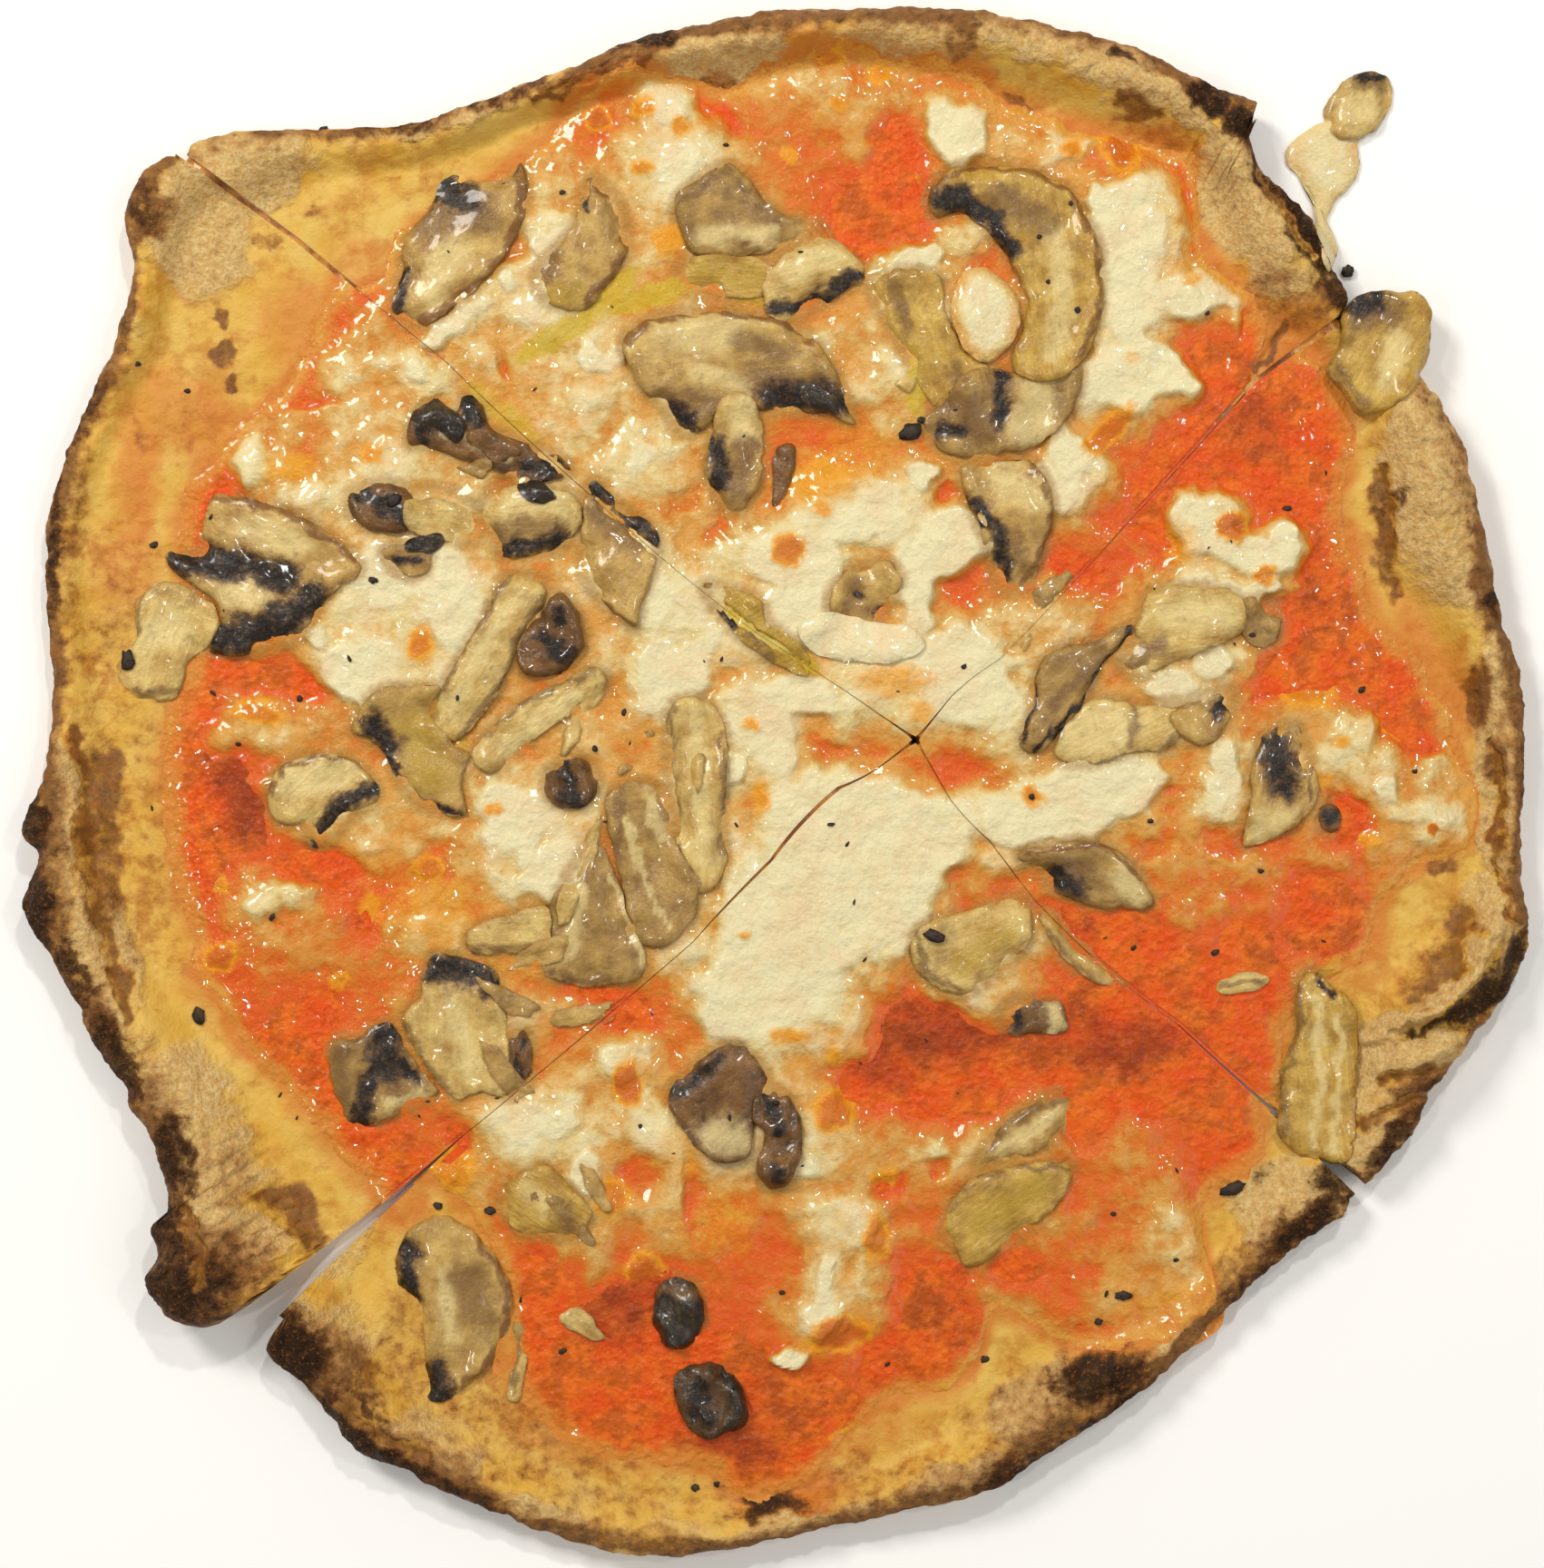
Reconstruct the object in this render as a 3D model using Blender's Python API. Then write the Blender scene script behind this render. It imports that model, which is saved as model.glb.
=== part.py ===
"""A baked mushroom pizza, cut in four: dough with its raised rim, tomato sauce, cheese and mushrooms.

The pizza lies on the plane z = 0 with its middle over the origin. +Y points away from the diner.
Places across the pizza are given in pixels of the picture that it was measured from, and
PIXEL turns them into metres. Heights and thicknesses are in metres throughout.
"""

import math
from typing import NamedTuple

import bmesh
import bpy
import numpy as np
from mathutils import Vector, noise
from mathutils.bvhtree import BVHTree

# Driving dimensions ---------------------------------------------------------------------------
PIZZA_LENGTH = 0.307  # from the diner's side to the far side
PIZZA_PIXELS = 1706.0  # the same length in the picture
PIXEL = PIZZA_LENGTH / PIZZA_PIXELS
MIDDLE = (855.0, 865.0)  # the pixel over the origin
CROSSING = (1010.0, 815.0)  # where the two knife cuts cross

FLOOR_THICKNESS = 0.0040  # the dough under the toppings
SAUCE_THICKNESS = 0.0009
CHEESE_THIN = 0.0013
CHEESE_THICK = 0.0030
MUSHROOM_THICKNESS = 0.0022
CLEARANCE = 0.0003  # between one layer and the next

CUT_WIDTH = 0.0009  # the knife's path where it is narrowest
RIM_CREST_AT = 0.36  # where the crest stands, as a share of the rim's width from its edge
RIM_EDGE_SHARE = 0.5  # height of the outer edge, as a share of the crest's

BUMP_HEIGHT = 0.0016  # how uneven the rim is
BUMP_LENGTH = 0.011  # from one bump to the next
BLISTER_HEIGHT = 0.0007  # how uneven the bare dough is inside the rim

SPOKES = 28  # faces round a slice
SAUCE_ROWS = 5  # faces from a slice's tip to the edge of the sauce
BARE_ROWS = (0.12, 0.26, 0.40, 0.54, 0.68, 0.80, 0.92, 1.0)  # from the sauce to the edge
CHEESE_CELL = 0.0058  # faces of the cheese

RASTER = 0.0010  # spacing of the height map that the toppings are laid on
RASTER_HALF = 0.160  # half the width of that map
SETTLE_ROUNDS = 12  # how often a sheet is lifted off what it would sink into
SETTLED = 2e-5  # what counts as sinking in


def place(x, y):
    """Pixel to metres."""
    return (x - MIDDLE[0]) * PIXEL, (MIDDLE[1] - y) * PIXEL


def smoothstep(t):
    """0 below 0, 1 above 1, and an S between them."""
    t = np.clip(t, 0.0, 1.0)
    return t * t * (3 - 2 * t)


# The slices -----------------------------------------------------------------------------------
class Station(NamedTuple):
    """One place on the outer edge of the dough."""

    x: float  # pixel of the edge
    y: float
    rim: float  # width of the raised rim, in pixels
    crest: float  # height of the rim, in mm
    bare: float  # from the edge to the sauce, in pixels


class Cut(NamedTuple):
    """One place on a knife cut."""

    x: float  # pixel
    y: float
    width: float  # how far the slices stand apart there, in mm


CUT_UPPER_RIGHT = (
    Cut(1048, 768, 0.9),
    Cut(1100, 728, 0.9),
    Cut(1240, 580, 1.0),
    Cut(1385, 420, 1.2),
    Cut(1478, 352, 1.6),
)
CUT_UPPER_LEFT = (
    Cut(925, 757, 0.9),
    Cut(837, 700, 0.9),
    Cut(650, 545, 1.0),
    Cut(493, 400, 1.0),
    Cut(325, 262, 1.0),
    Cut(202, 172, 1.2),
)
CUT_LOWER_LEFT = (
    Cut(966, 848, 0.9),
    Cut(925, 868, 1.5),
    Cut(850, 948, 1.4),
    Cut(765, 1037, 1.0),
    Cut(510, 1252, 1.0),
    Cut(398, 1352, 2.4),
    Cut(300, 1436, 5.5),
)
CUT_LOWER_RIGHT = (
    Cut(1048, 882, 0.9),
    Cut(1090, 926, 1.0),
    Cut(1140, 991, 1.0),
    Cut(1300, 1130, 1.0),
    Cut(1400, 1220, 1.4),
    Cut(1495, 1306, 2.8),
)


class Slice(NamedTuple):
    """A quarter of the pizza, anticlockwise from one cut to the next."""

    name: str
    start: tuple  # the cut that it starts at
    end: tuple
    edge: tuple


TOP = Slice(
    "top",
    CUT_UPPER_RIGHT,
    CUT_UPPER_LEFT,
    (
        Station(1482, 340, 60, 7, 90),
        Station(1475, 300, 90, 9, 90),
        Station(1440, 240, 110, 12, 105),
        Station(1388, 170, 90, 12, 85),
        Station(1372, 114, 75, 12, 100),
        Station(1320, 88, 90, 12, 95),
        Station(1250, 55, 95, 13, 100),
        Station(1170, 33, 100, 13, 90),
        Station(1090, 20, 85, 13, 80),
        Station(1010, 12, 65, 12, 47),
        Station(940, 15, 60, 12, 42),
        Station(860, 17, 75, 12, 45),
        Station(780, 28, 75, 12, 60),
        Station(705, 45, 55, 11, 35),
        Station(640, 72, 50, 10, 25),
        Station(555, 105, 45, 9, 80),
        Station(480, 130, 55, 8, 120),
        Station(400, 147, 60, 8, 130),
        Station(330, 146, 75, 8, 160),
        Station(260, 146, 90, 9, 210),
        Station(207, 165, 100, 9, 250),
    ),
)

LEFT = Slice(
    "left",
    CUT_UPPER_LEFT,
    CUT_LOWER_LEFT,
    (
        Station(190, 176, 80, 10, 240),
        Station(150, 210, 70, 10, 240),
        Station(141, 265, 70, 9, 220),
        Station(140, 340, 60, 8, 190),
        Station(108, 425, 50, 7, 190),
        Station(75, 500, 45, 6.5, 165),
        Station(52, 590, 45, 6.5, 145),
        Station(46, 690, 50, 7, 165),
        Station(44, 780, 60, 8, 140),
        Station(48, 865, 70, 9, 130),
        Station(27, 915, 100, 11, 155),
        Station(46, 950, 90, 10, 140),
        Station(29, 1003, 110, 12, 170),
        Station(78, 1085, 100, 11, 130),
        Station(110, 1165, 110, 12, 140),
        Station(160, 1240, 120, 12, 150),
        Station(185, 1310, 140, 14, 190),
        Station(172, 1350, 150, 15, 210),
        Station(168, 1412, 170, 17, 250),
        Station(222, 1458, 170, 17, 240),
        Station(278, 1436, 150, 16, 170),
    ),
)

BOTTOM = Slice(
    "bottom",
    CUT_LOWER_LEFT,
    CUT_LOWER_RIGHT,
    (
        Station(315, 1452, 100, 12, 165),
        Station(299, 1484, 110, 12, 200),
        Station(335, 1525, 100, 12, 200),
        Station(388, 1592, 90, 11, 190),
        Station(470, 1628, 80, 10, 150),
        Station(560, 1668, 80, 10, 105),
        Station(650, 1705, 70, 9, 110),
        Station(750, 1717, 60, 9, 95),
        Station(850, 1702, 50, 9, 45),
        Station(960, 1678, 60, 9, 95),
        Station(1060, 1652, 80, 11, 120),
        Station(1150, 1605, 100, 11, 150),
        Station(1235, 1550, 90, 10, 70),
        Station(1300, 1492, 60, 8, 25),
        Station(1375, 1422, 60, 8, 60),
        Station(1440, 1358, 90, 9, 100),
        Station(1484, 1324, 100, 9, 110),
    ),
)

RIGHT = Slice(
    "right",
    CUT_LOWER_RIGHT,
    CUT_UPPER_RIGHT,
    (
        Station(1508, 1302, 70, 9, 150),
        Station(1545, 1260, 90, 10, 150),
        Station(1580, 1200, 110, 12, 150),
        Station(1625, 1150, 130, 14, 150),
        Station(1660, 1090, 120, 14, 155),
        Station(1682, 1045, 90, 13, 165),
        Station(1682, 990, 60, 10, 125),
        Station(1681, 900, 35, 9, 55),
        Station(1680, 810, 50, 10, 75),
        Station(1672, 730, 75, 11, 100),
        Station(1650, 650, 90, 11, 135),
        Station(1632, 580, 125, 14, 145),
        Station(1612, 500, 125, 14, 130),
        Station(1575, 440, 100, 13, 95),
        Station(1530, 402, 60, 9, 60),
        Station(1492, 372, 50, 7, 60),
    ),
)

SLICES = (TOP, LEFT, BOTTOM, RIGHT)


def offset_line(cut, side):
    """A cut's line in metres, moved half its width to the left (1) or the right (-1)."""
    line = np.array([place(*CROSSING)] + [place(c.x, c.y) for c in cut])
    widths = np.array([CUT_WIDTH] + [c.width / 1000 for c in cut])
    along = np.gradient(line, axis=0)
    along /= np.hypot(along[:, 0], along[:, 1])[:, None]
    normal = np.column_stack((-along[:, 1], along[:, 0]))
    return line + normal * (side * widths / 2)[:, None]


class Plan:
    """Where a slice lies: its tip, its two sides and its edge, all as polar curves about the tip."""

    def __init__(self, cut):
        self.cut = cut
        start, end = offset_line(cut.start, 1), offset_line(cut.end, -1)
        crossing = np.array(place(*CROSSING))
        first, last = [self.bearing(line[1] - crossing) for line in (start, end)]
        last += 2 * math.pi * (last < first)
        middle, half = (first + last) / 2, (last - first) / 2
        back = CUT_WIDTH / 2 / math.sin(half)
        self.tip = crossing + back * np.array((math.cos(middle), math.sin(middle)))
        self.middle = middle
        self.lines = [self.as_polar(line[1:]) for line in (start, end)]
        xy = np.array([place(s.x, s.y) for s in cut.edge])
        self.radii, self.angles = self.as_polar(xy)
        self.rims = np.array([s.rim * PIXEL for s in cut.edge])
        self.crests = np.array([s.crest / 1000 for s in cut.edge])
        self.bares = np.array([s.bare * PIXEL for s in cut.edge])
        self.ends = [line[1][-1] for line in self.lines]

    @staticmethod
    def bearing(vector):
        """The angle of a vector."""
        return math.atan2(vector[1], vector[0])

    def as_polar(self, xy):
        """Radii and angles of points about the tip, with the angles round the slice's middle."""
        offset = np.asarray(xy) - self.tip
        angles = np.arctan2(offset[:, 1], offset[:, 0])
        low = self.middle - math.pi
        return np.hypot(offset[:, 0], offset[:, 1]), low + np.mod(angles - low, 2 * math.pi)

    def along(self, values, angle):
        """A station's value at any angle."""
        return np.interp(angle, self.angles, values)

    def sides(self, radius):
        """The slice's two side angles at a distance from the tip."""
        return [np.interp(radius, line[0], line[1]) for line in self.lines]

    def point(self, across, radius):
        """The point at a share across the slice and a distance from its tip."""
        first, last = self.sides(radius)
        angle = first + across * (last - first)
        return self.tip[0] + radius * math.cos(angle), self.tip[1] + radius * math.sin(angle)

    def polar(self, x, y):
        """Distance from the tip, reach of the dough that way, angle and share across the slice."""
        dx, dy = x - self.tip[0], y - self.tip[1]
        radius = np.hypot(dx, dy)
        low = self.middle - math.pi
        angle = low + np.mod(np.arctan2(dy, dx) - low, 2 * math.pi)
        first, last = self.sides(radius)
        return radius, self.along(self.radii, angle), angle, (angle - first) / (last - first)

    def height(self, x, y):
        """Height of the dough's upper face."""
        radius, reach, angle, _ = self.polar(x, y)
        rim = self.along(self.rims, angle)
        crest = self.along(self.crests, angle)
        inward = np.clip((reach - radius) / rim, 0, 1)
        climb = np.sin(math.pi / 2 * np.clip(inward / RIM_CREST_AT, 0, 1))
        rise = RIM_EDGE_SHARE + (1 - RIM_EDGE_SHARE) * climb
        fall = np.cos(math.pi / 2 * np.clip((inward - RIM_CREST_AT) / (1 - RIM_CREST_AT), 0, 1))
        bump = noise.noise(Vector((x, y, 0.0)) / BUMP_LENGTH)
        bare = reach - radius < self.along(self.bares, angle)
        uneven = BUMP_HEIGHT * fall**2 + BLISTER_HEIGHT * bare * (1 - fall**2)
        return FLOOR_THICKNESS + (crest - FLOOR_THICKNESS) * rise * fall**2 + uneven * bump


# The height map that toppings are laid on -----------------------------------------------------
class HeightMap:
    """The height of everything laid so far, on a square raster."""

    def __init__(self):
        self.axis = np.arange(-RASTER_HALF, RASTER_HALF + RASTER / 2, RASTER)
        self.z = np.zeros((len(self.axis), len(self.axis)))

    def spread(self, steps):
        """The highest thing within some steps of the raster, at each place."""
        high = self.z
        for axis in (0, 1):
            found = high
            for step in range(1, steps + 1):
                found = np.maximum(found, np.roll(high, step, axis))
                found = np.maximum(found, np.roll(high, -step, axis))
            high = found
        return high

    def read(self, values, x, y):
        """A raster's value at any place."""
        column = np.clip((np.asarray(x) + RASTER_HALF) / RASTER, 0, len(self.axis) - 1.001)
        row = np.clip((np.asarray(y) + RASTER_HALF) / RASTER, 0, len(self.axis) - 1.001)
        c, r = column.astype(int), row.astype(int)
        fc, fr = column - c, row - r
        near = values[r, c] * (1 - fc) + values[r, c + 1] * fc
        far = values[r + 1, c] * (1 - fc) + values[r + 1, c + 1] * fc
        return near * (1 - fr) + far * fr

    def hits(self, made):
        """Each raster place over a mesh, with the height and the face of the mesh there."""
        tree = BVHTree.FromBMesh(made)
        x = [v.co.x for v in made.verts]
        y = [v.co.y for v in made.verts]
        columns = np.flatnonzero((self.axis >= min(x)) & (self.axis <= max(x)))
        rows = np.flatnonzero((self.axis >= min(y)) & (self.axis <= max(y)))
        down = Vector((0, 0, -1))
        for r in rows:
            for c in columns:
                hit, _, face, _ = tree.ray_cast(Vector((self.axis[c], self.axis[r], 1)), down)
                if hit:
                    yield r, c, hit.z, face

    def lay(self, made):
        """Raises the map to a mesh's upper face."""
        for r, c, z, _ in self.hits(made):
            self.z[r, c] = max(self.z[r, c], z)


# Cheese ---------------------------------------------------------------------------------------
class Patch(NamedTuple):
    """An ellipse on the pizza, in pixels, turned anticlockwise in degrees."""

    x: float
    y: float
    rx: float
    ry: float
    turn: float = 0.0


# Where the sauce shows with no cheese on it.
SAUCE_WINDOWS = (
    Patch(985, 165, 32, 50, -10),
    Patch(985, 235, 50, 40),
    Patch(1300, 225, 22, 55, 10),
    Patch(1365, 385, 60, 50),
    Patch(1405, 480, 105, 75, 20),
    Patch(1290, 530, 40, 62, -40),
    Patch(1455, 610, 55, 100, 15),
    Patch(1200, 625, 60, 30, 20),
    Patch(1540, 765, 90, 32, -50),
    Patch(1470, 1010, 45, 48),
    Patch(1240, 1040, 80, 28, -25),
    Patch(1110, 1155, 145, 40, -5),
    Patch(955, 1095, 60, 24, -35),
    Patch(1310, 1115, 110, 38, -5),
    Patch(1210, 1225, 28, 48),
    Patch(1355, 1250, 42, 42, -30),
    Patch(1045, 1445, 42, 42, 30),
    Patch(650, 1545, 90, 50, -35),
    Patch(830, 1565, 95, 55),
    Patch(440, 1265, 75, 38, 20),
    Patch(215, 890, 38, 150, 3),
    Patch(320, 735, 70, 26, -15),
    Patch(225, 550, 34, 48, -30),
)

# Where the cheese lies thickest.
CHEESE_POOLS = (
    Patch(735, 165, 42, 65, 5),
    Patch(600, 250, 35, 28),
    Patch(565, 330, 90, 30, 25),
    Patch(690, 400, 45, 48),
    Patch(705, 505, 65, 45, -10),
    Patch(1055, 150, 42, 55),
    Patch(1235, 270, 42, 75),
    Patch(1300, 325, 65, 25),
    Patch(1265, 410, 48, 35, 15),
    Patch(1185, 535, 30, 48, -15),
    Patch(960, 400, 32, 75),
    Patch(950, 600, 130, 60),
    Patch(1015, 700, 110, 42, 10),
    Patch(765, 650, 60, 72, 15),
    Patch(1055, 785, 60, 35, 30),
    Patch(1195, 870, 92, 42, 15),
    Patch(1310, 735, 50, 20, 20),
    Patch(1350, 840, 34, 75, 5),
    Patch(1330, 620, 75, 36),
    Patch(1510, 850, 75, 36, -40),
    Patch(960, 980, 150, 90, 40),
    Patch(840, 1095, 85, 60),
    Patch(915, 1320, 32, 115, -8),
    Patch(625, 1255, 80, 42),
    Patch(1270, 1410, 55, 65, 30),
    Patch(430, 470, 55, 75, 35),
    Patch(470, 650, 90, 60, -15),
    Patch(400, 710, 60, 42),
    Patch(570, 925, 52, 80),
    Patch(620, 830, 70, 28, 25),
    Patch(870, 820, 95, 60, -10),
    Patch(300, 990, 42, 24, -10),
)

CHEESE_EDGE = 0.006  # how far the cheese stops short of the sauce's edge
CHEESE_INSET = 0.7 * CUT_WIDTH  # how far it stays from the middle of a cut
CHEESE_LEAST = 0.6 * CHEESE_THIN  # its thickness along its own edges
SLIDE_STEPS = 24  # steps in which a corner slides to where the cheese ends
SLIDE_LIMIT = 0.62  # the furthest that it slides, as a share of a face's side
WINDOW_SOFTNESS = 0.35  # share of a patch over which the cheese thins


def within(patch, x, y):
    """Distance from a patch's middle, where 1 is its edge."""
    cx, cy = place(patch.x, patch.y)
    turn = math.radians(patch.turn)
    along = (x - cx) * math.cos(turn) + (y - cy) * math.sin(turn)
    across = (y - cy) * math.cos(turn) - (x - cx) * math.sin(turn)
    return np.hypot(along / (patch.rx * PIXEL), across / (patch.ry * PIXEL))


def cheese_depth(plan, x, y):
    """Thickness of the cheese, which is below 0 where there is none."""
    radius, reach, angle, _ = plan.polar(x, y)
    edge = reach - plan.along(plan.bares, angle) - CHEESE_EDGE
    depth = np.minimum(CHEESE_THIN, (edge - radius) * 0.5)
    for patch in SAUCE_WINDOWS:
        depth = np.minimum(depth, CHEESE_THIN * (within(patch, x, y) - 1) / WINDOW_SOFTNESS)
    pool = np.zeros_like(depth)
    for patch in CHEESE_POOLS:
        pool = np.maximum(pool, 1 - smoothstep((within(patch, x, y) - 0.6) / 0.6))
    return np.where(depth > 0, depth + (CHEESE_THICK - CHEESE_THIN) * pool, depth)


# Mushrooms ------------------------------------------------------------------------------------
def cap_and_stem(x, y):
    """Slice down the middle of a whole mushroom, below 0 inside: a domed cap on its stem."""
    cap = np.maximum(np.hypot(x, (y + 0.10) / 0.80) - 1, -0.18 - y + 0.35 * x * x)
    stem = np.maximum(np.abs(x) - 0.22 - 0.06 * (y < -0.75), np.abs(y + 0.45) - 0.55)
    return np.minimum(cap, stem)


def half_cap(x, y):
    """Slice through one side of a cap: domed above, with the gills along a hollow lower side."""
    dome = np.hypot(x, (y + 0.18) / 0.80) - 1
    hollow = -0.28 + 0.28 * np.cos(1.5 * x) - y - 0.20
    return np.maximum(dome, hollow)


def petal(x, y):
    """Thin slice off the side of a cap: a leaf shape, pointed at both ends."""
    return np.abs(y) - 0.62 * (1 - np.abs(x) ** 1.8)


def stalk(x, y):
    """Slice along a stem: a strip that widens a little towards its foot."""
    return np.maximum(np.abs(x) - 1, np.abs(y) - 0.44 - 0.08 * x)


def chip(x, y):
    """Broken piece of flesh with blunt corners."""
    return (np.abs(x) ** 2.8 + np.abs(y / 0.8) ** 2.8) ** (1 / 2.8) - 1


KINDS = {
    "whole": cap_and_stem,
    "cap": half_cap,
    "petal": petal,
    "stalk": stalk,
    "chip": chip,
}
KIND_POINTS = {"whole": 20, "cap": 13, "petal": 12, "stalk": 12, "chip": 10}
SMALL_PIECE = 0.015  # a shorter piece has no inner ring of points
RAGGEDNESS = 0.05  # how uneven an edge is, as a share of the piece's half length
WAVES_ROUND = 2.1  # how quickly the unevenness changes round a piece
NEXT_PIECE = 7.3  # how far apart in the noise two pieces' unevenness is taken
HALVINGS = 24  # steps in which an outline is closed in on
EDGE_THINNESS = 0.65  # thickness at a piece's edge, as a share of its middle's
SMALL_THINNESS = 0.85  # thickness of a small piece, as a share of a large one's
SAG = 0.0034  # how far one piece drapes below the highest point under it


class Mushroom(NamedTuple):
    """One piece of mushroom, in the order in which the pieces lie."""

    name: str
    kind: str
    x: float  # pixel of its middle
    y: float
    length: float  # in pixels, along its own X
    width: float  # in pixels, along its own Y
    turn: float  # anticlockwise, in degrees


MUSHROOMS = (
    # the top slice
    Mushroom("top_01", "cap", 505, 275, 190, 125, 237),
    Mushroom("top_02", "cap", 650, 272, 165, 95, 275),
    Mushroom("top_03", "chip", 806, 306, 120, 62, -4),
    Mushroom("top_04", "petal", 818, 232, 175, 120, -12),
    Mushroom("top_05", "cap", 898, 303, 118, 92, 22),
    Mushroom("top_06", "stalk", 1002, 380, 160, 68, 110),
    Mushroom("top_07", "whole", 815, 440, 250, 235, -10),
    Mushroom("top_08", "cap", 1124, 448, 155, 105, 200),
    Mushroom("top_09", "cap", 1140, 298, 250, 160, 278),
    Mushroom("top_10", "cap", 1114, 592, 140, 98, 262),
    Mushroom("top_11", "chip", 950, 655, 88, 84, 20),
    # the left slice
    Mushroom("left_01", "stalk", 185, 700, 150, 100, 72),
    Mushroom("left_02", "cap", 292, 640, 240, 170, -32),
    Mushroom("left_03", "chip", 423, 560, 76, 60, -10),
    Mushroom("left_04", "chip", 528, 482, 160, 78, -24),
    Mushroom("left_05", "petal", 492, 565, 95, 70, -8),
    Mushroom("left_06", "cap", 590, 572, 128, 85, 4),
    Mushroom("left_07", "petal", 688, 620, 155, 105, 104),
    Mushroom("left_08", "stalk", 543, 722, 195, 68, 59),
    Mushroom("left_09", "chip", 612, 700, 88, 78, 40),
    Mushroom("left_10", "stalk", 612, 792, 150, 62, 38),
    Mushroom("left_11", "cap", 468, 832, 150, 100, 128),
    Mushroom("left_12", "cap", 350, 876, 135, 110, 42),
    Mushroom("left_13", "stalk", 768, 868, 200, 76, 95),
    Mushroom("left_14", "stalk", 718, 948, 200, 80, 106),
    Mushroom("left_15", "stalk", 652, 1012, 165, 74, 88),
    Mushroom("left_16", "chip", 566, 1025, 105, 62, 4),
    Mushroom("left_17", "cap", 528, 1130, 150, 120, 165),
    Mushroom("left_18", "cap", 418, 1186, 125, 118, 80),
    # the bottom slice
    Mushroom("bottom_01", "cap", 508, 1450, 215, 125, 266),
    Mushroom("bottom_02", "chip", 604, 1328, 104, 90, -30),
    Mushroom("bottom_03", "chip", 752, 1450, 88, 60, 105),
    Mushroom("bottom_04", "chip", 784, 1544, 86, 84, 0),
    Mushroom("bottom_05", "chip", 790, 1208, 122, 112, 40),
    Mushroom("bottom_06", "chip", 854, 1256, 110, 52, 68),
    Mushroom("bottom_07", "stalk", 1128, 1252, 140, 60, 37),
    Mushroom("bottom_08", "stalk", 1112, 1334, 175, 82, 34),
    Mushroom("bottom_09", "petal", 1072, 1042, 140, 105, 22),
    # the right slice
    Mushroom("right_01", "chip", 1302, 690, 142, 118, 8),
    Mushroom("right_02", "stalk", 1188, 752, 190, 76, 49),
    Mushroom("right_03", "chip", 1206, 806, 108, 82, 30),
    Mushroom("right_04", "petal", 1320, 780, 96, 56, 16),
    Mushroom("right_05", "chip", 1412, 866, 150, 80, 70),
    Mushroom("right_06", "petal", 1202, 962, 165, 92, -20),
    Mushroom("right_07", "stalk", 1455, 1176, 208, 84, 98),
    Mushroom("right_08", "chip", 1522, 390, 128, 112, 62),
    Mushroom("stray", "chip", 1503, 120, 92, 64, 48),
)

# The strand of cheese that has run off the rim, from the dough out to the stray mushroom.
STRAND = (  # pixel of its middle line, and its width in pixels
    (1484, 268, 20),
    (1470, 245, 22),
    (1462, 215, 26),
    (1466, 185, 50),
    (1468, 160, 76),
    (1480, 138, 60),
)
STRAND_THICKNESS = 0.0016
STRAND_FACES = 4  # across it


def outline(kind, points, seed):
    """A kind's outline as radii at even angles from its middle, for a half length of 1."""
    angles = np.linspace(0, 2 * math.pi, points, endpoint=False)
    near, far = np.zeros(points), np.full(points, 1.6)
    for _ in range(HALVINGS):
        half = (near + far) / 2
        inside = KINDS[kind](half * np.cos(angles), half * np.sin(angles)) < 0
        near, far = np.where(inside, half, near), np.where(inside, far, half)
    wobble = []
    for angle in angles:
        spot = Vector((math.cos(angle), math.sin(angle), 0)) * WAVES_ROUND
        spot.z = NEXT_PIECE * seed
        wobble.append(noise.noise(spot))
    return angles, near * (1 + 2 * RAGGEDNESS * np.array(wobble))


def mushroom_outline(piece, seed):
    """A piece's outline in metres about its own middle, and the turned corner points."""
    points = KIND_POINTS[piece.kind]
    angles, radii = outline(piece.kind, points, seed)
    x, y = radii * np.cos(angles), radii * np.sin(angles)
    x = (x - (x.max() + x.min()) / 2) / (x.max() - x.min()) * piece.length * PIXEL
    y = (y - (y.max() + y.min()) / 2) / (y.max() - y.min()) * piece.width * PIXEL
    turn = math.radians(piece.turn)
    cx, cy = place(piece.x, piece.y)
    return np.column_stack(
        (
            cx + x * math.cos(turn) - y * math.sin(turn),
            cy + x * math.sin(turn) + y * math.cos(turn),
        )
    )


# Building -------------------------------------------------------------------------------------
def material(name, colour, roughness):
    """A plain Principled material."""
    made = bpy.data.materials.new(name)
    made.use_nodes = True
    shader = made.node_tree.nodes["Principled BSDF"]
    shader.inputs["Base Color"].default_value = (*colour, 1)
    shader.inputs["Roughness"].default_value = roughness
    shader.inputs["Metallic"].default_value = 0.0
    return made


def add_object(name, mesh_data, finish, collection, smooth_angle=40):
    """Puts a finished bmesh into the scene as an object."""
    bmesh.ops.recalc_face_normals(mesh_data, faces=mesh_data.faces)
    mesh = bpy.data.meshes.new(name)
    mesh_data.to_mesh(mesh)
    mesh_data.free()
    mesh.materials.append(finish)
    mesh.shade_smooth()
    mesh.set_sharp_from_angle(angle=math.radians(smooth_angle))
    made = bpy.data.objects.new(name, mesh)
    collection.objects.link(made)
    return made


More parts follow.
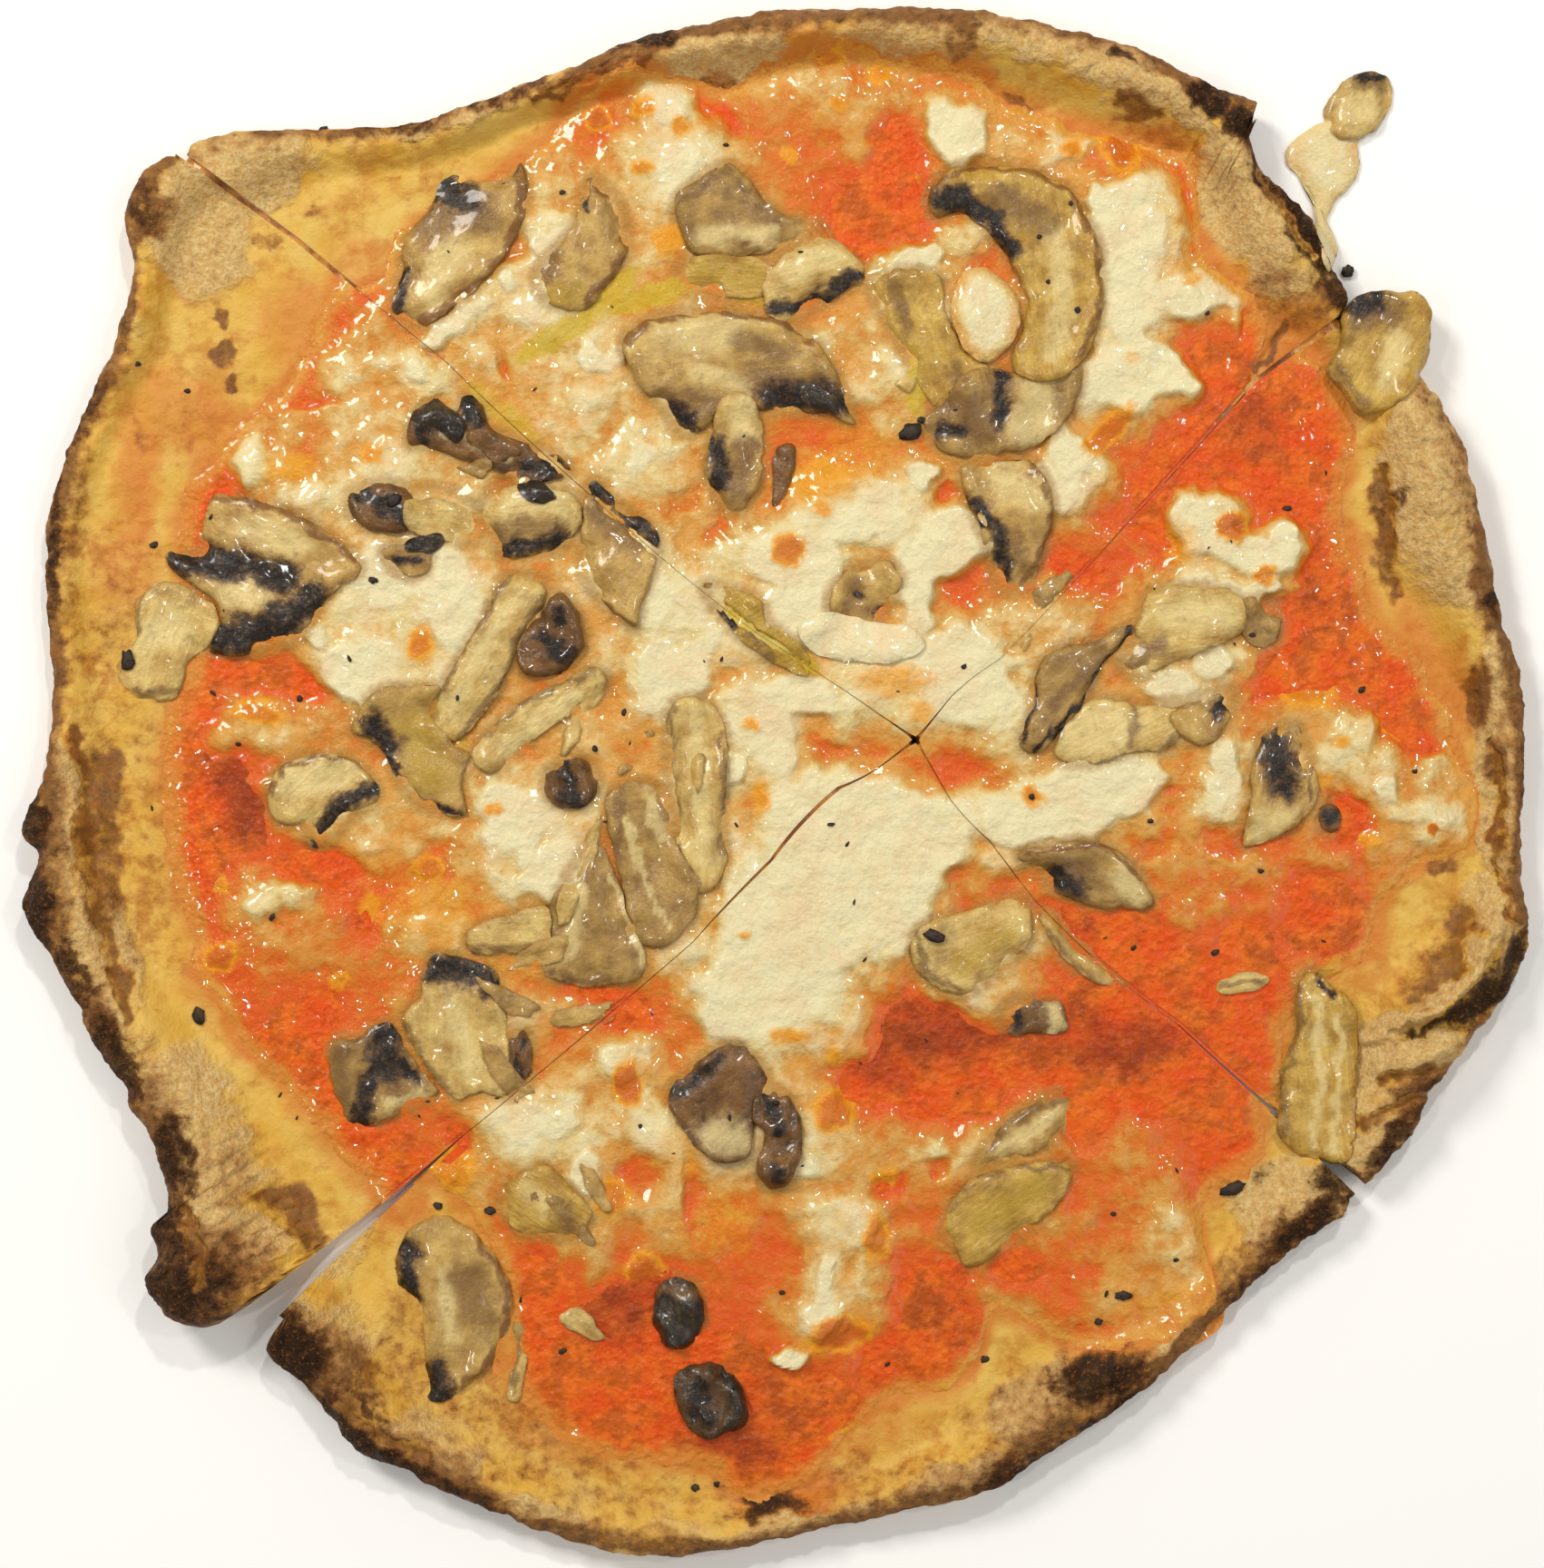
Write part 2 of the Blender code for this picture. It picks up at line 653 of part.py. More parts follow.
def flat_grid(columns, rows, point):
    """A flat sheet of triangles: a grid of faces whose corner (i, j) is put at point(i, j)."""
    made = bmesh.new()
    grid = bmesh.ops.create_grid(made, x_segments=columns, y_segments=rows, size=0.5)
    for corner in grid["verts"]:
        i = round((corner.co.x + 0.5) * columns)
        j = round((corner.co.y + 0.5) * rows)
        corner.co.x, corner.co.y = point(i, j)
    bmesh.ops.remove_doubles(made, verts=made.verts, dist=1e-6)
    bmesh.ops.triangulate(made, faces=made.faces)
    return made


def drape(made, heights, start):
    """Lays a flat sheet down: at the height start(x, y), or on what lies under it if higher."""
    rest = heights.spread(1) + CLEARANCE
    for corner in made.verts:
        under = float(heights.read(rest, corner.co.x, corner.co.y))
        corner.co.z = max(start(corner.co.x, corner.co.y), under)
    for _ in range(SETTLE_ROUNDS):
        made.verts.index_update()
        made.faces.ensure_lookup_table()
        lifts = {}
        for r, c, z, face in heights.hits(made):
            short = rest[r, c] - z
            if short > SETTLED:
                for corner in made.faces[face].verts:
                    lifts[corner] = max(lifts.get(corner, 0), short)
        if not lifts:
            break
        for corner, lift in lifts.items():
            corner.co.z += lift


def thicken(made, thickness):
    """Gives a sheet its upper face, at a thickness(x, y) over the lower one."""
    top = bmesh.ops.extrude_face_region(made, geom=made.faces[:])
    for corner in top["geom"]:
        if isinstance(corner, bmesh.types.BMVert):
            corner.co.z += thickness(corner.co.x, corner.co.y)


def dough_radius(plan, j, angle):
    """How far row j of a slice's grid lies from the tip, at an angle."""
    reach = plan.along(plan.radii, angle)
    sauce = reach - plan.along(plan.bares, angle)
    if j <= SAUCE_ROWS:
        return sauce * j / SAUCE_ROWS
    return sauce + (reach - sauce) * BARE_ROWS[j - SAUCE_ROWS - 1]


def slice_point(plan, i, j):
    """The corner of a slice's grid in column i and row j."""
    first, last = plan.ends
    radius = dough_radius(plan, j, first + (last - first) * i / SPOKES)
    return plan.point(i / SPOKES, radius)


def make_dough(plan, finish, heights, collection):
    """One slice's dough, with the rim raised round its outer edge."""
    solid = flat_grid(SPOKES, SAUCE_ROWS + len(BARE_ROWS), lambda i, j: slice_point(plan, i, j))
    thicken(solid, lambda x, y: float(plan.height(x, y)))
    flat = [f for f in solid.faces if all(v.co.z == 0 for v in f.verts)]
    bmesh.ops.dissolve_faces(solid, faces=flat)
    heights.lay(solid)
    return add_object(f"dough_{plan.cut.name}", solid, finish, collection)


def make_sauce(plan, finish, heights, collection):
    """One slice's sauce, a thin sheet from its tip to where the dough is bare."""
    solid = flat_grid(SPOKES, SAUCE_ROWS, lambda i, j: slice_point(plan, i, j))
    for corner in solid.verts:
        corner.co.z = float(plan.height(corner.co.x, corner.co.y)) + CLEARANCE
    thicken(solid, lambda x, y: SAUCE_THICKNESS)
    heights.lay(solid)
    return add_object(f"sauce_{plan.cut.name}", solid, finish, collection)


def largest_island(made):
    """Removes every face that isn't joined to the largest run of faces."""
    left, islands = set(made.faces), []
    while left:
        island, open_faces = set(), [left.pop()]
        while open_faces:
            face = open_faces.pop()
            island.add(face)
            for edge in face.edges:
                for other in edge.link_faces:
                    if other in left:
                        left.discard(other)
                        open_faces.append(other)
        islands.append(island)
    keep = max(islands, key=len)
    drop = [f for island in islands if island is not keep for f in island]
    bmesh.ops.delete(made, geom=drop, context="FACES")


def separate_pinches(made):
    """Opens each corner where two runs of faces touch at one point only."""
    for corner in list(made.verts):
        rim = [e for e in corner.link_edges if len(e.link_faces) == 1]
        if len(rim) > 2:
            bmesh.ops.delete(made, geom=[min(corner.link_faces, key=lambda f: f.index)], context="FACES")


def make_cheese(plan, finish, heights, collection):
    """One slice's melted cheese: a sheet with holes, where its depth is above 0."""
    made = bmesh.new()
    count = int(2 * RASTER_HALF / CHEESE_CELL)
    bmesh.ops.create_grid(made, x_segments=count, y_segments=count, size=RASTER_HALF)

    def inside(x, y):
        radius, reach, _, across = plan.polar(x, y)
        first, last = plan.sides(radius)
        side = radius * np.minimum(across, 1 - across) * (last - first)
        return np.minimum(side - CHEESE_INSET, cheese_depth(plan, x, y) * 3)

    values = {v: float(inside(v.co.x, v.co.y)) for v in made.verts}
    bmesh.ops.delete(
        made, geom=[f for f in made.faces if max(values[v] for v in f.verts) <= 0], context="FACES"
    )
    bmesh.ops.delete(
        made,
        geom=[f for f in made.faces if sum(values[v] > 0 for v in f.verts) < 2],
        context="FACES",
    )
    for _ in range(3):
        made.faces.index_update()
        separate_pinches(made)
        largest_island(made)
    bmesh.ops.delete(made, geom=[v for v in made.verts if not v.link_faces], context="VERTS")
    for corner in made.verts:
        if any(len(e.link_faces) == 1 for e in corner.link_edges):
            slide_to_edge(corner, inside)
    bmesh.ops.triangulate(made, faces=made.faces)
    drape(made, heights, lambda x, y: 0.0)
    thicken(made, lambda x, y: max(CHEESE_LEAST, float(cheese_depth(plan, x, y))))
    heights.lay(made)
    return add_object(f"cheese_{plan.cut.name}", made, finish, collection)


def slide_to_edge(corner, inside):
    """Moves a corner on the rim of the sheet to where the cheese ends."""
    step, limit = CHEESE_CELL * 0.1, CHEESE_CELL * SLIDE_LIMIT
    start = corner.co.copy()
    for _ in range(SLIDE_STEPS):
        x, y = corner.co.x, corner.co.y
        value = float(inside(x, y))
        slope = Vector(
            (
                float(inside(x + step, y)) - float(inside(x - step, y)),
                float(inside(x, y + step)) - float(inside(x, y - step)),
                0,
            )
        )
        if abs(value) < 5e-5 or slope.length < 1e-9:
            break
        move = slope.normalized() * (-step if value > 0 else step)
        if (corner.co + move - start).length > limit:
            break
        corner.co += move


def make_mushroom(piece, seed, finish, heights, collection):
    """One piece of mushroom, draped over what lies under it."""
    corners = mushroom_outline(piece, seed)
    middle = corners.mean(axis=0)
    count = len(corners)
    made = bmesh.new()
    large = max(piece.length, piece.width) * PIXEL > SMALL_PIECE
    bmesh.ops.create_circle(made, cap_ends=True, cap_tris=True, segments=count, radius=1)
    if large:
        spokes = [e for e in made.edges if len(e.link_faces) == 2]
        bmesh.ops.subdivide_edges(made, edges=spokes, cuts=1)
        bmesh.ops.triangulate(made, faces=made.faces)
    for corner in made.verts:
        turned = math.atan2(corner.co.y, corner.co.x) % (2 * math.pi)
        at = corners[round(turned / (2 * math.pi) * count) % count]
        spot = middle + (at - middle) * corner.co.length
        corner.co = (spot[0], spot[1], 0)
    rest = heights.spread(1)
    highest = max(float(heights.read(rest, v.co.x, v.co.y)) for v in made.verts)
    drape(made, heights, lambda x, y: highest - SAG)
    stiff = max(v.co.z for v in made.verts) - SAG
    for corner in made.verts:
        corner.co.z = max(corner.co.z, stiff)
    edge = {(v.co.x, v.co.y) for v in made.verts if v.is_boundary}
    edge_thickness = MUSHROOM_THICKNESS * (EDGE_THINNESS if large else SMALL_THINNESS)
    thicken(made, lambda x, y: edge_thickness if (x, y) in edge else MUSHROOM_THICKNESS)
    heights.lay(made)
    return add_object(f"mushroom_{piece.name}", made, finish, collection)


def make_strand(finish, heights, collection):
    """The strand of cheese and sauce on the table, from the rim to the stray mushroom."""
    line = np.array([place(*p[:2]) for p in STRAND])
    widths = np.array([p[2] * PIXEL for p in STRAND])
    along = np.gradient(line, axis=0)
    along /= np.hypot(along[:, 0], along[:, 1])[:, None]
    side = np.column_stack((-along[:, 1], along[:, 0]))

    def point(i, j):
        return line[j] + side[j] * widths[j] * (i / STRAND_FACES - 0.5)

    solid = flat_grid(STRAND_FACES, len(STRAND) - 1, point)
    thicken(solid, lambda x, y: STRAND_THICKNESS)
    heights.lay(solid)
    return add_object("cheese_strand", solid, finish, collection)


def main():
    """Builds the pizza, layer by layer."""
    for old in list(bpy.data.objects):
        bpy.data.objects.remove(old, do_unlink=True)
    collection = bpy.data.collections.new("mushroom_pizza")
    bpy.context.scene.collection.children.link(collection)
    dough = material("baked_dough", (0.72, 0.46, 0.22), 0.75)
    sauce = material("tomato_sauce", (0.62, 0.11, 0.03), 0.30)
    cheese = material("melted_cheese", (0.86, 0.76, 0.50), 0.35)
    flesh = material("mushroom", (0.52, 0.40, 0.24), 0.40)

    heights = HeightMap()
    plans = [Plan(cut) for cut in SLICES]
    for plan in plans:
        make_dough(plan, dough, heights, collection)
    for plan in plans:
        make_sauce(plan, sauce, heights, collection)
    for plan in plans:
        make_cheese(plan, cheese, heights, collection)
    make_strand(cheese, heights, collection)
    for seed, piece in enumerate(MUSHROOMS):
        make_mushroom(piece, seed, flesh, heights, collection)


main()
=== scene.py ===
"""Looks of a baked mushroom pizza, cut in four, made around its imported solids.

The pizza lies on the plane z = 0 with its middle over the origin, and +Y points away from the diner.
Places across it are pixels of the picture that it was measured from, and PIXEL turns them into metres.
Heights and thicknesses are metres. Every piece is laid on what carries it: sauce on dough, cheese on
sauce, mushrooms on whatever lies under them.
"""

from __future__ import annotations

import logging
import math
from dataclasses import dataclass, field
from enum import Enum
from typing import Any, Callable, Iterable, NamedTuple, Sequence

import bmesh
import bpy
import numpy as np
from mathutils import Matrix, Vector, noise

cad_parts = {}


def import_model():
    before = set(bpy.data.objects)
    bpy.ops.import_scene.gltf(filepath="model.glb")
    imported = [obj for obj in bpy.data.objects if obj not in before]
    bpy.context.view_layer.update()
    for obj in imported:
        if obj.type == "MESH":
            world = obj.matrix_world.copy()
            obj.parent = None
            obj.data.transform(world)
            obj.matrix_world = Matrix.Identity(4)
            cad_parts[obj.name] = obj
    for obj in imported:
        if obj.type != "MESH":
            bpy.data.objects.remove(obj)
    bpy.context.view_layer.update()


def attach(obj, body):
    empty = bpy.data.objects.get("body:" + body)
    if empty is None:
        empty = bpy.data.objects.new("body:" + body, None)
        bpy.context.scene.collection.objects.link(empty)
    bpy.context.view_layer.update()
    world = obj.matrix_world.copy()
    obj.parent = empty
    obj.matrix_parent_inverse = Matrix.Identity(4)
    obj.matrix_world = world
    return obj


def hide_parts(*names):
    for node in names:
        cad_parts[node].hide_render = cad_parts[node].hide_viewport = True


LOG = logging.getLogger("mushroom_pizza")
Array = np.ndarray

# Driving dimensions ---------------------------------------------------------------------------
PIZZA_LENGTH = 0.307  # from the diner's side to the far side
PIZZA_PIXELS = 1706.0  # the same length in the picture
PIXEL = PIZZA_LENGTH / PIZZA_PIXELS
MIDDLE = (855.0, 865.0)  # the pixel over the origin
CROSSING = (1010.0, 815.0)  # where the two knife cuts cross
FRAME_PIXELS = (1702.0, 1728.0)  # the picture's width and height

FLOOR_THICKNESS = 0.0040  # dough under the toppings
SAUCE_THICKNESS = 0.0009
CHEESE_THIN = 0.0011
CHEESE_THICK = 0.0026
JUICE_REACH = 0.0032  # how far a mushroom slice's juices go into the cheese
JUICE_STEPS = 4  # places on its outline, between two of its points, that the juices are measured from
MUSHROOM_THICKNESS = 0.0021
LOWEST_TOP = 0.0007  # height of the upper face of what lies on the table
CUT_WIDTH = 0.0009  # the knife's path where it is narrowest
RIM_CREST_AT = 0.36  # where the crest stands, as a share of the rim's width from its edge
RIM_EDGE_SHARE = 0.5  # height of the outer edge, as a share of the crest's

MM = 0.001
FAR = 9.0  # farther than anything is from anything else here


def place(x: float | Array, y: float | Array) -> tuple[Any, Any]:
    """Pixels to metres."""
    return (x - MIDDLE[0]) * PIXEL, (MIDDLE[1] - y) * PIXEL


def smoothstep(value: Array, low: float = 0.0, high: float = 1.0) -> Array:
    """An S from 0 at low to 1 at high."""
    t = np.clip((value - low) / (high - low), 0.0, 1.0)
    return t * t * (3 - 2 * t)


# Noise ----------------------------------------------------------------------------------------
class Noise:
    """Seeded noise over the plane, from about -1 to 1.

    Where two noises mustn't look alike, one of them is read at places moved aside, such as x + 0.3.
    """

    SIZE = 256  # cells along the lattice, after which it repeats
    LAYER_SHIFT = (17.3, 9.1)  # moves each layer aside, so that the layers' bumps don't line up

    def __init__(self, seed: int) -> None:
        """Draws the lattice.

        Args:
            seed: picks the pattern.
        """
        draw = np.random.default_rng(seed)
        angle = draw.uniform(0, 2 * math.pi, (self.SIZE, self.SIZE))
        self.slope_x, self.slope_y = np.cos(angle), np.sin(angle)
        self.spot_x, self.spot_y = draw.uniform(0.1, 0.9, (2, self.SIZE, self.SIZE))

    def plain(self, x: Array, y: Array) -> Array:
        """One layer of noise, whose bumps are about 1 apart.

        Args:
            x: places, counted in bumps.
            y: places, counted in bumps.

        Returns:
            The noise, from about -1 to 1.
        """
        column, row = np.floor(x).astype(int), np.floor(y).astype(int)
        fx, fy = x - column, y - row
        blend_x = fx**3 * (fx * (fx * 6 - 15) + 10)
        blend_y = fy**3 * (fy * (fy * 6 - 15) + 10)

        def corner(right: int, up: int) -> Array:
            """What one corner of each point's cell adds."""
            c, r = (column + right) % self.SIZE, (row + up) % self.SIZE
            return self.slope_x[r, c] * (fx - right) + self.slope_y[r, c] * (fy - up)

        near = corner(0, 0) + blend_x * (corner(1, 0) - corner(0, 0))
        far = corner(0, 1) + blend_x * (corner(1, 1) - corner(0, 1))
        return 1.5 * (near + blend_y * (far - near))

    def layered(self, x: Array, y: Array, length: float, layers: int = 3, fade: float = 0.5) -> Array:
        """Noise with finer and weaker layers over it.

        Args:
            x: places, in metres.
            y: places, in metres.
            length: from one bump to the next, in metres.
            layers: how many layers there are, each half as long as the last.
            fade: how strong each layer is, against the last.

        Returns:
            The sum of the layers.
        """
        total = np.zeros(np.shape(x))
        for layer in range(layers):
            scale = 2**layer / length
            right, up = (shift * layer for shift in self.LAYER_SHIFT)
            total += fade**layer * self.plain(x * scale + right, y * scale + up)
        return total

    def cells(self, x: Array, y: Array, length: float) -> Array:
        """Distance to the nearest of many scattered points.

        Args:
            x: places, in metres.
            y: places, in metres.
            length: from one point to the next, in metres.

        Returns:
            The distances, as shares of that length.
        """
        x, y = x / length, y / length
        column, row = np.floor(x).astype(int), np.floor(y).astype(int)
        nearest = np.full(np.shape(x), FAR)
        for right in (-1, 0, 1):
            for up in (-1, 0, 1):
                c, r = (column + right) % self.SIZE, (row + up) % self.SIZE
                dx = column + right + self.spot_x[r, c] - x
                dy = row + up + self.spot_y[r, c] - y
                nearest = np.minimum(nearest, np.hypot(dx, dy))
        return nearest


# Spots and outlines drawn on the pizza --------------------------------------------------------
class Spot(NamedTuple):
    """An ellipse, in pixels."""

    x: float  # its middle
    y: float
    rx: float  # half its length and half its width
    ry: float
    turn: float = 0.0  # anticlockwise, in degrees
    strength: float = 1.0


def spots(*rows: tuple[float, ...]) -> tuple[Spot, ...]:
    """Spots from their rows of numbers."""
    return tuple(Spot(*row) for row in rows)


def reach_of(spot: Spot, x: Array, y: Array) -> Array:
    """How far places are from a spot's middle.

    Args:
        spot: the spot.
        x: places, in metres.
        y: places, in metres.

    Returns:
        The distances, where 1 is the spot's edge.
    """
    cx, cy = place(spot.x, spot.y)
    turn = math.radians(spot.turn)
    along = (x - cx) * math.cos(turn) + (y - cy) * math.sin(turn)
    across = (y - cy) * math.cos(turn) - (x - cx) * math.sin(turn)
    return np.hypot(along / (spot.rx * PIXEL), across / (spot.ry * PIXEL))


def covered(given: Iterable[Spot], x: Array, y: Array, soft: float = 0.5) -> Array:
    """How strongly the strongest spot covers each place.

    Args:
        given: the spots.
        x: places, in metres.
        y: places, in metres.
        soft: width of a spot's soft edge, as a share of its size.

    Returns:
        0 where no spot is, and up to a spot's strength at its middle.
    """
    found = np.zeros(np.shape(x))
    for spot in given:
        cx, cy = place(spot.x, spot.y)
        far = max(spot.rx, spot.ry) * PIXEL * (1 + soft)
        near = (np.abs(x - cx) < far) & (np.abs(y - cy) < far)
        if near.any():
            edge = 1 - smoothstep(reach_of(spot, x[near], y[near]), 1 - soft / 2, 1 + soft / 2)
            found[near] = np.maximum(found[near], spot.strength * edge)
    return found


def stroked(line: Sequence[tuple[float, float]], width: float, x: Array, y: Array) -> Array:
    """How strongly a soft line shows at each place.

    Args:
        line: its pixels.
        width: from its middle to its edge, in pixels.
        x: places, in metres.
        y: places, in metres.

    Returns:
        1 on the line and 0 away from it.
    """
    points = np.array([place(*p) for p in line])
    nearest = np.full(x.shape, FAR)
    for a, b in zip(points[:-1], points[1:]):
        way = b - a
        share = np.clip(((x - a[0]) * way[0] + (y - a[1]) * way[1]) / (way @ way), 0, 1)
        nearest = np.minimum(nearest, np.hypot(x - a[0] - share * way[0], y - a[1] - share * way[1]))
    return 1 - smoothstep(nearest / (width * PIXEL), 0.2, 1.8)


class Coat(NamedTuple):
    """Spots that pull what lies under them to one level."""

    level: float
    soft: float  # width of a spot's soft edge, as a share of its size
    rows: tuple[tuple[float, ...], ...]  # the numbers of each spot


def painted(coats: Iterable[Coat], base: float, x: Array, y: Array) -> Array:
    """The level that coats leave at each place.

    Args:
        coats: the coats, in order.
        base: the level before them.
        x: places, in metres.
        y: places, in metres.

    Returns:
        The levels.
    """
    level = np.full(np.shape(x), base)
    for coat in coats:
        for spot in spots(*coat.rows):
            level += (coat.level - level) * covered((spot,), x, y, coat.soft)
    return level


def smooth_line(points: Sequence[tuple[float, float]], steps: int, closed: bool) -> Array:
    """A smooth line through points.

    Args:
        points: the points, in pixels.
        steps: places on the line from each point to the next.
        closed: whether the line comes back to its start.

    Returns:
        The line in metres, one row for each place.
    """
    given = np.array([place(*p) for p in points])
    count = len(given)
    spans = count if closed else count - 1
    line = []
    for i in range(spans):
        if closed:
            a, b, c, d = (given[(i + k) % count] for k in (-1, 0, 1, 2))
        else:
            a, b, c, d = (given[min(max(i + k, 0), count - 1)] for k in (-1, 0, 1, 2))
        t = np.linspace(0, 1, steps, endpoint=False)[:, None]
        square, cube = 2 * a - 5 * b + 4 * c - d, 3 * b - a - 3 * c + d
        line.append(0.5 * (2 * b + (c - a) * t + square * t**2 + cube * t**3))
    if not closed:
        line.append(given[-1:])
    return np.concatenate(line)


# The slices -----------------------------------------------------------------------------------
class Station(NamedTuple):
    """One place on the outer edge of the dough."""

    x: float  # pixel of the edge
    y: float
    rim: float  # width of the raised rim, in pixels
    crest: float  # height of the rim, in mm


class Cut(NamedTuple):
    """One place on a knife cut."""

    x: float  # pixel
    y: float
    width: float  # how far the slices stand apart there, in mm


CUT_UPPER_RIGHT = (
    Cut(1048, 768, 0.9), Cut(1100, 728, 0.9), Cut(1240, 580, 1.0), Cut(1385, 420, 1.2), Cut(1478, 352, 1.6),
)
CUT_UPPER_LEFT = (
    Cut(925, 757, 0.9), Cut(837, 700, 0.9), Cut(650, 545, 1.0), Cut(493, 400, 1.0), Cut(325, 262, 1.0),
    Cut(202, 172, 1.2),
)
CUT_LOWER_LEFT = (
    Cut(966, 848, 0.9), Cut(925, 868, 1.5), Cut(850, 948, 1.4), Cut(765, 1037, 1.0), Cut(510, 1252, 1.0),
    Cut(398, 1352, 2.4), Cut(300, 1436, 5.5),
)
CUT_LOWER_RIGHT = (
    Cut(1048, 882, 0.9), Cut(1090, 926, 1.0), Cut(1140, 991, 1.0), Cut(1300, 1130, 1.0), Cut(1400, 1220, 1.4),
    Cut(1495, 1306, 2.8),
)


class Quarter(NamedTuple):
    """A quarter of the pizza, anticlockwise from one cut to the next."""

    name: str
    start: tuple[Cut, ...]  # the cut that it starts at
    end: tuple[Cut, ...]
    stations: tuple[Station, ...]
    edge: tuple[tuple[float, float], ...]  # pixels of the dough's outer edge
    sauce: tuple[tuple[float, float], ...]  # pixels of the sauce's outer edge


TOP = Quarter(
    "top", CUT_UPPER_RIGHT, CUT_UPPER_LEFT, (
        Station(1482, 340, 60, 7), Station(1475, 300, 90, 9), Station(1440, 240, 110, 12),
        Station(1388, 170, 90, 12), Station(1320, 88, 90, 12), Station(1250, 55, 95, 13),
        Station(1090, 20, 85, 13), Station(940, 15, 60, 12), Station(780, 28, 75, 12), Station(705, 45, 55, 11),
        Station(640, 72, 50, 10), Station(555, 105, 45, 9), Station(480, 130, 55, 8), Station(330, 146, 75, 8),
        Station(260, 146, 90, 9), Station(207, 165, 100, 9),
    ), (
        (1482, 342), (1484, 325), (1463, 285), (1440, 241), (1395, 195), (1374, 145), (1387, 122), (1372, 110),
        (1345, 102), (1275, 67), (1200, 41), (1110, 21), (1030, 10), (950, 12), (850, 15), (755, 32), (700, 45),
        (635, 73), (550, 104), (475, 132), (410, 144), (340, 146), (258, 146), (215, 156), (207, 166),
    ), (
        (1372, 430), (1390, 400), (1395, 340), (1330, 270), (1320, 180), (1270, 150), (1200, 140), (1110, 110),
        (1080, 80), (1000, 62), (910, 50), (860, 65), (800, 90), (700, 75), (640, 100), (600, 150), (560, 180),
        (450, 250), (420, 300), (385, 315),
    ),
)
LEFT = Quarter(
    "left", CUT_UPPER_LEFT, CUT_LOWER_LEFT, (
        Station(190, 176, 80, 10), Station(150, 210, 70, 10), Station(141, 265, 70, 9),
        Station(140, 340, 60, 8), Station(108, 425, 50, 7), Station(52, 590, 45, 6.5), Station(46, 690, 50, 7),
        Station(44, 780, 60, 8), Station(48, 865, 70, 9), Station(27, 915, 100, 11), Station(46, 950, 90, 10),
        Station(29, 1003, 110, 12), Station(78, 1085, 100, 11), Station(110, 1165, 110, 12),
        Station(160, 1240, 120, 12), Station(185, 1310, 140, 14), Station(168, 1412, 170, 17),
        Station(222, 1458, 170, 17), Station(278, 1436, 150, 16),
    ), (
        (196, 176), (185, 171), (150, 205), (139, 250), (147, 300), (125, 380), (100, 440), (72, 500),
        (52, 575), (50, 640), (54, 700), (58, 760), (55, 820), (44, 872), (26, 915), (46, 945), (30, 985),
        (30, 1010), (62, 1062), (88, 1108), (105, 1150), (140, 1198), (145, 1222), (165, 1245), (181, 1288),
        (188, 1332), (170, 1350), (177, 1382), (163, 1408), (180, 1440), (215, 1458), (245, 1456), (278, 1440),
        (286, 1424),
    ), (
        (360, 320), (330, 390), (300, 435), (250, 480), (205, 540), (195, 590), (200, 650), (210, 720),
        (190, 770), (178, 830), (183, 900), (195, 990), (215, 1040), (210, 1070), (240, 1110), (260, 1150),
        (290, 1180), (340, 1230), (370, 1270), (400, 1300), (420, 1325),
    ),
)
BOTTOM = Quarter(
    "bottom", CUT_LOWER_LEFT, CUT_LOWER_RIGHT, (
        Station(315, 1452, 100, 12), Station(299, 1484, 110, 12), Station(335, 1525, 100, 12),
        Station(388, 1592, 90, 11), Station(470, 1628, 80, 10), Station(650, 1705, 70, 9),
        Station(850, 1702, 50, 9), Station(960, 1678, 60, 9), Station(1060, 1652, 80, 11),
        Station(1150, 1605, 100, 11), Station(1235, 1550, 90, 10), Station(1300, 1492, 60, 8),
        Station(1375, 1422, 60, 8), Station(1440, 1358, 90, 9), Station(1484, 1324, 100, 9),
    ), (
        (314, 1452), (300, 1472), (297, 1490), (330, 1520), (365, 1560), (395, 1598), (445, 1617), (500, 1647),
        (550, 1665), (600, 1688), (660, 1706), (730, 1716), (800, 1708), (880, 1690), (960, 1672), (1040, 1655),
        (1100, 1637), (1160, 1597), (1230, 1553), (1285, 1510), (1335, 1460), (1375, 1420), (1425, 1376),
        (1480, 1337), (1488, 1322),
    ), (
        (455, 1290), (470, 1300), (500, 1320), (540, 1370), (565, 1450), (570, 1540), (600, 1570), (640, 1600),
        (700, 1610), (780, 1625), (820, 1650), (880, 1640), (920, 1600), (960, 1560), (1000, 1540),
        (1050, 1530), (1080, 1500), (1100, 1450), (1150, 1470), (1200, 1490), (1280, 1475), (1335, 1445),
        (1340, 1410), (1330, 1370), (1330, 1320), (1380, 1290), (1395, 1260), (1390, 1215),
    ),
)
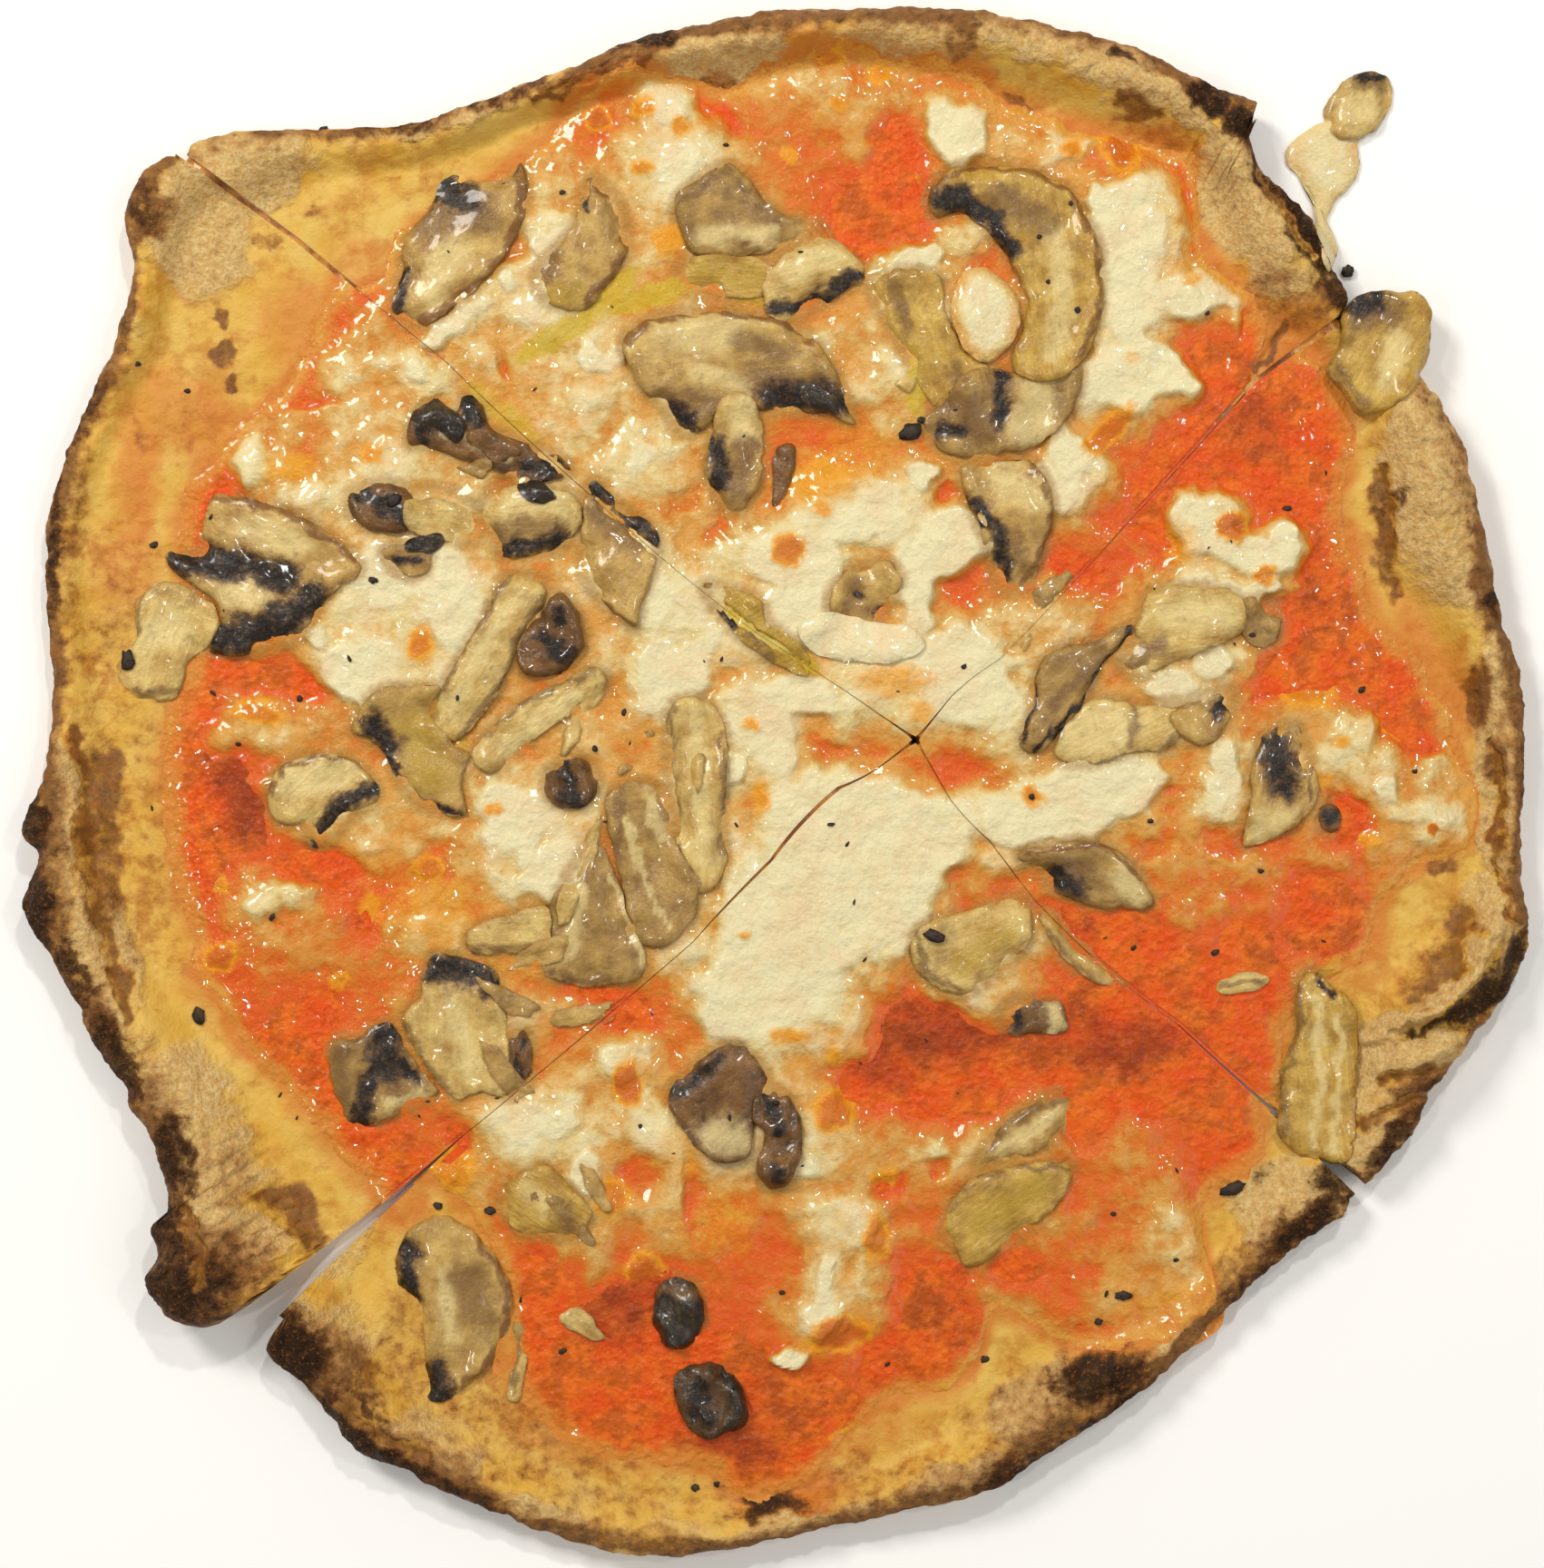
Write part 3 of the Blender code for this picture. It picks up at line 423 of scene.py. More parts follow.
RIGHT = Quarter(
    "right", CUT_LOWER_RIGHT, CUT_UPPER_RIGHT, (
        Station(1508, 1302, 70, 9), Station(1545, 1260, 90, 10), Station(1580, 1200, 110, 12),
        Station(1625, 1150, 130, 14), Station(1660, 1090, 120, 14), Station(1682, 1045, 90, 13),
        Station(1682, 990, 60, 10), Station(1681, 900, 35, 9), Station(1680, 810, 50, 10),
        Station(1672, 730, 75, 11), Station(1650, 650, 90, 11), Station(1632, 580, 125, 14),
        Station(1612, 500, 125, 14), Station(1575, 440, 100, 13), Station(1530, 402, 60, 9),
        Station(1492, 372, 50, 7),
    ), (
        (1507, 1304), (1525, 1285), (1556, 1245), (1578, 1198), (1608, 1160), (1640, 1117), (1668, 1080),
        (1684, 1030), (1677, 975), (1676, 900), (1678, 810), (1672, 740), (1656, 690), (1640, 620), (1622, 545),
        (1607, 485), (1572, 425), (1535, 385), (1490, 364),
    ), (
        (1400, 1220), (1415, 1200), (1420, 1130), (1450, 1090), (1480, 1070), (1515, 1050), (1530, 980),
        (1580, 950), (1630, 920), (1620, 860), (1600, 790), (1560, 720), (1520, 680), (1500, 620), (1480, 560),
        (1490, 520), (1490, 460), (1465, 400), (1440, 390),
    ),
)
QUARTERS = (TOP, LEFT, BOTTOM, RIGHT)


def offset_line(cut: Sequence[Cut], side: int) -> Array:
    """The line that one side of a cut follows.

    Args:
        cut: the cut, from the crossing outwards.
        side: 1 for its left side and -1 for its right one.

    Returns:
        The line in metres, half the cut's width from its middle.
    """
    line = np.array([place(*CROSSING)] + [place(c.x, c.y) for c in cut])
    widths = np.array([CUT_WIDTH] + [c.width * MM for c in cut])
    along = np.gradient(line, axis=0)
    along /= np.hypot(along[:, 0], along[:, 1])[:, None]
    normal = np.column_stack((-along[:, 1], along[:, 0]))
    return line + normal * (side * widths / 2)[:, None]


class Plan:
    """Where a quarter lies: its tip, its two sides and its edges, as polar curves about the tip."""

    EDGE_STEPS = 6  # places on an edge's smooth line, between two of its points

    def __init__(self, quarter: Quarter) -> None:
        """Works out the tip and the polar curves.

        Args:
            quarter: the quarter's cuts and edges.
        """
        self.quarter = quarter
        start, end = offset_line(quarter.start, 1), offset_line(quarter.end, -1)
        crossing = np.array(place(*CROSSING))
        first, last = (math.atan2(*(line[1] - crossing)[::-1]) for line in (start, end))
        last += 2 * math.pi * (last < first)
        self.middle, half = (first + last) / 2, (last - first) / 2
        outward = np.array((math.cos(self.middle), math.sin(self.middle)))
        self.tip = crossing + CUT_WIDTH / 2 / math.sin(half) * outward
        self.lines = [self.polar(*line[1:].T) for line in (start, end)]
        self.ends = [line[1][-1] for line in self.lines]
        stations = np.array([place(s.x, s.y) for s in quarter.stations])
        self.station_angles = self.polar(*stations.T)[1]
        self.rims = np.array([s.rim * PIXEL for s in quarter.stations])
        self.crests = np.array([s.crest * MM for s in quarter.stations])
        self.edge = self.as_curve(quarter.edge)
        self.sauce = self.as_curve(quarter.sauce)

    def polar(self, x: Array, y: Array) -> tuple[Array, Array]:
        """Where places are about the tip.

        Args:
            x: places, in metres.
            y: places, in metres.

        Returns:
            Their distances, and their angles, counted round the quarter's middle.
        """
        dx, dy = x - self.tip[0], y - self.tip[1]
        low = self.middle - math.pi
        return np.hypot(dx, dy), low + np.mod(np.arctan2(dy, dx) - low, 2 * math.pi)

    def as_curve(self, points: Sequence[tuple[float, float]]) -> tuple[Array, Array]:
        """A smooth line through points, as a curve about the tip.

        Args:
            points: the points, in pixels.

        Returns:
            Its angles, in order, and its radii.
        """
        radii, angles = self.polar(*smooth_line(points, self.EDGE_STEPS, closed=False).T)
        order = np.argsort(angles, kind="stable")
        return angles[order], radii[order]

    def sides(self, radius: Array) -> tuple[Array, Array]:
        """The quarter's two side angles at a distance from the tip."""
        first, last = (np.interp(radius, line[0], line[1]) for line in self.lines)
        return first, last

    def at(self, radius: Array, angle: Array) -> tuple[Array, Array]:
        """The places at distances and angles about the tip."""
        return self.tip[0] + radius * np.cos(angle), self.tip[1] + radius * np.sin(angle)

    def point(self, across: Array, radius: Array) -> tuple[Array, Array]:
        """The places at shares across the quarter and distances from its tip."""
        first, last = self.sides(radius)
        return self.at(radius, first + across * (last - first))

    def end_angle(self, across: Array) -> Array:
        """The angle of a share across the quarter at its outer edge."""
        return self.ends[0] + across * (self.ends[1] - self.ends[0])

    def reach(self, angle: Array) -> Array:
        """How far the dough goes from the tip, at an angle."""
        return np.interp(angle, *self.edge)

    def sauce_reach(self, angle: Array) -> Array:
        """How far the sauce goes from the tip, at an angle."""
        return np.interp(angle, *self.sauce)

    def rim(self, angle: Array) -> Array:
        """Width of the rim at an angle."""
        return np.interp(angle, self.station_angles, self.rims)

    def crest(self, angle: Array) -> Array:
        """Height of the rim at an angle."""
        return np.interp(angle, self.station_angles, self.crests)


# Where things are on the pizza ----------------------------------------------------------------
MELT_BASE = 0.34  # how much cheese lies where no coat goes

# How much cheese lies where, from 0 for bare sauce to 1 for thick and white. Each coat goes over the last.
MELT = (
    Coat(0.64, 1.1, (  # mottled, white and gold
        (600, 320, 170, 110, 30), (700, 440, 110, 130), (1010, 380, 100, 100), (560, 240, 110, 80),
        (1190, 420, 70, 130), (740, 180, 100, 90), (960, 560, 110, 80), (700, 600, 120, 80),
        (450, 460, 130, 90), (480, 560, 140, 70), (430, 700, 140, 100), (620, 640, 100, 70),
        (700, 720, 120, 90), (580, 900, 110, 100), (760, 900, 120, 100), (330, 540, 70, 60), (310, 975, 46, 30),
        (700, 1000, 110, 90), (480, 880, 70, 60), (370, 860, 50, 40), (610, 1250, 110, 90),
        (720, 1300, 130, 100), (880, 1180, 110, 80), (920, 1350, 90, 120), (1100, 1080, 100, 70),
        (650, 1380, 80, 80), (1260, 1400, 70, 90), (1110, 1240, 80, 60), (1060, 1320, 80, 70),
        (820, 1430, 80, 60), (1520, 870, 80, 90), (1350, 850, 70, 100), (1190, 870, 140, 80),
        (1330, 650, 110, 70), (1150, 760, 120, 100), (560, 1110, 70, 40), (1440, 1180, 30, 80),
        (450, 930, 40, 20), (330, 1120, 30, 24),
    )),
    Coat(0.52, 1.0, (  # golden, thin and oily
        (900, 100, 190, 60), (390, 370, 50, 70), (800, 300, 60, 40), (880, 450, 60, 30), (560, 800, 90, 40),
        (920, 800, 90, 50), (915, 1350, 26, 90), (1268, 1400, 34, 60, 20), (1120, 1258, 40, 24, 40),
        (995, 1270, 26, 16), (1330, 640, 110, 60), (1300, 730, 70, 60), (1160, 460, 80, 80),
        (690, 1360, 24, 20), (300, 975, 46, 30, 10), (350, 850, 60, 30), (1250, 970, 26, 30),
        (1520, 850, 70, 80, 20), (1600, 900, 60, 50), (1360, 860, 60, 80), (520, 930, 70, 70),
        (1180, 690, 60, 30, 20), (1430, 760, 60, 40), (420, 250, 80, 40, 20), (500, 1040, 50, 40),
        (860, 1420, 40, 30), (1425, 1220, 14, 44), (1480, 1205, 12, 34),
    )),
    Coat(0.34, 0.9, (  # orange again
        (880, 200, 60, 50), (640, 145, 50, 34), (905, 510, 68, 54), (1150, 470, 30, 26, 40),
        (1240, 160, 46, 40), (935, 735, 30, 26), (925, 838, 60, 20), (1035, 840, 50, 24), (770, 570, 36, 30),
        (345, 380, 34, 70), (560, 270, 30, 20), (690, 600, 36, 30), (480, 800, 50, 30, 30), (1200, 590, 50, 30),
        (945, 598, 20, 18), (1310, 900, 34, 80), (1360, 690, 40, 26), (400, 1060, 80, 46), (270, 1190, 70, 70),
        (720, 1130, 60, 50), (800, 1400, 90, 70), (1160, 1340, 90, 60), (1020, 1370, 60, 50),
        (1440, 700, 40, 24), (1410, 980, 30, 50), (1180, 360, 24, 30), (590, 900, 30, 26), (700, 930, 40, 60),
        (1100, 1440, 50, 40), (1440, 1140, 44, 60),
    )),
    Coat(0.62, 0.9, (  # pale and pink
        (300, 800, 76, 30, 10), (395, 930, 96, 38), (1040, 930, 40, 60), (470, 1030, 40, 24),
        (375, 408, 22, 22), (360, 468, 56, 22, 12), (500, 567, 16, 16), (465, 690, 84, 62), (612, 628, 20, 22),
        (575, 900, 34, 62), (600, 970, 42, 34), (1125, 166, 56, 24), (930, 385, 56, 26), (972, 462, 20, 46),
        (1195, 330, 34, 60), (1400, 640, 30, 34), (665, 680, 20, 22), (1120, 1088, 34, 18, 30),
        (550, 1258, 16, 14), (583, 1247, 16, 16), (636, 1292, 14, 10), (1510, 850, 42, 56, 20),
        (1585, 905, 40, 30, 10), (700, 205, 24, 46), (808, 262, 26, 12), (1180, 700, 30, 14, 40),
        (1252, 485, 16, 26), (870, 280, 40, 30), (760, 560, 24, 26), (910, 1280, 18, 26), (905, 1440, 14, 34),
        (850, 780, 60, 36), (640, 825, 78, 24, 25), (1235, 972, 14, 14),
    )),
    Coat(0.04, 1.1, (  # bare sauce
        (985, 160, 28, 44, -8), (965, 222, 56, 46), (955, 255, 42, 24), (785, 120, 36, 15, -32),
        (913, 62, 12, 9), (1300, 240, 20, 40, 4), (1302, 273, 28, 12), (1350, 400, 50, 40),
        (1372, 345, 16, 44, 12), (1400, 470, 96, 70, 15), (1330, 520, 84, 70), (1275, 560, 34, 54),
        (1450, 560, 50, 120), (1440, 640, 60, 60), (1480, 700, 62, 44, -30), (1545, 770, 46, 56, -25),
        (1570, 812, 34, 16), (1190, 628, 42, 28), (1215, 1015, 70, 20, -12), (1262, 1062, 66, 50),
        (1080, 1165, 150, 46), (1230, 1130, 90, 90), (950, 1200, 34, 38), (940, 1090, 36, 18, -25),
        (1040, 1210, 70, 34), (1350, 1130, 100, 60), (1465, 1010, 52, 44), (1380, 1050, 50, 40),
        (1290, 1200, 90, 40), (1350, 1250, 60, 50), (1205, 1230, 24, 40), (1030, 1440, 50, 60, 20),
        (1000, 1500, 60, 40), (640, 1520, 80, 100, -20), (780, 1540, 120, 100), (860, 1615, 60, 44),
        (900, 1550, 50, 40), (700, 1450, 50, 60), (590, 1420, 40, 60), (440, 1290, 46, 40, -30),
        (370, 1220, 60, 34, -50), (320, 1140, 56, 44), (212, 880, 34, 150, 3), (262, 890, 30, 60),
        (350, 960, 80, 34, -8), (215, 545, 54, 50, -30), (300, 745, 90, 24, -8), (212, 760, 30, 46),
        (680, 1105, 80, 20, -14), (1010, 1120, 60, 24), (1370, 920, 44, 24), (1425, 745, 50, 30),
        (1480, 900, 26, 40), (500, 1260, 30, 20, 40), (1125, 1395, 40, 20, 30),
    )),
    # Most of these spots are sauce showing through thin cheese; the one at (812, 590) is a painted shadow under
    # the stem of top_07.
    Coat(0.24, 1.1, (  # sauce that shines through
        (405, 318, 22, 20), (765, 1310, 14, 40), (1035, 1290, 16, 14), (985, 1310, 18, 15),
        (1185, 1320, 14, 24), (300, 1050, 14, 18), (375, 1078, 14, 12), (1060, 968, 20, 20),
        (1068, 655, 22, 34), (1040, 545, 12, 9), (812, 590, 36, 18), (752, 545, 16, 12, 40), (562, 410, 8, 14),
        (555, 545, 14, 12), (340, 448, 22, 7, 20), (690, 758, 22, 18), (1300, 860, 26, 10, 30),
        (1278, 918, 30, 14, 60), (475, 960, 40, 24), (850, 1362, 34, 18), (925, 1478, 40, 16, 20),
        (405, 1010, 26, 30), (1180, 1405, 40, 34), (1240, 620, 13, 17, 30), (778, 750, 40, 16),
        (907, 832, 30, 14), (1071, 850, 50, 22), (700, 1300, 30, 24), (830, 1400, 30, 40),
    )),
    Coat(0.80, 0.9, (  # milky
        (440, 650, 80, 70), (400, 720, 60, 46), (500, 720, 40, 50), (580, 920, 60, 60), (700, 640, 50, 60),
        (735, 745, 50, 46), (840, 1280, 66, 36), (905, 1410, 22, 70), (935, 1345, 34, 30), (600, 1240, 50, 40),
        (700, 1170, 30, 30), (720, 1240, 40, 30), (300, 985, 38, 20), (1390, 615, 44, 26), (1330, 590, 34, 34),
        (930, 560, 50, 40), (610, 310, 40, 30), (752, 178, 46, 48), (725, 120, 30, 25), (1185, 98, 27, 52),
        (1185, 150, 26, 24), (560, 330, 54, 34, 15), (605, 258, 34, 24, 20), (665, 410, 38, 56),
        (702, 510, 50, 38), (765, 680, 50, 72), (850, 650, 66, 74), (840, 800, 50, 60), (1062, 258, 24, 28),
        (1240, 300, 60, 100), (1250, 410, 56, 48), (1180, 530, 38, 46), (1010, 292, 44, 24),
        (1000, 740, 116, 60), (460, 412, 36, 28), (282, 508, 16, 28), (440, 508, 36, 22), (330, 548, 28, 18),
        (500, 650, 42, 50), (412, 745, 26, 32, -20), (352, 700, 18, 22), (860, 1110, 100, 50),
        (1316, 580, 18, 40), (1350, 645, 76, 40), (1310, 728, 52, 44), (1352, 860, 28, 60),
        (1072, 1060, 10, 24, 20), (595, 960, 40, 26), (1112, 800, 50, 40), (1080, 900, 34, 22),
        (1275, 262, 40, 60), (955, 570, 50, 50), (1492, 806, 20, 30), (1508, 858, 26, 20),
        (1556, 894, 30, 15, 10), (1598, 906, 20, 13), (1340, 560, 40, 26), (1412, 606, 28, 20),
        (1365, 640, 60, 20), (1120, 940, 60, 24), (1240, 820, 40, 30),
    )),
    Coat(1.0, 0.55, (  # thick and white
        (450, 630, 60, 34), (505, 680, 30, 50), (390, 735, 44, 24), (560, 900, 34, 36), (612, 970, 34, 30),
        (720, 655, 24, 40), (905, 1430, 11, 44), (600, 1232, 26, 16), (872, 1500, 24, 12), (640, 1290, 16, 24),
        (870, 1290, 30, 12), (745, 745, 34, 30), (1395, 620, 30, 14), (1328, 590, 22, 20), (945, 575, 34, 26),
        (1230, 420, 50, 34), (737, 118, 14, 13), (750, 180, 20, 28, -15), (1052, 150, 27, 50, 4),
        (1185, 97, 18, 18), (1180, 136, 12, 10), (598, 262, 22, 12, 25), (500, 355, 36, 13, 20),
        (558, 312, 10, 9), (652, 395, 26, 14), (685, 382, 16, 12), (712, 502, 16, 18), (1002, 288, 22, 12, 15),
        (1030, 282, 14, 12), (1240, 262, 40, 60), (1210, 212, 16, 14), (1246, 330, 30, 34), (1318, 324, 52, 24),
        (1282, 412, 30, 36, 20), (1252, 372, 20, 16), (1176, 515, 14, 50, -6), (1140, 525, 14, 14),
        (1018, 516, 15, 13), (975, 565, 16, 34), (1042, 600, 50, 34), (1010, 640, 22, 60),
        (885, 660, 42, 64, -20), (858, 615, 30, 16), (1050, 730, 58, 34), (1062, 770, 34, 30),
        (905, 610, 26, 22), (885, 770, 44, 22), (850, 820, 22, 44), (770, 705, 18, 12), (456, 408, 12, 12),
        (502, 650, 24, 36), (480, 625, 22, 16), (400, 764, 12, 12), (348, 700, 12, 12), (575, 935, 12, 20),
        (610, 970, 20, 20), (960, 940, 96, 80, 30), (880, 1010, 80, 86, 40), (830, 1080, 56, 70),
        (905, 900, 60, 60, 60), (990, 1000, 40, 60), (1030, 930, 34, 30, -20), (870, 1095, 50, 36),
        (1180, 885, 80, 36, 8), (1240, 862, 38, 32, 20), (1125, 905, 44, 22), (1290, 758, 28, 14, 25),
        (1330, 720, 20, 22), (1525, 872, 14, 12), (1350, 660, 50, 16), (1100, 775, 24, 24), (1350, 850, 18, 40),
        (795, 850, 16, 16), (1300, 650, 30, 20), (815, 1120, 50, 24), (1322, 566, 20, 20), (1368, 606, 34, 16),
        (1416, 604, 18, 13), (1400, 652, 26, 12),
    )),
)

# Sauce that has cooked dark.
DEEP_SAUCE = spots(
    (1060, 1130, 100, 40), (270, 880, 44, 58), (965, 1160, 40, 50), (1240, 1150, 80, 40),
    (1390, 470, 50, 50, 0, 0.6), (1440, 640, 60, 60, 0, 0.6), (820, 1560, 80, 60, 0, 0.5),
    (560, 1280, 60, 40, 0, 0.6), (1100, 1130, 140, 50, 0, 0.5), (925, 865, 40, 10, 40),
    (690, 1440, 70, 40, 20, 0.9), (1440, 1020, 60, 60, 0, 0.3), (1050, 1440, 60, 60, 0, 0.5),
    (800, 1585, 70, 34, 0, 0.9), (1150, 1140, 160, 40, 5, 0.7), (1180, 1010, 40, 20, 0, 0.6),
)

# Cheese that has blistered and browned.
BLISTERS = spots(
    (658, 130, 15, 14), (710, 118, 13, 12, 0, 0.7), (750, 140, 10, 10, 0, 0.7), (708, 185, 14, 11, 0, 0.7),
    (913, 62, 16, 12, 0, 0.8), (970, 80, 14, 12, 0, 0.7), (925, 115, 9, 8, 0, 0.7), (870, 170, 12, 10, 0, 0.6),
    (1003, 200, 12, 10, 0, 0.7), (1235, 165, 18, 26, 20), (1180, 163, 14, 12, 0, 0.7),
    (1315, 308, 16, 10, 0, 0.5), (1222, 475, 34, 14, 45, 0.9), (1250, 395, 12, 10, 0, 0.35),
    (735, 265, 22, 18, 0, 0.6), (905, 530, 42, 30, 15, 0.55), (870, 605, 18, 18, 0, 0.85),
    (905, 560, 14, 12, 0, 0.6), (940, 500, 60, 40, 0, 0.3), (985, 750, 46, 20, 0, 0.5),
    (1015, 785, 15, 12, 0, 0.5), (410, 500, 15, 11, 20, 0.65), (320, 515, 30, 16, 10, 0.5),
    (463, 710, 16, 18, 0, 0.8), (472, 957, 18, 15, 0, 0.85), (242, 1055, 20, 14, 20),
    (375, 1080, 12, 10, 0, 0.7), (240, 975, 12, 10, 0, 0.7), (410, 1000, 13, 16, 0, 0.6),
    (545, 890, 14, 10, 30, 0.6), (838, 880, 10, 20, 5, 0.65), (828, 800, 8, 7, 0, 0.6),
    (820, 1030, 10, 8, 0, 0.55), (870, 1140, 22, 12, 0, 0.6), (920, 1225, 24, 24, 0, 0.9),
    (920, 1165, 10, 9, 0, 0.6), (692, 1195, 16, 26, 5), (675, 1320, 22, 22, 0, 0.8), (710, 1402, 20, 20),
    (965, 1365, 16, 26, 0, 0.8), (925, 1470, 34, 20, 5), (915, 1562, 28, 22), (975, 1300, 16, 12, 0, 0.7),
    (1358, 580, 18, 17, 0, 0.95), (1392, 634, 13, 11, 0, 0.75), (1300, 600, 20, 30, 0, 0.4),
    (1540, 800, 16, 14, 0, 0.6), (1510, 925, 22, 10, 0, 0.5), (1460, 860, 12, 10, 0, 0.6),
    (1440, 760, 34, 22, -10, 0.75), (1480, 820, 10, 9, 0, 0.6), (1580, 915, 7, 7), (1137, 878, 15, 14, 0, 0.7),
    (285, 785, 28, 16, -10, 0.8), (500, 1290, 24, 26, 0, 0.7), (1290, 1430, 60, 12, 20, 0.3),
    (1250, 150, 30, 14, -20, 0.5), (620, 160, 40, 14, 20, 0.2), (750, 1270, 40, 30, 0, 0.35),
    (800, 1350, 40, 40, 0, 0.3), (420, 960, 90, 50, 0, 0.2), (475, 1000, 60, 46, 0, 0.35),
    (560, 1060, 40, 26, 0, 0.25), (1290, 920, 70, 24, 0, 0.2),
)

# Oil that has pooled, yellow-green.
OIL = spots(
    (612, 372, 60, 16, 30), (668, 328, 52, 14, 40), (705, 330, 62, 15, 15), (1010, 430, 13, 36),
    (865, 715, 46, 14, -35), (820, 685, 28, 14, -40), (505, 770, 18, 44, -40, 0.7), (500, 830, 22, 26, 0, 0.6),
    (1075, 1330, 42, 12, 35, 0.7), (1040, 1545, 62, 22, 15, 0.6), (555, 455, 60, 14, -38, 0.7),
    (840, 325, 40, 16, 0, 0.6), (430, 250, 70, 34, 30, 0.5), (960, 400, 30, 60, 0, 0.25),
    (1180, 430, 14, 60, -20, 0.4), (1500, 1070, 50, 24, 0, 0.7), (500, 1010, 40, 60, 0, 0.35),
    (640, 290, 60, 30, 0, 0.3),
)

# Black char on the dough.
CHAR = spots(
    (722, 49, 24, 11), (1330, 115, 24, 26), (1362, 138, 20, 24), (1230, 66, 14, 10, 0, 0.7),
    (1436, 262, 20, 62, 32), (1390, 200, 12, 34, 30, 0.8), (1470, 320, 14, 26, 20, 0.7),
    (1672, 1060, 12, 40, -20, 0.7), (1620, 1108, 40, 18, 35, 0.9), (1590, 1150, 20, 14, 30, 0.5),
    (1566, 1210, 16, 40, -30, 0.6), (1530, 1260, 22, 40, -35, 0.7), (215, 1410, 60, 44, 0, 0.8),
    (190, 1350, 30, 40, 0, 0.8), (200, 1270, 22, 48, 15, 0.8), (130, 1165, 24, 54, 25, 0.85),
    (40, 905, 18, 30, 0, 0.85), (44, 1000, 22, 44, 0, 0.95), (86, 1070, 20, 40, 25, 0.7),
    (330, 1490, 34, 46, 20, 0.95), (385, 1570, 40, 44, 40), (440, 1610, 46, 20, -20, 0.8),
    (520, 1650, 60, 14, -20, 0.6), (1210, 1515, 52, 26, 12), (1235, 1560, 66, 22, 32, 0.85),
    (1130, 1610, 60, 16, 28, 0.7), (850, 1662, 36, 12, 10), (1440, 1348, 56, 22, 35, 0.8),
    (1375, 1412, 40, 10, 40, 0.6), (60, 600, 8, 80, 0, 0.7), (50, 700, 7, 80, 0, 0.5),
    (90, 460, 9, 60, -28, 0.6), (1640, 665, 12, 16, 0, 0.7), (1532, 552, 14, 16, 0, 0.8),
    (1470, 1300, 30, 20, 0, 0.8), (1240, 1500, 24, 16, 0, 0.8), (160, 225, 16, 44, 10, 0.5),
    (700, 50, 50, 10, 15, 0.5), (560, 105, 60, 10, 18, 0.5), (440, 140, 50, 10, 0, 0.5),
    (1680, 860, 6, 120, 0, 0.45), (1390, 1290, 20, 12, 30, 0.4),
)

# Dough that has toasted brown.
TOAST = spots(
    (60, 640, 16, 200, 0, 0.6), (56, 950, 36, 110, 0, 0.7), (100, 1140, 40, 100, 25, 0.65),
    (170, 1290, 40, 90, 10, 0.55), (225, 1400, 90, 60, 0, 0.95), (370, 1510, 80, 46, -45, 0.9),
    (470, 1610, 110, 26, -28, 0.8), (700, 1690, 160, 14, -6, 0.6), (1180, 1570, 120, 36, 28, 0.8),
    (1380, 1390, 110, 26, 42, 0.7), (1600, 1100, 60, 90, -30, 0.8), (1570, 1190, 60, 50, 40, 0.7),
    (1664, 870, 16, 200, 0, 0.6), (1640, 620, 20, 90, -12, 0.6), (1440, 230, 26, 90, 35, 0.8),
    (1330, 100, 60, 30, -30, 0.8), (860, 30, 120, 14, 4, 0.6), (1000, 30, 80, 16, 0, 0.5),
    (1060, 50, 20, 16, 0, 0.8), (620, 90, 90, 12, 20, 0.7), (160, 220, 22, 60, -20, 0.8),
    (170, 240, 24, 24, 0, 0.9), (120, 400, 18, 70, -22, 0.7), (1252, 118, 26, 18, -15, 1.0), (243, 350, 9, 9),
    (245, 388, 12, 15), (252, 418, 8, 9), (295, 262, 16, 10, 0, 0.7), (345, 228, 12, 9, 0, 0.7),
    (112, 930, 22, 130, 3, 0.9), (120, 860, 20, 40), (330, 1335, 26, 38, 30), (1526, 590, 16, 60, 8),
    (1628, 770, 14, 46), (1650, 840, 14, 24), (1590, 955, 20, 14, 0, 0.8), (1590, 1060, 46, 24, 55, 0.9),
    (695, 72, 60, 9, 18, 0.9), (785, 90, 30, 8, 0, 0.7), (1120, 108, 26, 8, -20, 0.7),
    (115, 420, 22, 70, -25, 0.7), (80, 560, 18, 90, -8, 0.7), (76, 700, 12, 80, 0, 0.6),
    (150, 640, 40, 60, 0, 0.25), (1220, 1500, 60, 22, 10, 0.9), (1290, 160, 60, 26, -10, 0.5),
    (560, 1560, 60, 20, -30, 0.5), (480, 1540, 46, 40, -30, 0.45), (1400, 330, 30, 40, 0, 0.6),
    (1440, 340, 34, 30, 0, 0.7), (205, 470, 44, 50, 0, 0.35), (150, 480, 10, 30, 0, 0.6),
    (1300, 1480, 60, 10, 35, 0.8), (1400, 1400, 60, 12, 42, 0.5), (420, 150, 70, 12, 0, 0.4),
    (330, 180, 30, 14, 0, 0.3), (150, 740, 26, 60, 0, 0.3), (180, 1200, 20, 60, 25, 0.5),
    (250, 1290, 60, 30, -40, 0.5), (1500, 320, 12, 20, 0, 0.6), (600, 1590, 180, 60, -25, 0.5),
    (900, 1640, 180, 40, 5, 0.5), (150, 900, 60, 200, 5, 0.4), (1380, 150, 60, 24, -40, 0.5),
    (1100, 1600, 70, 20, 25, 0.6), (960, 1650, 80, 12, 10, 0.5), (445, 1490, 40, 90, 0, 0.55),
    (1120, 1550, 90, 40, 25, 0.5), (115, 675, 40, 110, 0, 0.45),
)

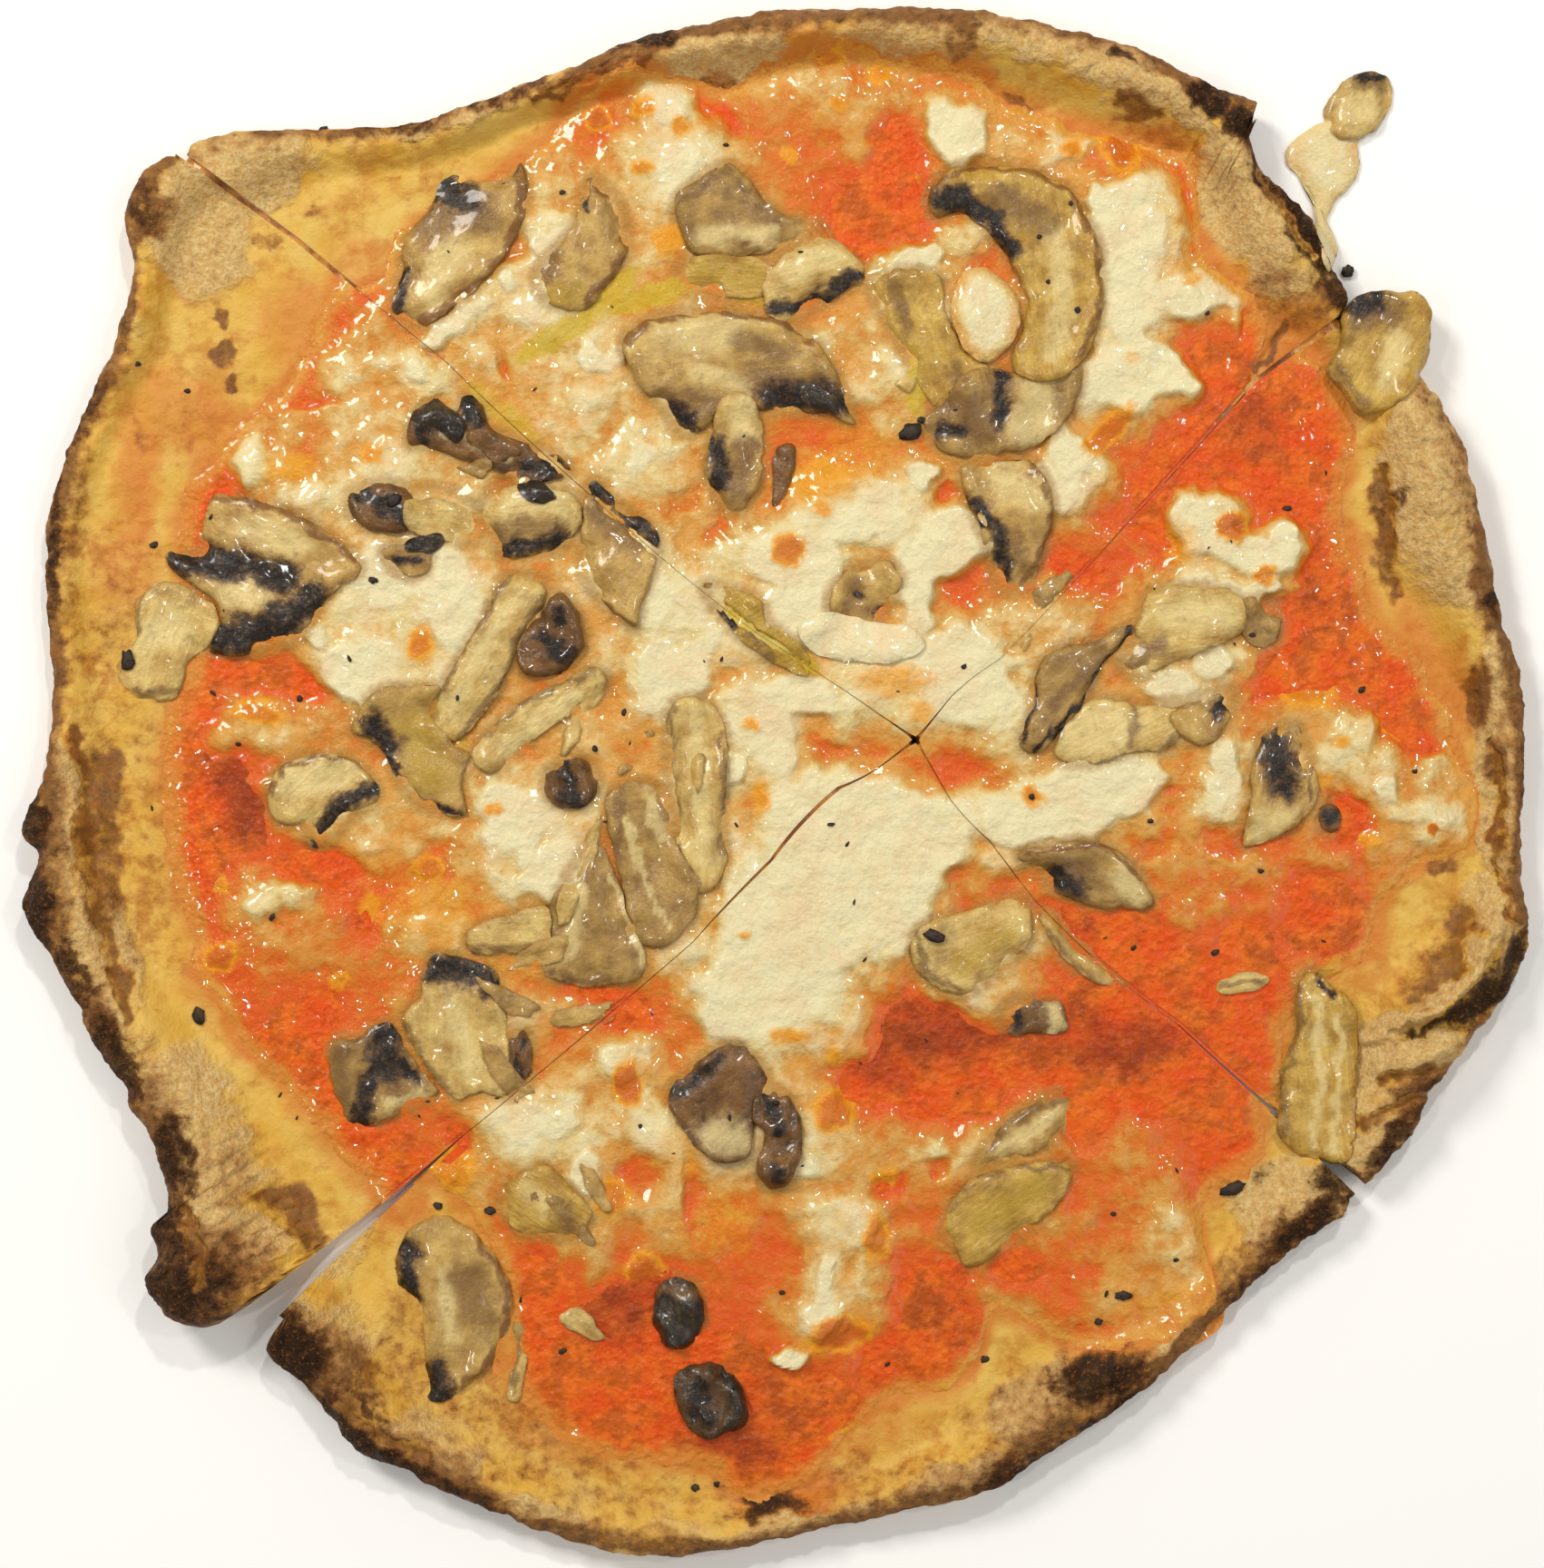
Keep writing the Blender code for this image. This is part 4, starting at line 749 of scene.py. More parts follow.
# Crust with flour baked on, matt and tan.
FLOUR = spots(
    (268, 190, 78, 44, 10), (222, 268, 52, 62, -10), (800, 62, 66, 32, 10), (1210, 62, 120, 40, -18),
    (1020, 45, 90, 28, 0, 0.6), (1370, 225, 46, 78, 20), (1410, 290, 40, 40, 0, 0.9), (1570, 530, 52, 105, 5),
    (1650, 840, 22, 160, 0), (1140, 1545, 60, 40, 30, 0.8), (1420, 1330, 60, 60, 40), (72, 910, 22, 90, 4),
    (720, 1655, 120, 34, 0, 0.35), (600, 1670, 60, 20, -20, 0.9), (900, 1680, 90, 16, 8, 0.9),
    (1060, 1630, 60, 26, 15, 0.9), (480, 1590, 60, 36, -30, 0.8), (270, 1340, 66, 60, 0, 0.9),
    (220, 1230, 50, 90, 25, 0.9), (120, 1060, 34, 90, 12, 0.9), (1640, 1000, 36, 40, 0, 0.8),
    (1530, 1180, 60, 60, 0, 0.8), (350, 1480, 60, 60, 0, 0.7), (1310, 1460, 46, 24, 40, 0.8),
    (1250, 1530, 50, 30, 30, 0.7), (480, 130, 90, 16, 12, 0.7), (640, 85, 60, 14, 18, 0.6),
    (1500, 1250, 50, 50, 0, 0.8), (1600, 640, 50, 30, 0, 0.6), (380, 1380, 20, 40, -40, 0.5),
)

# Dough between the rim and the sauce that sauce and oil have stained orange.
STAIN = spots(
    (150, 520, 24, 90, 0, 0.8), (185, 450, 30, 60, 20, 0.6), (230, 480, 40, 60, 20, 0.7),
    (1420, 380, 44, 50, 0, 0.9), (1300, 180, 80, 24, -10, 0.7), (560, 200, 60, 30, 20, 0.5),
    (1580, 740, 30, 90, 25, 0.8), (860, 1640, 70, 34, 0, 1.0), (560, 1480, 24, 70, 0, 0.7),
    (230, 1080, 30, 60, 20, 0.5), (440, 1330, 40, 30, 40, 0.8), (340, 360, 50, 60, 40, 0.7),
    (620, 1590, 80, 24, -25, 0.5), (960, 1580, 60, 24, 20, 0.5), (1480, 1070, 50, 30, 0, 0.3),
    (140, 620, 40, 60, 0, 0.5), (400, 290, 40, 30, -30, 0.4), (1000, 60, 80, 16, 0, 0.5),
)

# Lines on the dough: how far it rises along each, in mm, half its width in pixels, and what colours it.
FOLDS = (
    (-0.6, 14, "toast", ((1612, 1004), (1604, 1050), (1580, 1086), (1556, 1104))),
    (-3.4, 16, "char", ((1672, 1040), (1650, 1080), (1622, 1108), (1592, 1126), (1556, 1140))),
    (2.4, 9, "flour", (
        (1640, 1018), (1628, 1040), (1622, 1064), (1600, 1090), (1570, 1112), (1530, 1128), (1508, 1146),
    )),
    (1.2, 16, "flour", ((1520, 1176), (1556, 1158), (1590, 1150))),
    (-0.8, 5, "toast", ((1646, 820), (1652, 900), (1650, 960), (1660, 1012))),
    (-0.7, 7, "toast", ((1520, 520), (1532, 560), (1530, 620), (1540, 660))),
    (-0.8, 6, "toast", ((1520, 1190), (1560, 1180), (1610, 1166), (1640, 1130))),
    (-0.8, 6, "toast", ((1500, 1240), (1540, 1215), (1580, 1200))),
    (-0.8, 7, "toast", ((210, 1330), (230, 1370), (225, 1410))),
    (-0.6, 16, "toast", ((300, 1318), (322, 1340), (346, 1366))),
    (-0.6, 8, "toast", ((86, 800), (96, 880), (104, 960), (120, 1040), (150, 1120))),
    (-0.5, 6, "toast", ((700, 70), (640, 92), (590, 118))),
    (-0.6, 6, "toast", ((1420, 360), (1390, 400), (1376, 425))),
    (-0.6, 7, "toast", ((380, 1540), (420, 1580), (470, 1600))),
    (1.0, 10, "flour", ((1246, 96), (1290, 110), (1330, 150), (1352, 190))),
    (-0.7, 5, "toast", ((1384, 176), (1392, 210), (1420, 250), (1448, 290))),
)


# The raster that remembers how high things lie ------------------------------------------------
class Raster:
    """Heights on a square grid over the pizza."""

    def __init__(self, cell: float, half: float = 0.165) -> None:
        """Makes it flat.

        Args:
            cell: from one point to the next, in metres.
            half: from the origin to a side, in metres.
        """
        self.cell, self.half = cell, half
        self.count = int(2 * half / cell) + 1
        self.z = np.zeros((self.count, self.count))

    def axes(self) -> tuple[Array, Array]:
        """The place of every point.

        Returns:
            Places across and along, in metres, each in rows and columns.
        """
        axis = np.arange(self.count) * self.cell - self.half
        x, y = np.meshgrid(axis, axis)
        return x, y

    def read(self, x: Array, y: Array) -> Array:
        """Heights at places, also between the points.

        Args:
            x: places, in metres.
            y: places, in metres.

        Returns:
            The heights.
        """
        column, row = (np.clip((part + self.half) / self.cell, 0, self.count - 1.001) for part in (x, y))
        i, j = column.astype(int), row.astype(int)
        fx, fy = column - i, row - j
        low = self.z[j, i] * (1 - fx) + self.z[j, i + 1] * fx
        high = self.z[j + 1, i] * (1 - fx) + self.z[j + 1, i + 1] * fx
        return low * (1 - fy) + high * fy

    def softly(self, x: Array, y: Array, far: float) -> Array:
        """Heights averaged over a short way.

        Args:
            x: places, in metres.
            y: places, in metres.
            far: how far off the outermost of the averaged heights are, in metres.

        Returns:
            The averages.
        """
        total = np.zeros(x.shape)
        ways = [(0.0, 0.0)]
        for ring in (0.5, 1.0):
            ways += [(ring * math.cos(a), ring * math.sin(a)) for a in np.arange(0, 2 * math.pi, math.pi / 4)]
        for right, up in ways:
            total += self.read(x + right * far, y + up * far)
        return total / len(ways)

    def lay(self, x: Array, y: Array, z: Array) -> None:
        """Raises the points under a piece.

        Args:
            x: the piece's places, in metres, in rows and columns.
            y: the same.
            z: its heights there.
        """
        for _ in range(2):
            x, y, z = (self._finer(part) for part in (x, y, z))
        column, row = (
            np.clip(np.rint((part + self.half) / self.cell).astype(int), 0, self.count - 1) for part in (x, y)
        )
        np.maximum.at(self.z, (row.ravel(), column.ravel()), z.ravel())

    @staticmethod
    def _finer(part: Array) -> Array:
        """Puts one more number between each two of a grid.

        Args:
            part: the grid.

        Returns:
            The finer grid.
        """
        wide = np.repeat(part, 2, axis=1)[:, :-1]
        wide[:, 1::2] = (part[:, :-1] + part[:, 1:]) / 2
        tall = np.repeat(wide, 2, axis=0)[:-1]
        tall[1::2] = (wide[:-1] + wide[1:]) / 2
        return tall


# Making meshes --------------------------------------------------------------------------------
JOIN_DISTANCE = 2e-6  # corners closer than this are one


def ridden(name: str, mesh: bpy.types.Mesh) -> bpy.types.Object:
    """Makes a finished mesh a piece that goes with the pizza.

    Args:
        name: the piece's name.
        mesh: its mesh, with its finish on it.

    Returns:
        The piece's object.
    """
    made = bpy.data.objects.new(name, mesh)
    bpy.context.scene.collection.objects.link(made)
    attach(made, "root")
    return made


def finished(
    name: str, mesh: bpy.types.Mesh, material: bpy.types.Material, crease: float, node: str = ""
) -> bpy.types.Object:
    """Closes a shaped mesh and makes it a piece.

    Args:
        name: the piece's name.
        mesh: its shaped faces.
        material: its finish.
        crease: edges sharper than this many degrees stay sharp.
        node: the solid that it replaces, or "" for none.

    Returns:
        The piece's object.
    """
    work = bmesh.new()
    work.from_mesh(mesh)
    bmesh.ops.remove_doubles(work, verts=work.verts, dist=JOIN_DISTANCE)
    open_edges = [e for e in work.edges if e.is_boundary]
    if open_edges:
        bmesh.ops.holes_fill(work, edges=open_edges, sides=0)
    loose = [v for v in work.verts if not v.link_faces]
    bmesh.ops.delete(work, geom=loose, context="VERTS")
    bmesh.ops.recalc_face_normals(work, faces=work.faces)
    work.to_mesh(mesh)
    work.free()
    mesh.materials.append(material)
    mesh.shade_smooth()
    mesh.set_sharp_from_angle(angle=math.radians(crease))
    made = ridden(name, mesh)
    if node:
        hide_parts(node)
    return made


def corners_of(work: bmesh.types.BMesh, name: str) -> tuple[bpy.types.Mesh, Array]:
    """Turns a bmesh into a mesh.

    Args:
        work: the bmesh, which is freed.
        name: the mesh's name.

    Returns:
        The mesh, and one row for each axis with the places of its corners.
    """
    mesh = bpy.data.meshes.new(name)
    work.to_mesh(mesh)
    work.free()
    corners = np.empty(len(mesh.vertices) * 3)
    mesh.vertices.foreach_get("co", corners)
    return mesh, corners.reshape(-1, 3).T


def shaped(mesh: bpy.types.Mesh, places: Array, tags: dict[str, Array]) -> bpy.types.Mesh:
    """Moves a mesh's corners, and stores what varies over it for its finish to read.

    Args:
        mesh: the mesh.
        places: one row for each corner.
        tags: one number for each corner, under each tag's name.

    Returns:
        The same mesh.
    """
    mesh.vertices.foreach_set("co", np.ascontiguousarray(places, dtype=np.float32).ravel())
    for name, numbers in tags.items():
        layer = mesh.attributes.new(name=name, type="FLOAT", domain="POINT")
        layer.data.foreach_set("value", np.ascontiguousarray(numbers, dtype=np.float32).ravel())
    return mesh


Shape = Callable[[Array, Array, Array], tuple[Array, dict[str, Array]]]


def layer_mesh(name: str, columns: int, rows: int, skirt: int, shape: Shape) -> bpy.types.Mesh:
    """A grid with a skirt round it, moved into place.

    Args:
        name: the mesh's name.
        columns: faces across.
        rows: faces from the tip outwards.
        skirt: rows of faces down the sides.
        shape: gives places and tags for the shares across and outwards, and the share down the side.

    Returns:
        The mesh, open underneath.
    """
    work = bmesh.new()
    bmesh.ops.create_grid(work, x_segments=columns, y_segments=rows, size=0.5)
    bmesh.ops.translate(work, verts=work.verts, vec=(0.5, 0.5, 0))
    edges = [e for e in work.edges if e.is_boundary]
    for _ in range(skirt):
        grown = bmesh.ops.extrude_edge_only(work, edges=edges)["geom"]
        corners = [g for g in grown if isinstance(g, bmesh.types.BMVert)]
        bmesh.ops.translate(work, verts=corners, vec=(0, 0, 1))
        edges = [g for g in grown if isinstance(g, bmesh.types.BMEdge) and g.is_boundary]
    mesh, (u, v, down) = corners_of(work, name)
    return shaped(mesh, *shape(u, v, down / max(skirt, 1)))


def slab_mesh(name: str, lower: Array, upper: Array, tags: dict[str, Array]) -> bpy.types.Mesh:
    """A slab between a lower and an upper grid of places.

    Args:
        name: the mesh's name.
        lower: places under it, in rows and columns.
        upper: places over it.
        tags: what varies over it, in the same rows and columns.

    Returns:
        The closed mesh.
    """
    rows, columns = lower.shape[0] - 1, lower.shape[1] - 1
    work = bmesh.new()
    bmesh.ops.create_grid(work, x_segments=columns, y_segments=rows, size=0.5)
    bmesh.ops.translate(work, verts=work.verts, vec=(0.5, 0.5, 0))
    grown = bmesh.ops.extrude_face_region(work, geom=work.faces[:])["geom"]
    corners = [g for g in grown if isinstance(g, bmesh.types.BMVert)]
    bmesh.ops.translate(work, verts=corners, vec=(0, 0, 1))
    mesh, (u, v, level) = corners_of(work, name)
    i, j = np.rint(u * columns).astype(int), np.rint(v * rows).astype(int)
    places = np.where(level[:, None] > 0.5, upper[j, i], lower[j, i])
    return shaped(mesh, places, {key: numbers[j, i] for key, numbers in tags.items()})


# Finishes -------------------------------------------------------------------------------------
Colour = tuple[float, float, float, float]
Triple = tuple[float, float, float]

# How far each part of a colour stays under what is seen, as the light's reflection lies over it.
UNDER_LIGHT = (0.82, 0.80, 0.68)
LIGHT_REACH = 0.0015  # how far light goes into what is baked or wet


def shade(red: float, green: float, blue: float) -> Colour:
    """The colour of a surface, from how it is seen.

    Args:
        red: the red that is seen, from 0 to 255.
        green: the same for green.
        blue: the same for blue.

    Returns:
        The colour as the renderer counts it.
    """

    def linear(part: float) -> float:
        """One part, as the renderer counts it."""
        part /= 255
        return part / 12.92 if part <= 0.04045 else ((part + 0.055) / 1.055) ** 2.4

    return (*(linear(part) * under for part, under in zip((red, green, blue), UNDER_LIGHT)), 1.0)


class Value:
    """A number that varies over a surface. Sums and products of it add Math nodes."""

    def __init__(self, paint: "Paint", socket: bpy.types.NodeSocket) -> None:
        """Wraps a socket."""
        self.paint, self.socket = paint, socket

    def math(self, operation: str, first: Any, second: Any = 0.0, clamp: bool = False) -> "Value":
        """Adds one Math node.

        Args:
            operation: what it does.
            first: its first number or value.
            second: its second one.
            clamp: whether the result is kept between 0 and 1.

        Returns:
            The result.
        """
        settings = {"operation": operation, "use_clamp": clamp}
        return Value(self.paint, self.paint.node("ShaderNodeMath", settings, {0: first, 1: second}).outputs[0])

    def __add__(self, other: Any) -> "Value":
        """self + other."""
        return self.math("ADD", self, other)

    def __radd__(self, other: Any) -> "Value":
        """other + self."""
        return self.math("ADD", other, self)

    def __sub__(self, other: Any) -> "Value":
        """self - other."""
        return self.math("SUBTRACT", self, other)

    def __rsub__(self, other: Any) -> "Value":
        """other - self."""
        return self.math("SUBTRACT", other, self)

    def __mul__(self, other: Any) -> "Value":
        """self * other."""
        return self.math("MULTIPLY", self, other)

    def __rmul__(self, other: Any) -> "Value":
        """other * self."""
        return self.math("MULTIPLY", other, self)

    def step(self, low: float, high: float) -> "Value":
        """An S from 0 to 1.

        Args:
            low: where it starts.
            high: where it ends.

        Returns:
            0 below low, 1 above high, and the S between.
        """
        node = self.paint.node(
            "ShaderNodeMapRange",
            {"interpolation_type": "SMOOTHSTEP", "clamp": True},
            {"Value": self, "From Min": low, "From Max": high, "To Min": 0.0, "To Max": 1.0},
        )
        return Value(self.paint, node.outputs["Result"])

    def held(self) -> "Value":
        """The value kept between 0 and 1."""
        return self.math("ADD", self, 0.0, clamp=True)


class Paint:
    """The nodes of one material."""

    def __init__(self, name: str) -> None:
        """Starts a material with a Principled shader.

        Args:
            name: the material's name.
        """
        self.material = bpy.data.materials.new(name)
        self.material.use_nodes = True
        self.tree = self.material.node_tree
        self.shader = self.tree.nodes["Principled BSDF"]
        self.place = self.node("ShaderNodeTexCoord", {}, {}).outputs["Object"]

    def node(self, kind: str, settings: dict[str, Any], inputs: dict[Any, Any]) -> bpy.types.Node:
        """Adds a node.

        Args:
            kind: its type.
            settings: its own settings, set first. The stops of a ramp are pairs of a place and a colour.
            inputs: the value, or what is linked, at each input socket.

        Returns:
            The node.
        """
        made = self.tree.nodes.new(kind)
        for key, given in settings.items():
            if key == "stops":
                stops = made.color_ramp.elements
                stops[0].position, stops[0].color = given[0]
                stops[1].position, stops[1].color = given[-1]
                for at, colour in given[1:-1]:
                    stops.new(at).color = colour
            else:
                setattr(made, key, given)
        for key, given in inputs.items():
            if isinstance(given, Value):
                self.tree.links.new(given.socket, made.inputs[key])
            elif isinstance(given, bpy.types.NodeSocket):
                self.tree.links.new(given, made.inputs[key])
            else:
                made.inputs[key].default_value = given
        return made

    def tagged(self, name: str) -> Value:
        """What a mesh was tagged with."""
        return Value(self, self.node("ShaderNodeAttribute", {"attribute_name": name}, {}).outputs["Fac"])

    def noise(self, length: float, detail: float = 3.0, where: Any = None, rough: float = 0.55) -> Value:
        """Noise over the surface.

        Args:
            length: from one bump to the next, in metres.
            detail: how many finer layers lie over it.
            where: the places to read it at, or None for the piece's own.
            rough: how strong each layer is, against the last.

        Returns:
            The noise, from 0 to 1.
        """
        made = self.node(
            "ShaderNodeTexNoise",
            {"noise_dimensions": "3D"},
            {"Vector": where or self.place, "Scale": 1 / length, "Detail": detail, "Roughness": rough},
        )
        return Value(self, made.outputs["Fac"])

    def cells(self, length: float) -> Value:
        """Distance from scattered points that are about a length apart."""
        made = self.node("ShaderNodeTexVoronoi", {}, {"Vector": self.place, "Scale": 1 / length})
        return Value(self, made.outputs["Distance"])

    def stretched(self, along: str, across: str, ratio: float) -> bpy.types.NodeSocket:
        """Places in a piece's own grain, drawn out along it.

        Args:
            along: the tag for places along the grain.
            across: the tag for places across it.
            ratio: how much slower they change along it.

        Returns:
            The places.
        """
        parts = {"X": self.tagged(along) * ratio, "Y": self.tagged(across)}
        return self.node("ShaderNodeCombineXYZ", {}, parts).outputs["Vector"]

    def ramped(self, factor: Any, stops: Sequence[tuple[float, Colour]]) -> bpy.types.NodeSocket:
        """Colours one after another along a value."""
        return self.node("ShaderNodeValToRGB", {"stops": stops}, {"Fac": factor}).outputs["Color"]

    def mixed(self, factor: Any, first: Any, second: Any) -> bpy.types.NodeSocket:
        """One colour turning into another."""
        made = self.node("ShaderNodeMix", {"data_type": "RGBA"}, {0: factor, 6: first, 7: second})
        return made.outputs[2]

    def bumped(self, height: Value, distance: float, strength: float = 1.0) -> None:
        """Gives the surface fine relief.

        Args:
            height: the relief, from 0 to 1.
            distance: how deep it is, in metres.
            strength: how strongly it shows.
        """
        made = self.node("ShaderNodeBump", {}, {"Height": height, "Distance": distance, "Strength": strength})
        self.feed("Normal", made.outputs["Normal"])

    def feed(self, name: str, given: Any) -> None:
        """Sets or links one input of the shader.

        Args:
            name: the input.
            given: its value, or what is linked to it.
        """
        if isinstance(given, Value):
            given = given.socket
        if isinstance(given, bpy.types.NodeSocket):
            self.tree.links.new(given, self.shader.inputs[name])
        else:
            self.shader.inputs[name].default_value = given

    def tinted(
        self, under: Any, tag: str, spread: Value, span: tuple[float, float], most: float, over: Any
    ) -> bpy.types.NodeSocket:
        """Lays a colour over what is tagged for it, with a broken edge.

        Args:
            under: the colour so far.
            tag: the tag.
            spread: noise about 0, which breaks the edge.
            span: where the colour starts and where it is full.
            most: how strong it is at the most.
            over: the colour that is laid.

        Returns:
            The colour with the other one on it.
        """
        return self.mixed((self.tagged(tag) + spread).step(*span) * most, under, over)

    def wet(self, coat: float, coat_roughness: float, gloss: float) -> None:
        """Puts a wet film over the surface.

        Args:
            coat: how strong the film is.
            coat_roughness: how dull it is.
            gloss: how strongly the surface under it shines.
        """
        self.feed("Coat Weight", coat)
        self.feed("Coat Roughness", coat_roughness)
        self.feed("Specular IOR Level", gloss)

    def juicy(self, weight: float, radius: Triple) -> bpy.types.Material:
        """Lets light into the surface, which is the last touch on it.

        Args:
            weight: how much light goes in.
            radius: how far its red, green and blue go, against one another.

        Returns:
            The material.
        """
        self.feed("Subsurface Weight", weight)
        self.feed("Subsurface Radius", radius)
        self.feed("Subsurface Scale", LIGHT_REACH)
        return self.material


@dataclass(frozen=True)
class CrustFinish:
    """Baked dough: oily gold inside, floured and matt outside, toasted and charred in places."""

    gold: Colour = shade(234, 182, 72)
    amber: Colour = shade(206, 130, 40)
    pale: Colour = shade(244, 210, 122)
    flour: Colour = shade(232, 186, 118)
    floury: Colour = shade(252, 224, 168)
    speck: Colour = shade(164, 110, 56)
    stain: Colour = shade(222, 124, 44)
    toast: Colour = shade(194, 112, 34)
    dark_toast: Colour = shade(96, 58, 28)
    char: Colour = shade(50, 34, 20)

    def material(self) -> bpy.types.Material:
        """Makes the material.

        Returns:
            The material.
        """
        paint = Paint("baked_dough")
        fine = paint.noise(0.0008, 4)
        grit = paint.noise(0.0016, 5, rough=0.7)
        broad = paint.noise(0.008, 4)
        middle = paint.noise(0.003, 4, rough=0.6)
        colour = paint.mixed((broad * 2.0 - 0.6).held(), self.gold, self.pale)
        colour = paint.mixed((paint.noise(0.013, 3) + middle - 0.5).step(0.45, 0.75) * 0.6, colour, self.amber)
        stained = (paint.tagged("stain") * (0.2 + broad + middle * 0.6)).held()
        colour = paint.mixed(stained * 0.9, colour, self.stain)
        dust = (paint.tagged("flour") + (broad - 0.5) * 0.9 + (middle - 0.5) * 0.5).step(0.2, 0.75)
        powder = paint.mixed(fine.step(0.38, 0.66), self.flour, self.floury)
        powder = paint.mixed(grit.step(0.52, 0.66) * 0.6, powder, self.speck)
        colour = paint.mixed(dust, colour, powder)
        toast = (paint.tagged("toast") + (middle - 0.5) * 1.3 + (grit - 0.5) * 0.4).step(0.15, 1.0)
        scorched = paint.mixed((toast * grit * 1.5).held(), self.toast, self.dark_toast)
        colour = paint.mixed(toast * 0.88, colour, scorched)
        char = (paint.tagged("char") + (middle - 0.5) * 0.9 + (grit - 0.5) * 1.2).step(0.15, 1.05)
        colour = paint.mixed(char.step(0.0, 0.55) * 0.8, colour, self.dark_toast)
        colour = paint.mixed(char.step(0.42, 0.95) * 0.92, colour, self.char)
        colour = paint.mixed(fine.step(0.54, 0.7) * char.held() * 0.5, colour, self.toast)
        paint.feed("Base Color", colour)
        paint.feed("Roughness", (0.4 + dust * 0.45 + char * 0.25).held())
        paint.feed("Specular IOR Level", 0.25)
        paint.bumped((fine * 0.35 + grit * 0.8 + middle * 0.5) * (0.3 + dust * 0.7 + char * 0.3), 0.0012, 0.85)
        return paint.juicy(0.1, (0.9, 0.5, 0.25))


@dataclass(frozen=True)
class SauceFinish:
    """Tomato sauce: wet, pulpy, dark where it has cooked down and golden where it thins out on the dough."""

    red: Colour = shade(242, 88, 14)
    bright: Colour = shade(250, 126, 28)
    deep: Colour = shade(146, 50, 18)
    seed: Colour = shade(120, 38, 14)
    amber: Colour = shade(228, 138, 52)
    gold: Colour = shade(226, 146, 62)

    def material(self) -> bpy.types.Material:
        """Makes the material.

        Returns:
            The material.
        """
        paint = Paint("tomato_sauce")
        pulp = paint.noise(0.0016, 4)
        broad = paint.noise(0.008, 4)
        middle = paint.noise(0.0035, 4, rough=0.6)
        colour = paint.mixed(broad.step(0.35, 0.65), self.red, self.bright)
        colour = paint.mixed((middle + broad - 0.5).step(0.45, 0.7) * 0.45, colour, self.deep)
        colour = paint.mixed(pulp.step(0.5, 0.75) * 0.35, colour, self.deep)
        deep = (paint.tagged("deep") + (broad - 0.5) * 0.8 + (middle - 0.5) * 0.5).step(0.15, 1.0)
        colour = paint.mixed(deep * 0.8, colour, self.deep)
        colour = paint.mixed(paint.noise(0.0009, 2).step(0.66, 0.74) * 0.4, colour, self.seed)
        inside = paint.tagged("inside") + (middle - 0.5) * 0.9 + (broad - 0.5) * 0.6
        colour = paint.mixed(inside.step(0.25, 1.0), self.amber, colour)
        colour = paint.mixed(inside.step(0.0, 0.45), self.gold, colour)
        paint.feed("Base Color", colour)
        paint.feed("Roughness", (0.06 + pulp * 0.34).held())
        paint.bumped(pulp * 0.7 + broad * 0.5 + paint.cells(0.0013) * 0.35, 0.0011, 0.8)
        paint.wet(0.28, 0.06, 0.16)
        return paint.juicy(0.1, (0.8, 0.2, 0.1))


@dataclass(frozen=True)
class CheeseFinish:
    """Melted cheese: white where it lies thick, and golden, orange, then red as it thins into the sauce."""

    stops: tuple[tuple[float, Colour], ...] = (
        (0.0, shade(236, 86, 18)),
        (0.18, shade(236, 104, 24)),
        (0.34, shade(228, 126, 32)),
        (0.48, shade(222, 148, 60)),
        (0.60, shade(228, 182, 106)),
        (0.72, shade(242, 218, 160)),
        (0.95, shade(250, 241, 206)),
    )
    blush: Colour = shade(240, 160, 100)
    brown: Colour = shade(250, 172, 14)
    dark_brown: Colour = shade(216, 110, 10)
    oil: Colour = shade(218, 186, 30)
    juice: Colour = shade(176, 128, 52)
    gold: Colour = shade(232, 168, 70)

    def material(self) -> bpy.types.Material:
        """Makes the material.

        Returns:
            The material.
        """
        paint = Paint("melted_cheese")
        broad = paint.noise(0.009, 4)
        middle = paint.noise(0.0034, 5, rough=0.62)
        fine = paint.noise(0.0011, 3)
        level = paint.tagged("milk") + (middle - 0.5) * 0.44 + (fine - 0.5) * 0.22 + (broad - 0.5) * 0.2
        colour = paint.ramped(level, self.stops)
        buttery = level.step(0.3, 0.5) * (1.0 - level.step(0.55, 0.9)) * broad.step(0.42, 0.62)
        colour = paint.mixed(buttery * 0.75, colour, self.gold)
        flushed = (broad + fine * 0.4).step(0.6, 0.95) * level.step(0.3, 0.6)
        colour = paint.mixed(flushed * 0.25, colour, self.blush)
        inside = paint.tagged("inside") + (middle - 0.5) * 0.8
        colour = paint.mixed(inside.step(0.0, 0.7), self.gold, colour)
        juice = (paint.tagged("juice") * (0.4 + broad) + (middle - 0.5) * 0.6).step(0.2, 0.9)
        colour = paint.mixed(juice * 0.6, colour, self.juice)
        colour = paint.tinted(colour, "oil", (middle - 0.5) * 0.7, (0.25, 1.0), 0.75, self.oil)
        brown = (paint.tagged("brown") + (fine - 0.5) * 0.4 + (middle - 0.5) * 0.4).step(0.08, 0.7)
        scorched = paint.mixed((brown * paint.tagged("brown")).step(0.4, 1.0), self.brown, self.dark_brown)
        colour = paint.mixed(brown * 0.95, colour, scorched)
        paint.feed("Base Color", colour)
        paint.feed("Roughness", (0.04 + middle * 0.32).held())
        paint.bumped(middle * 0.6 + fine * 0.5, 0.0011, 0.8)
        paint.wet(0.55, 0.06, 0.2)
        return paint.juicy(0.15, (1.0, 0.7, 0.4))


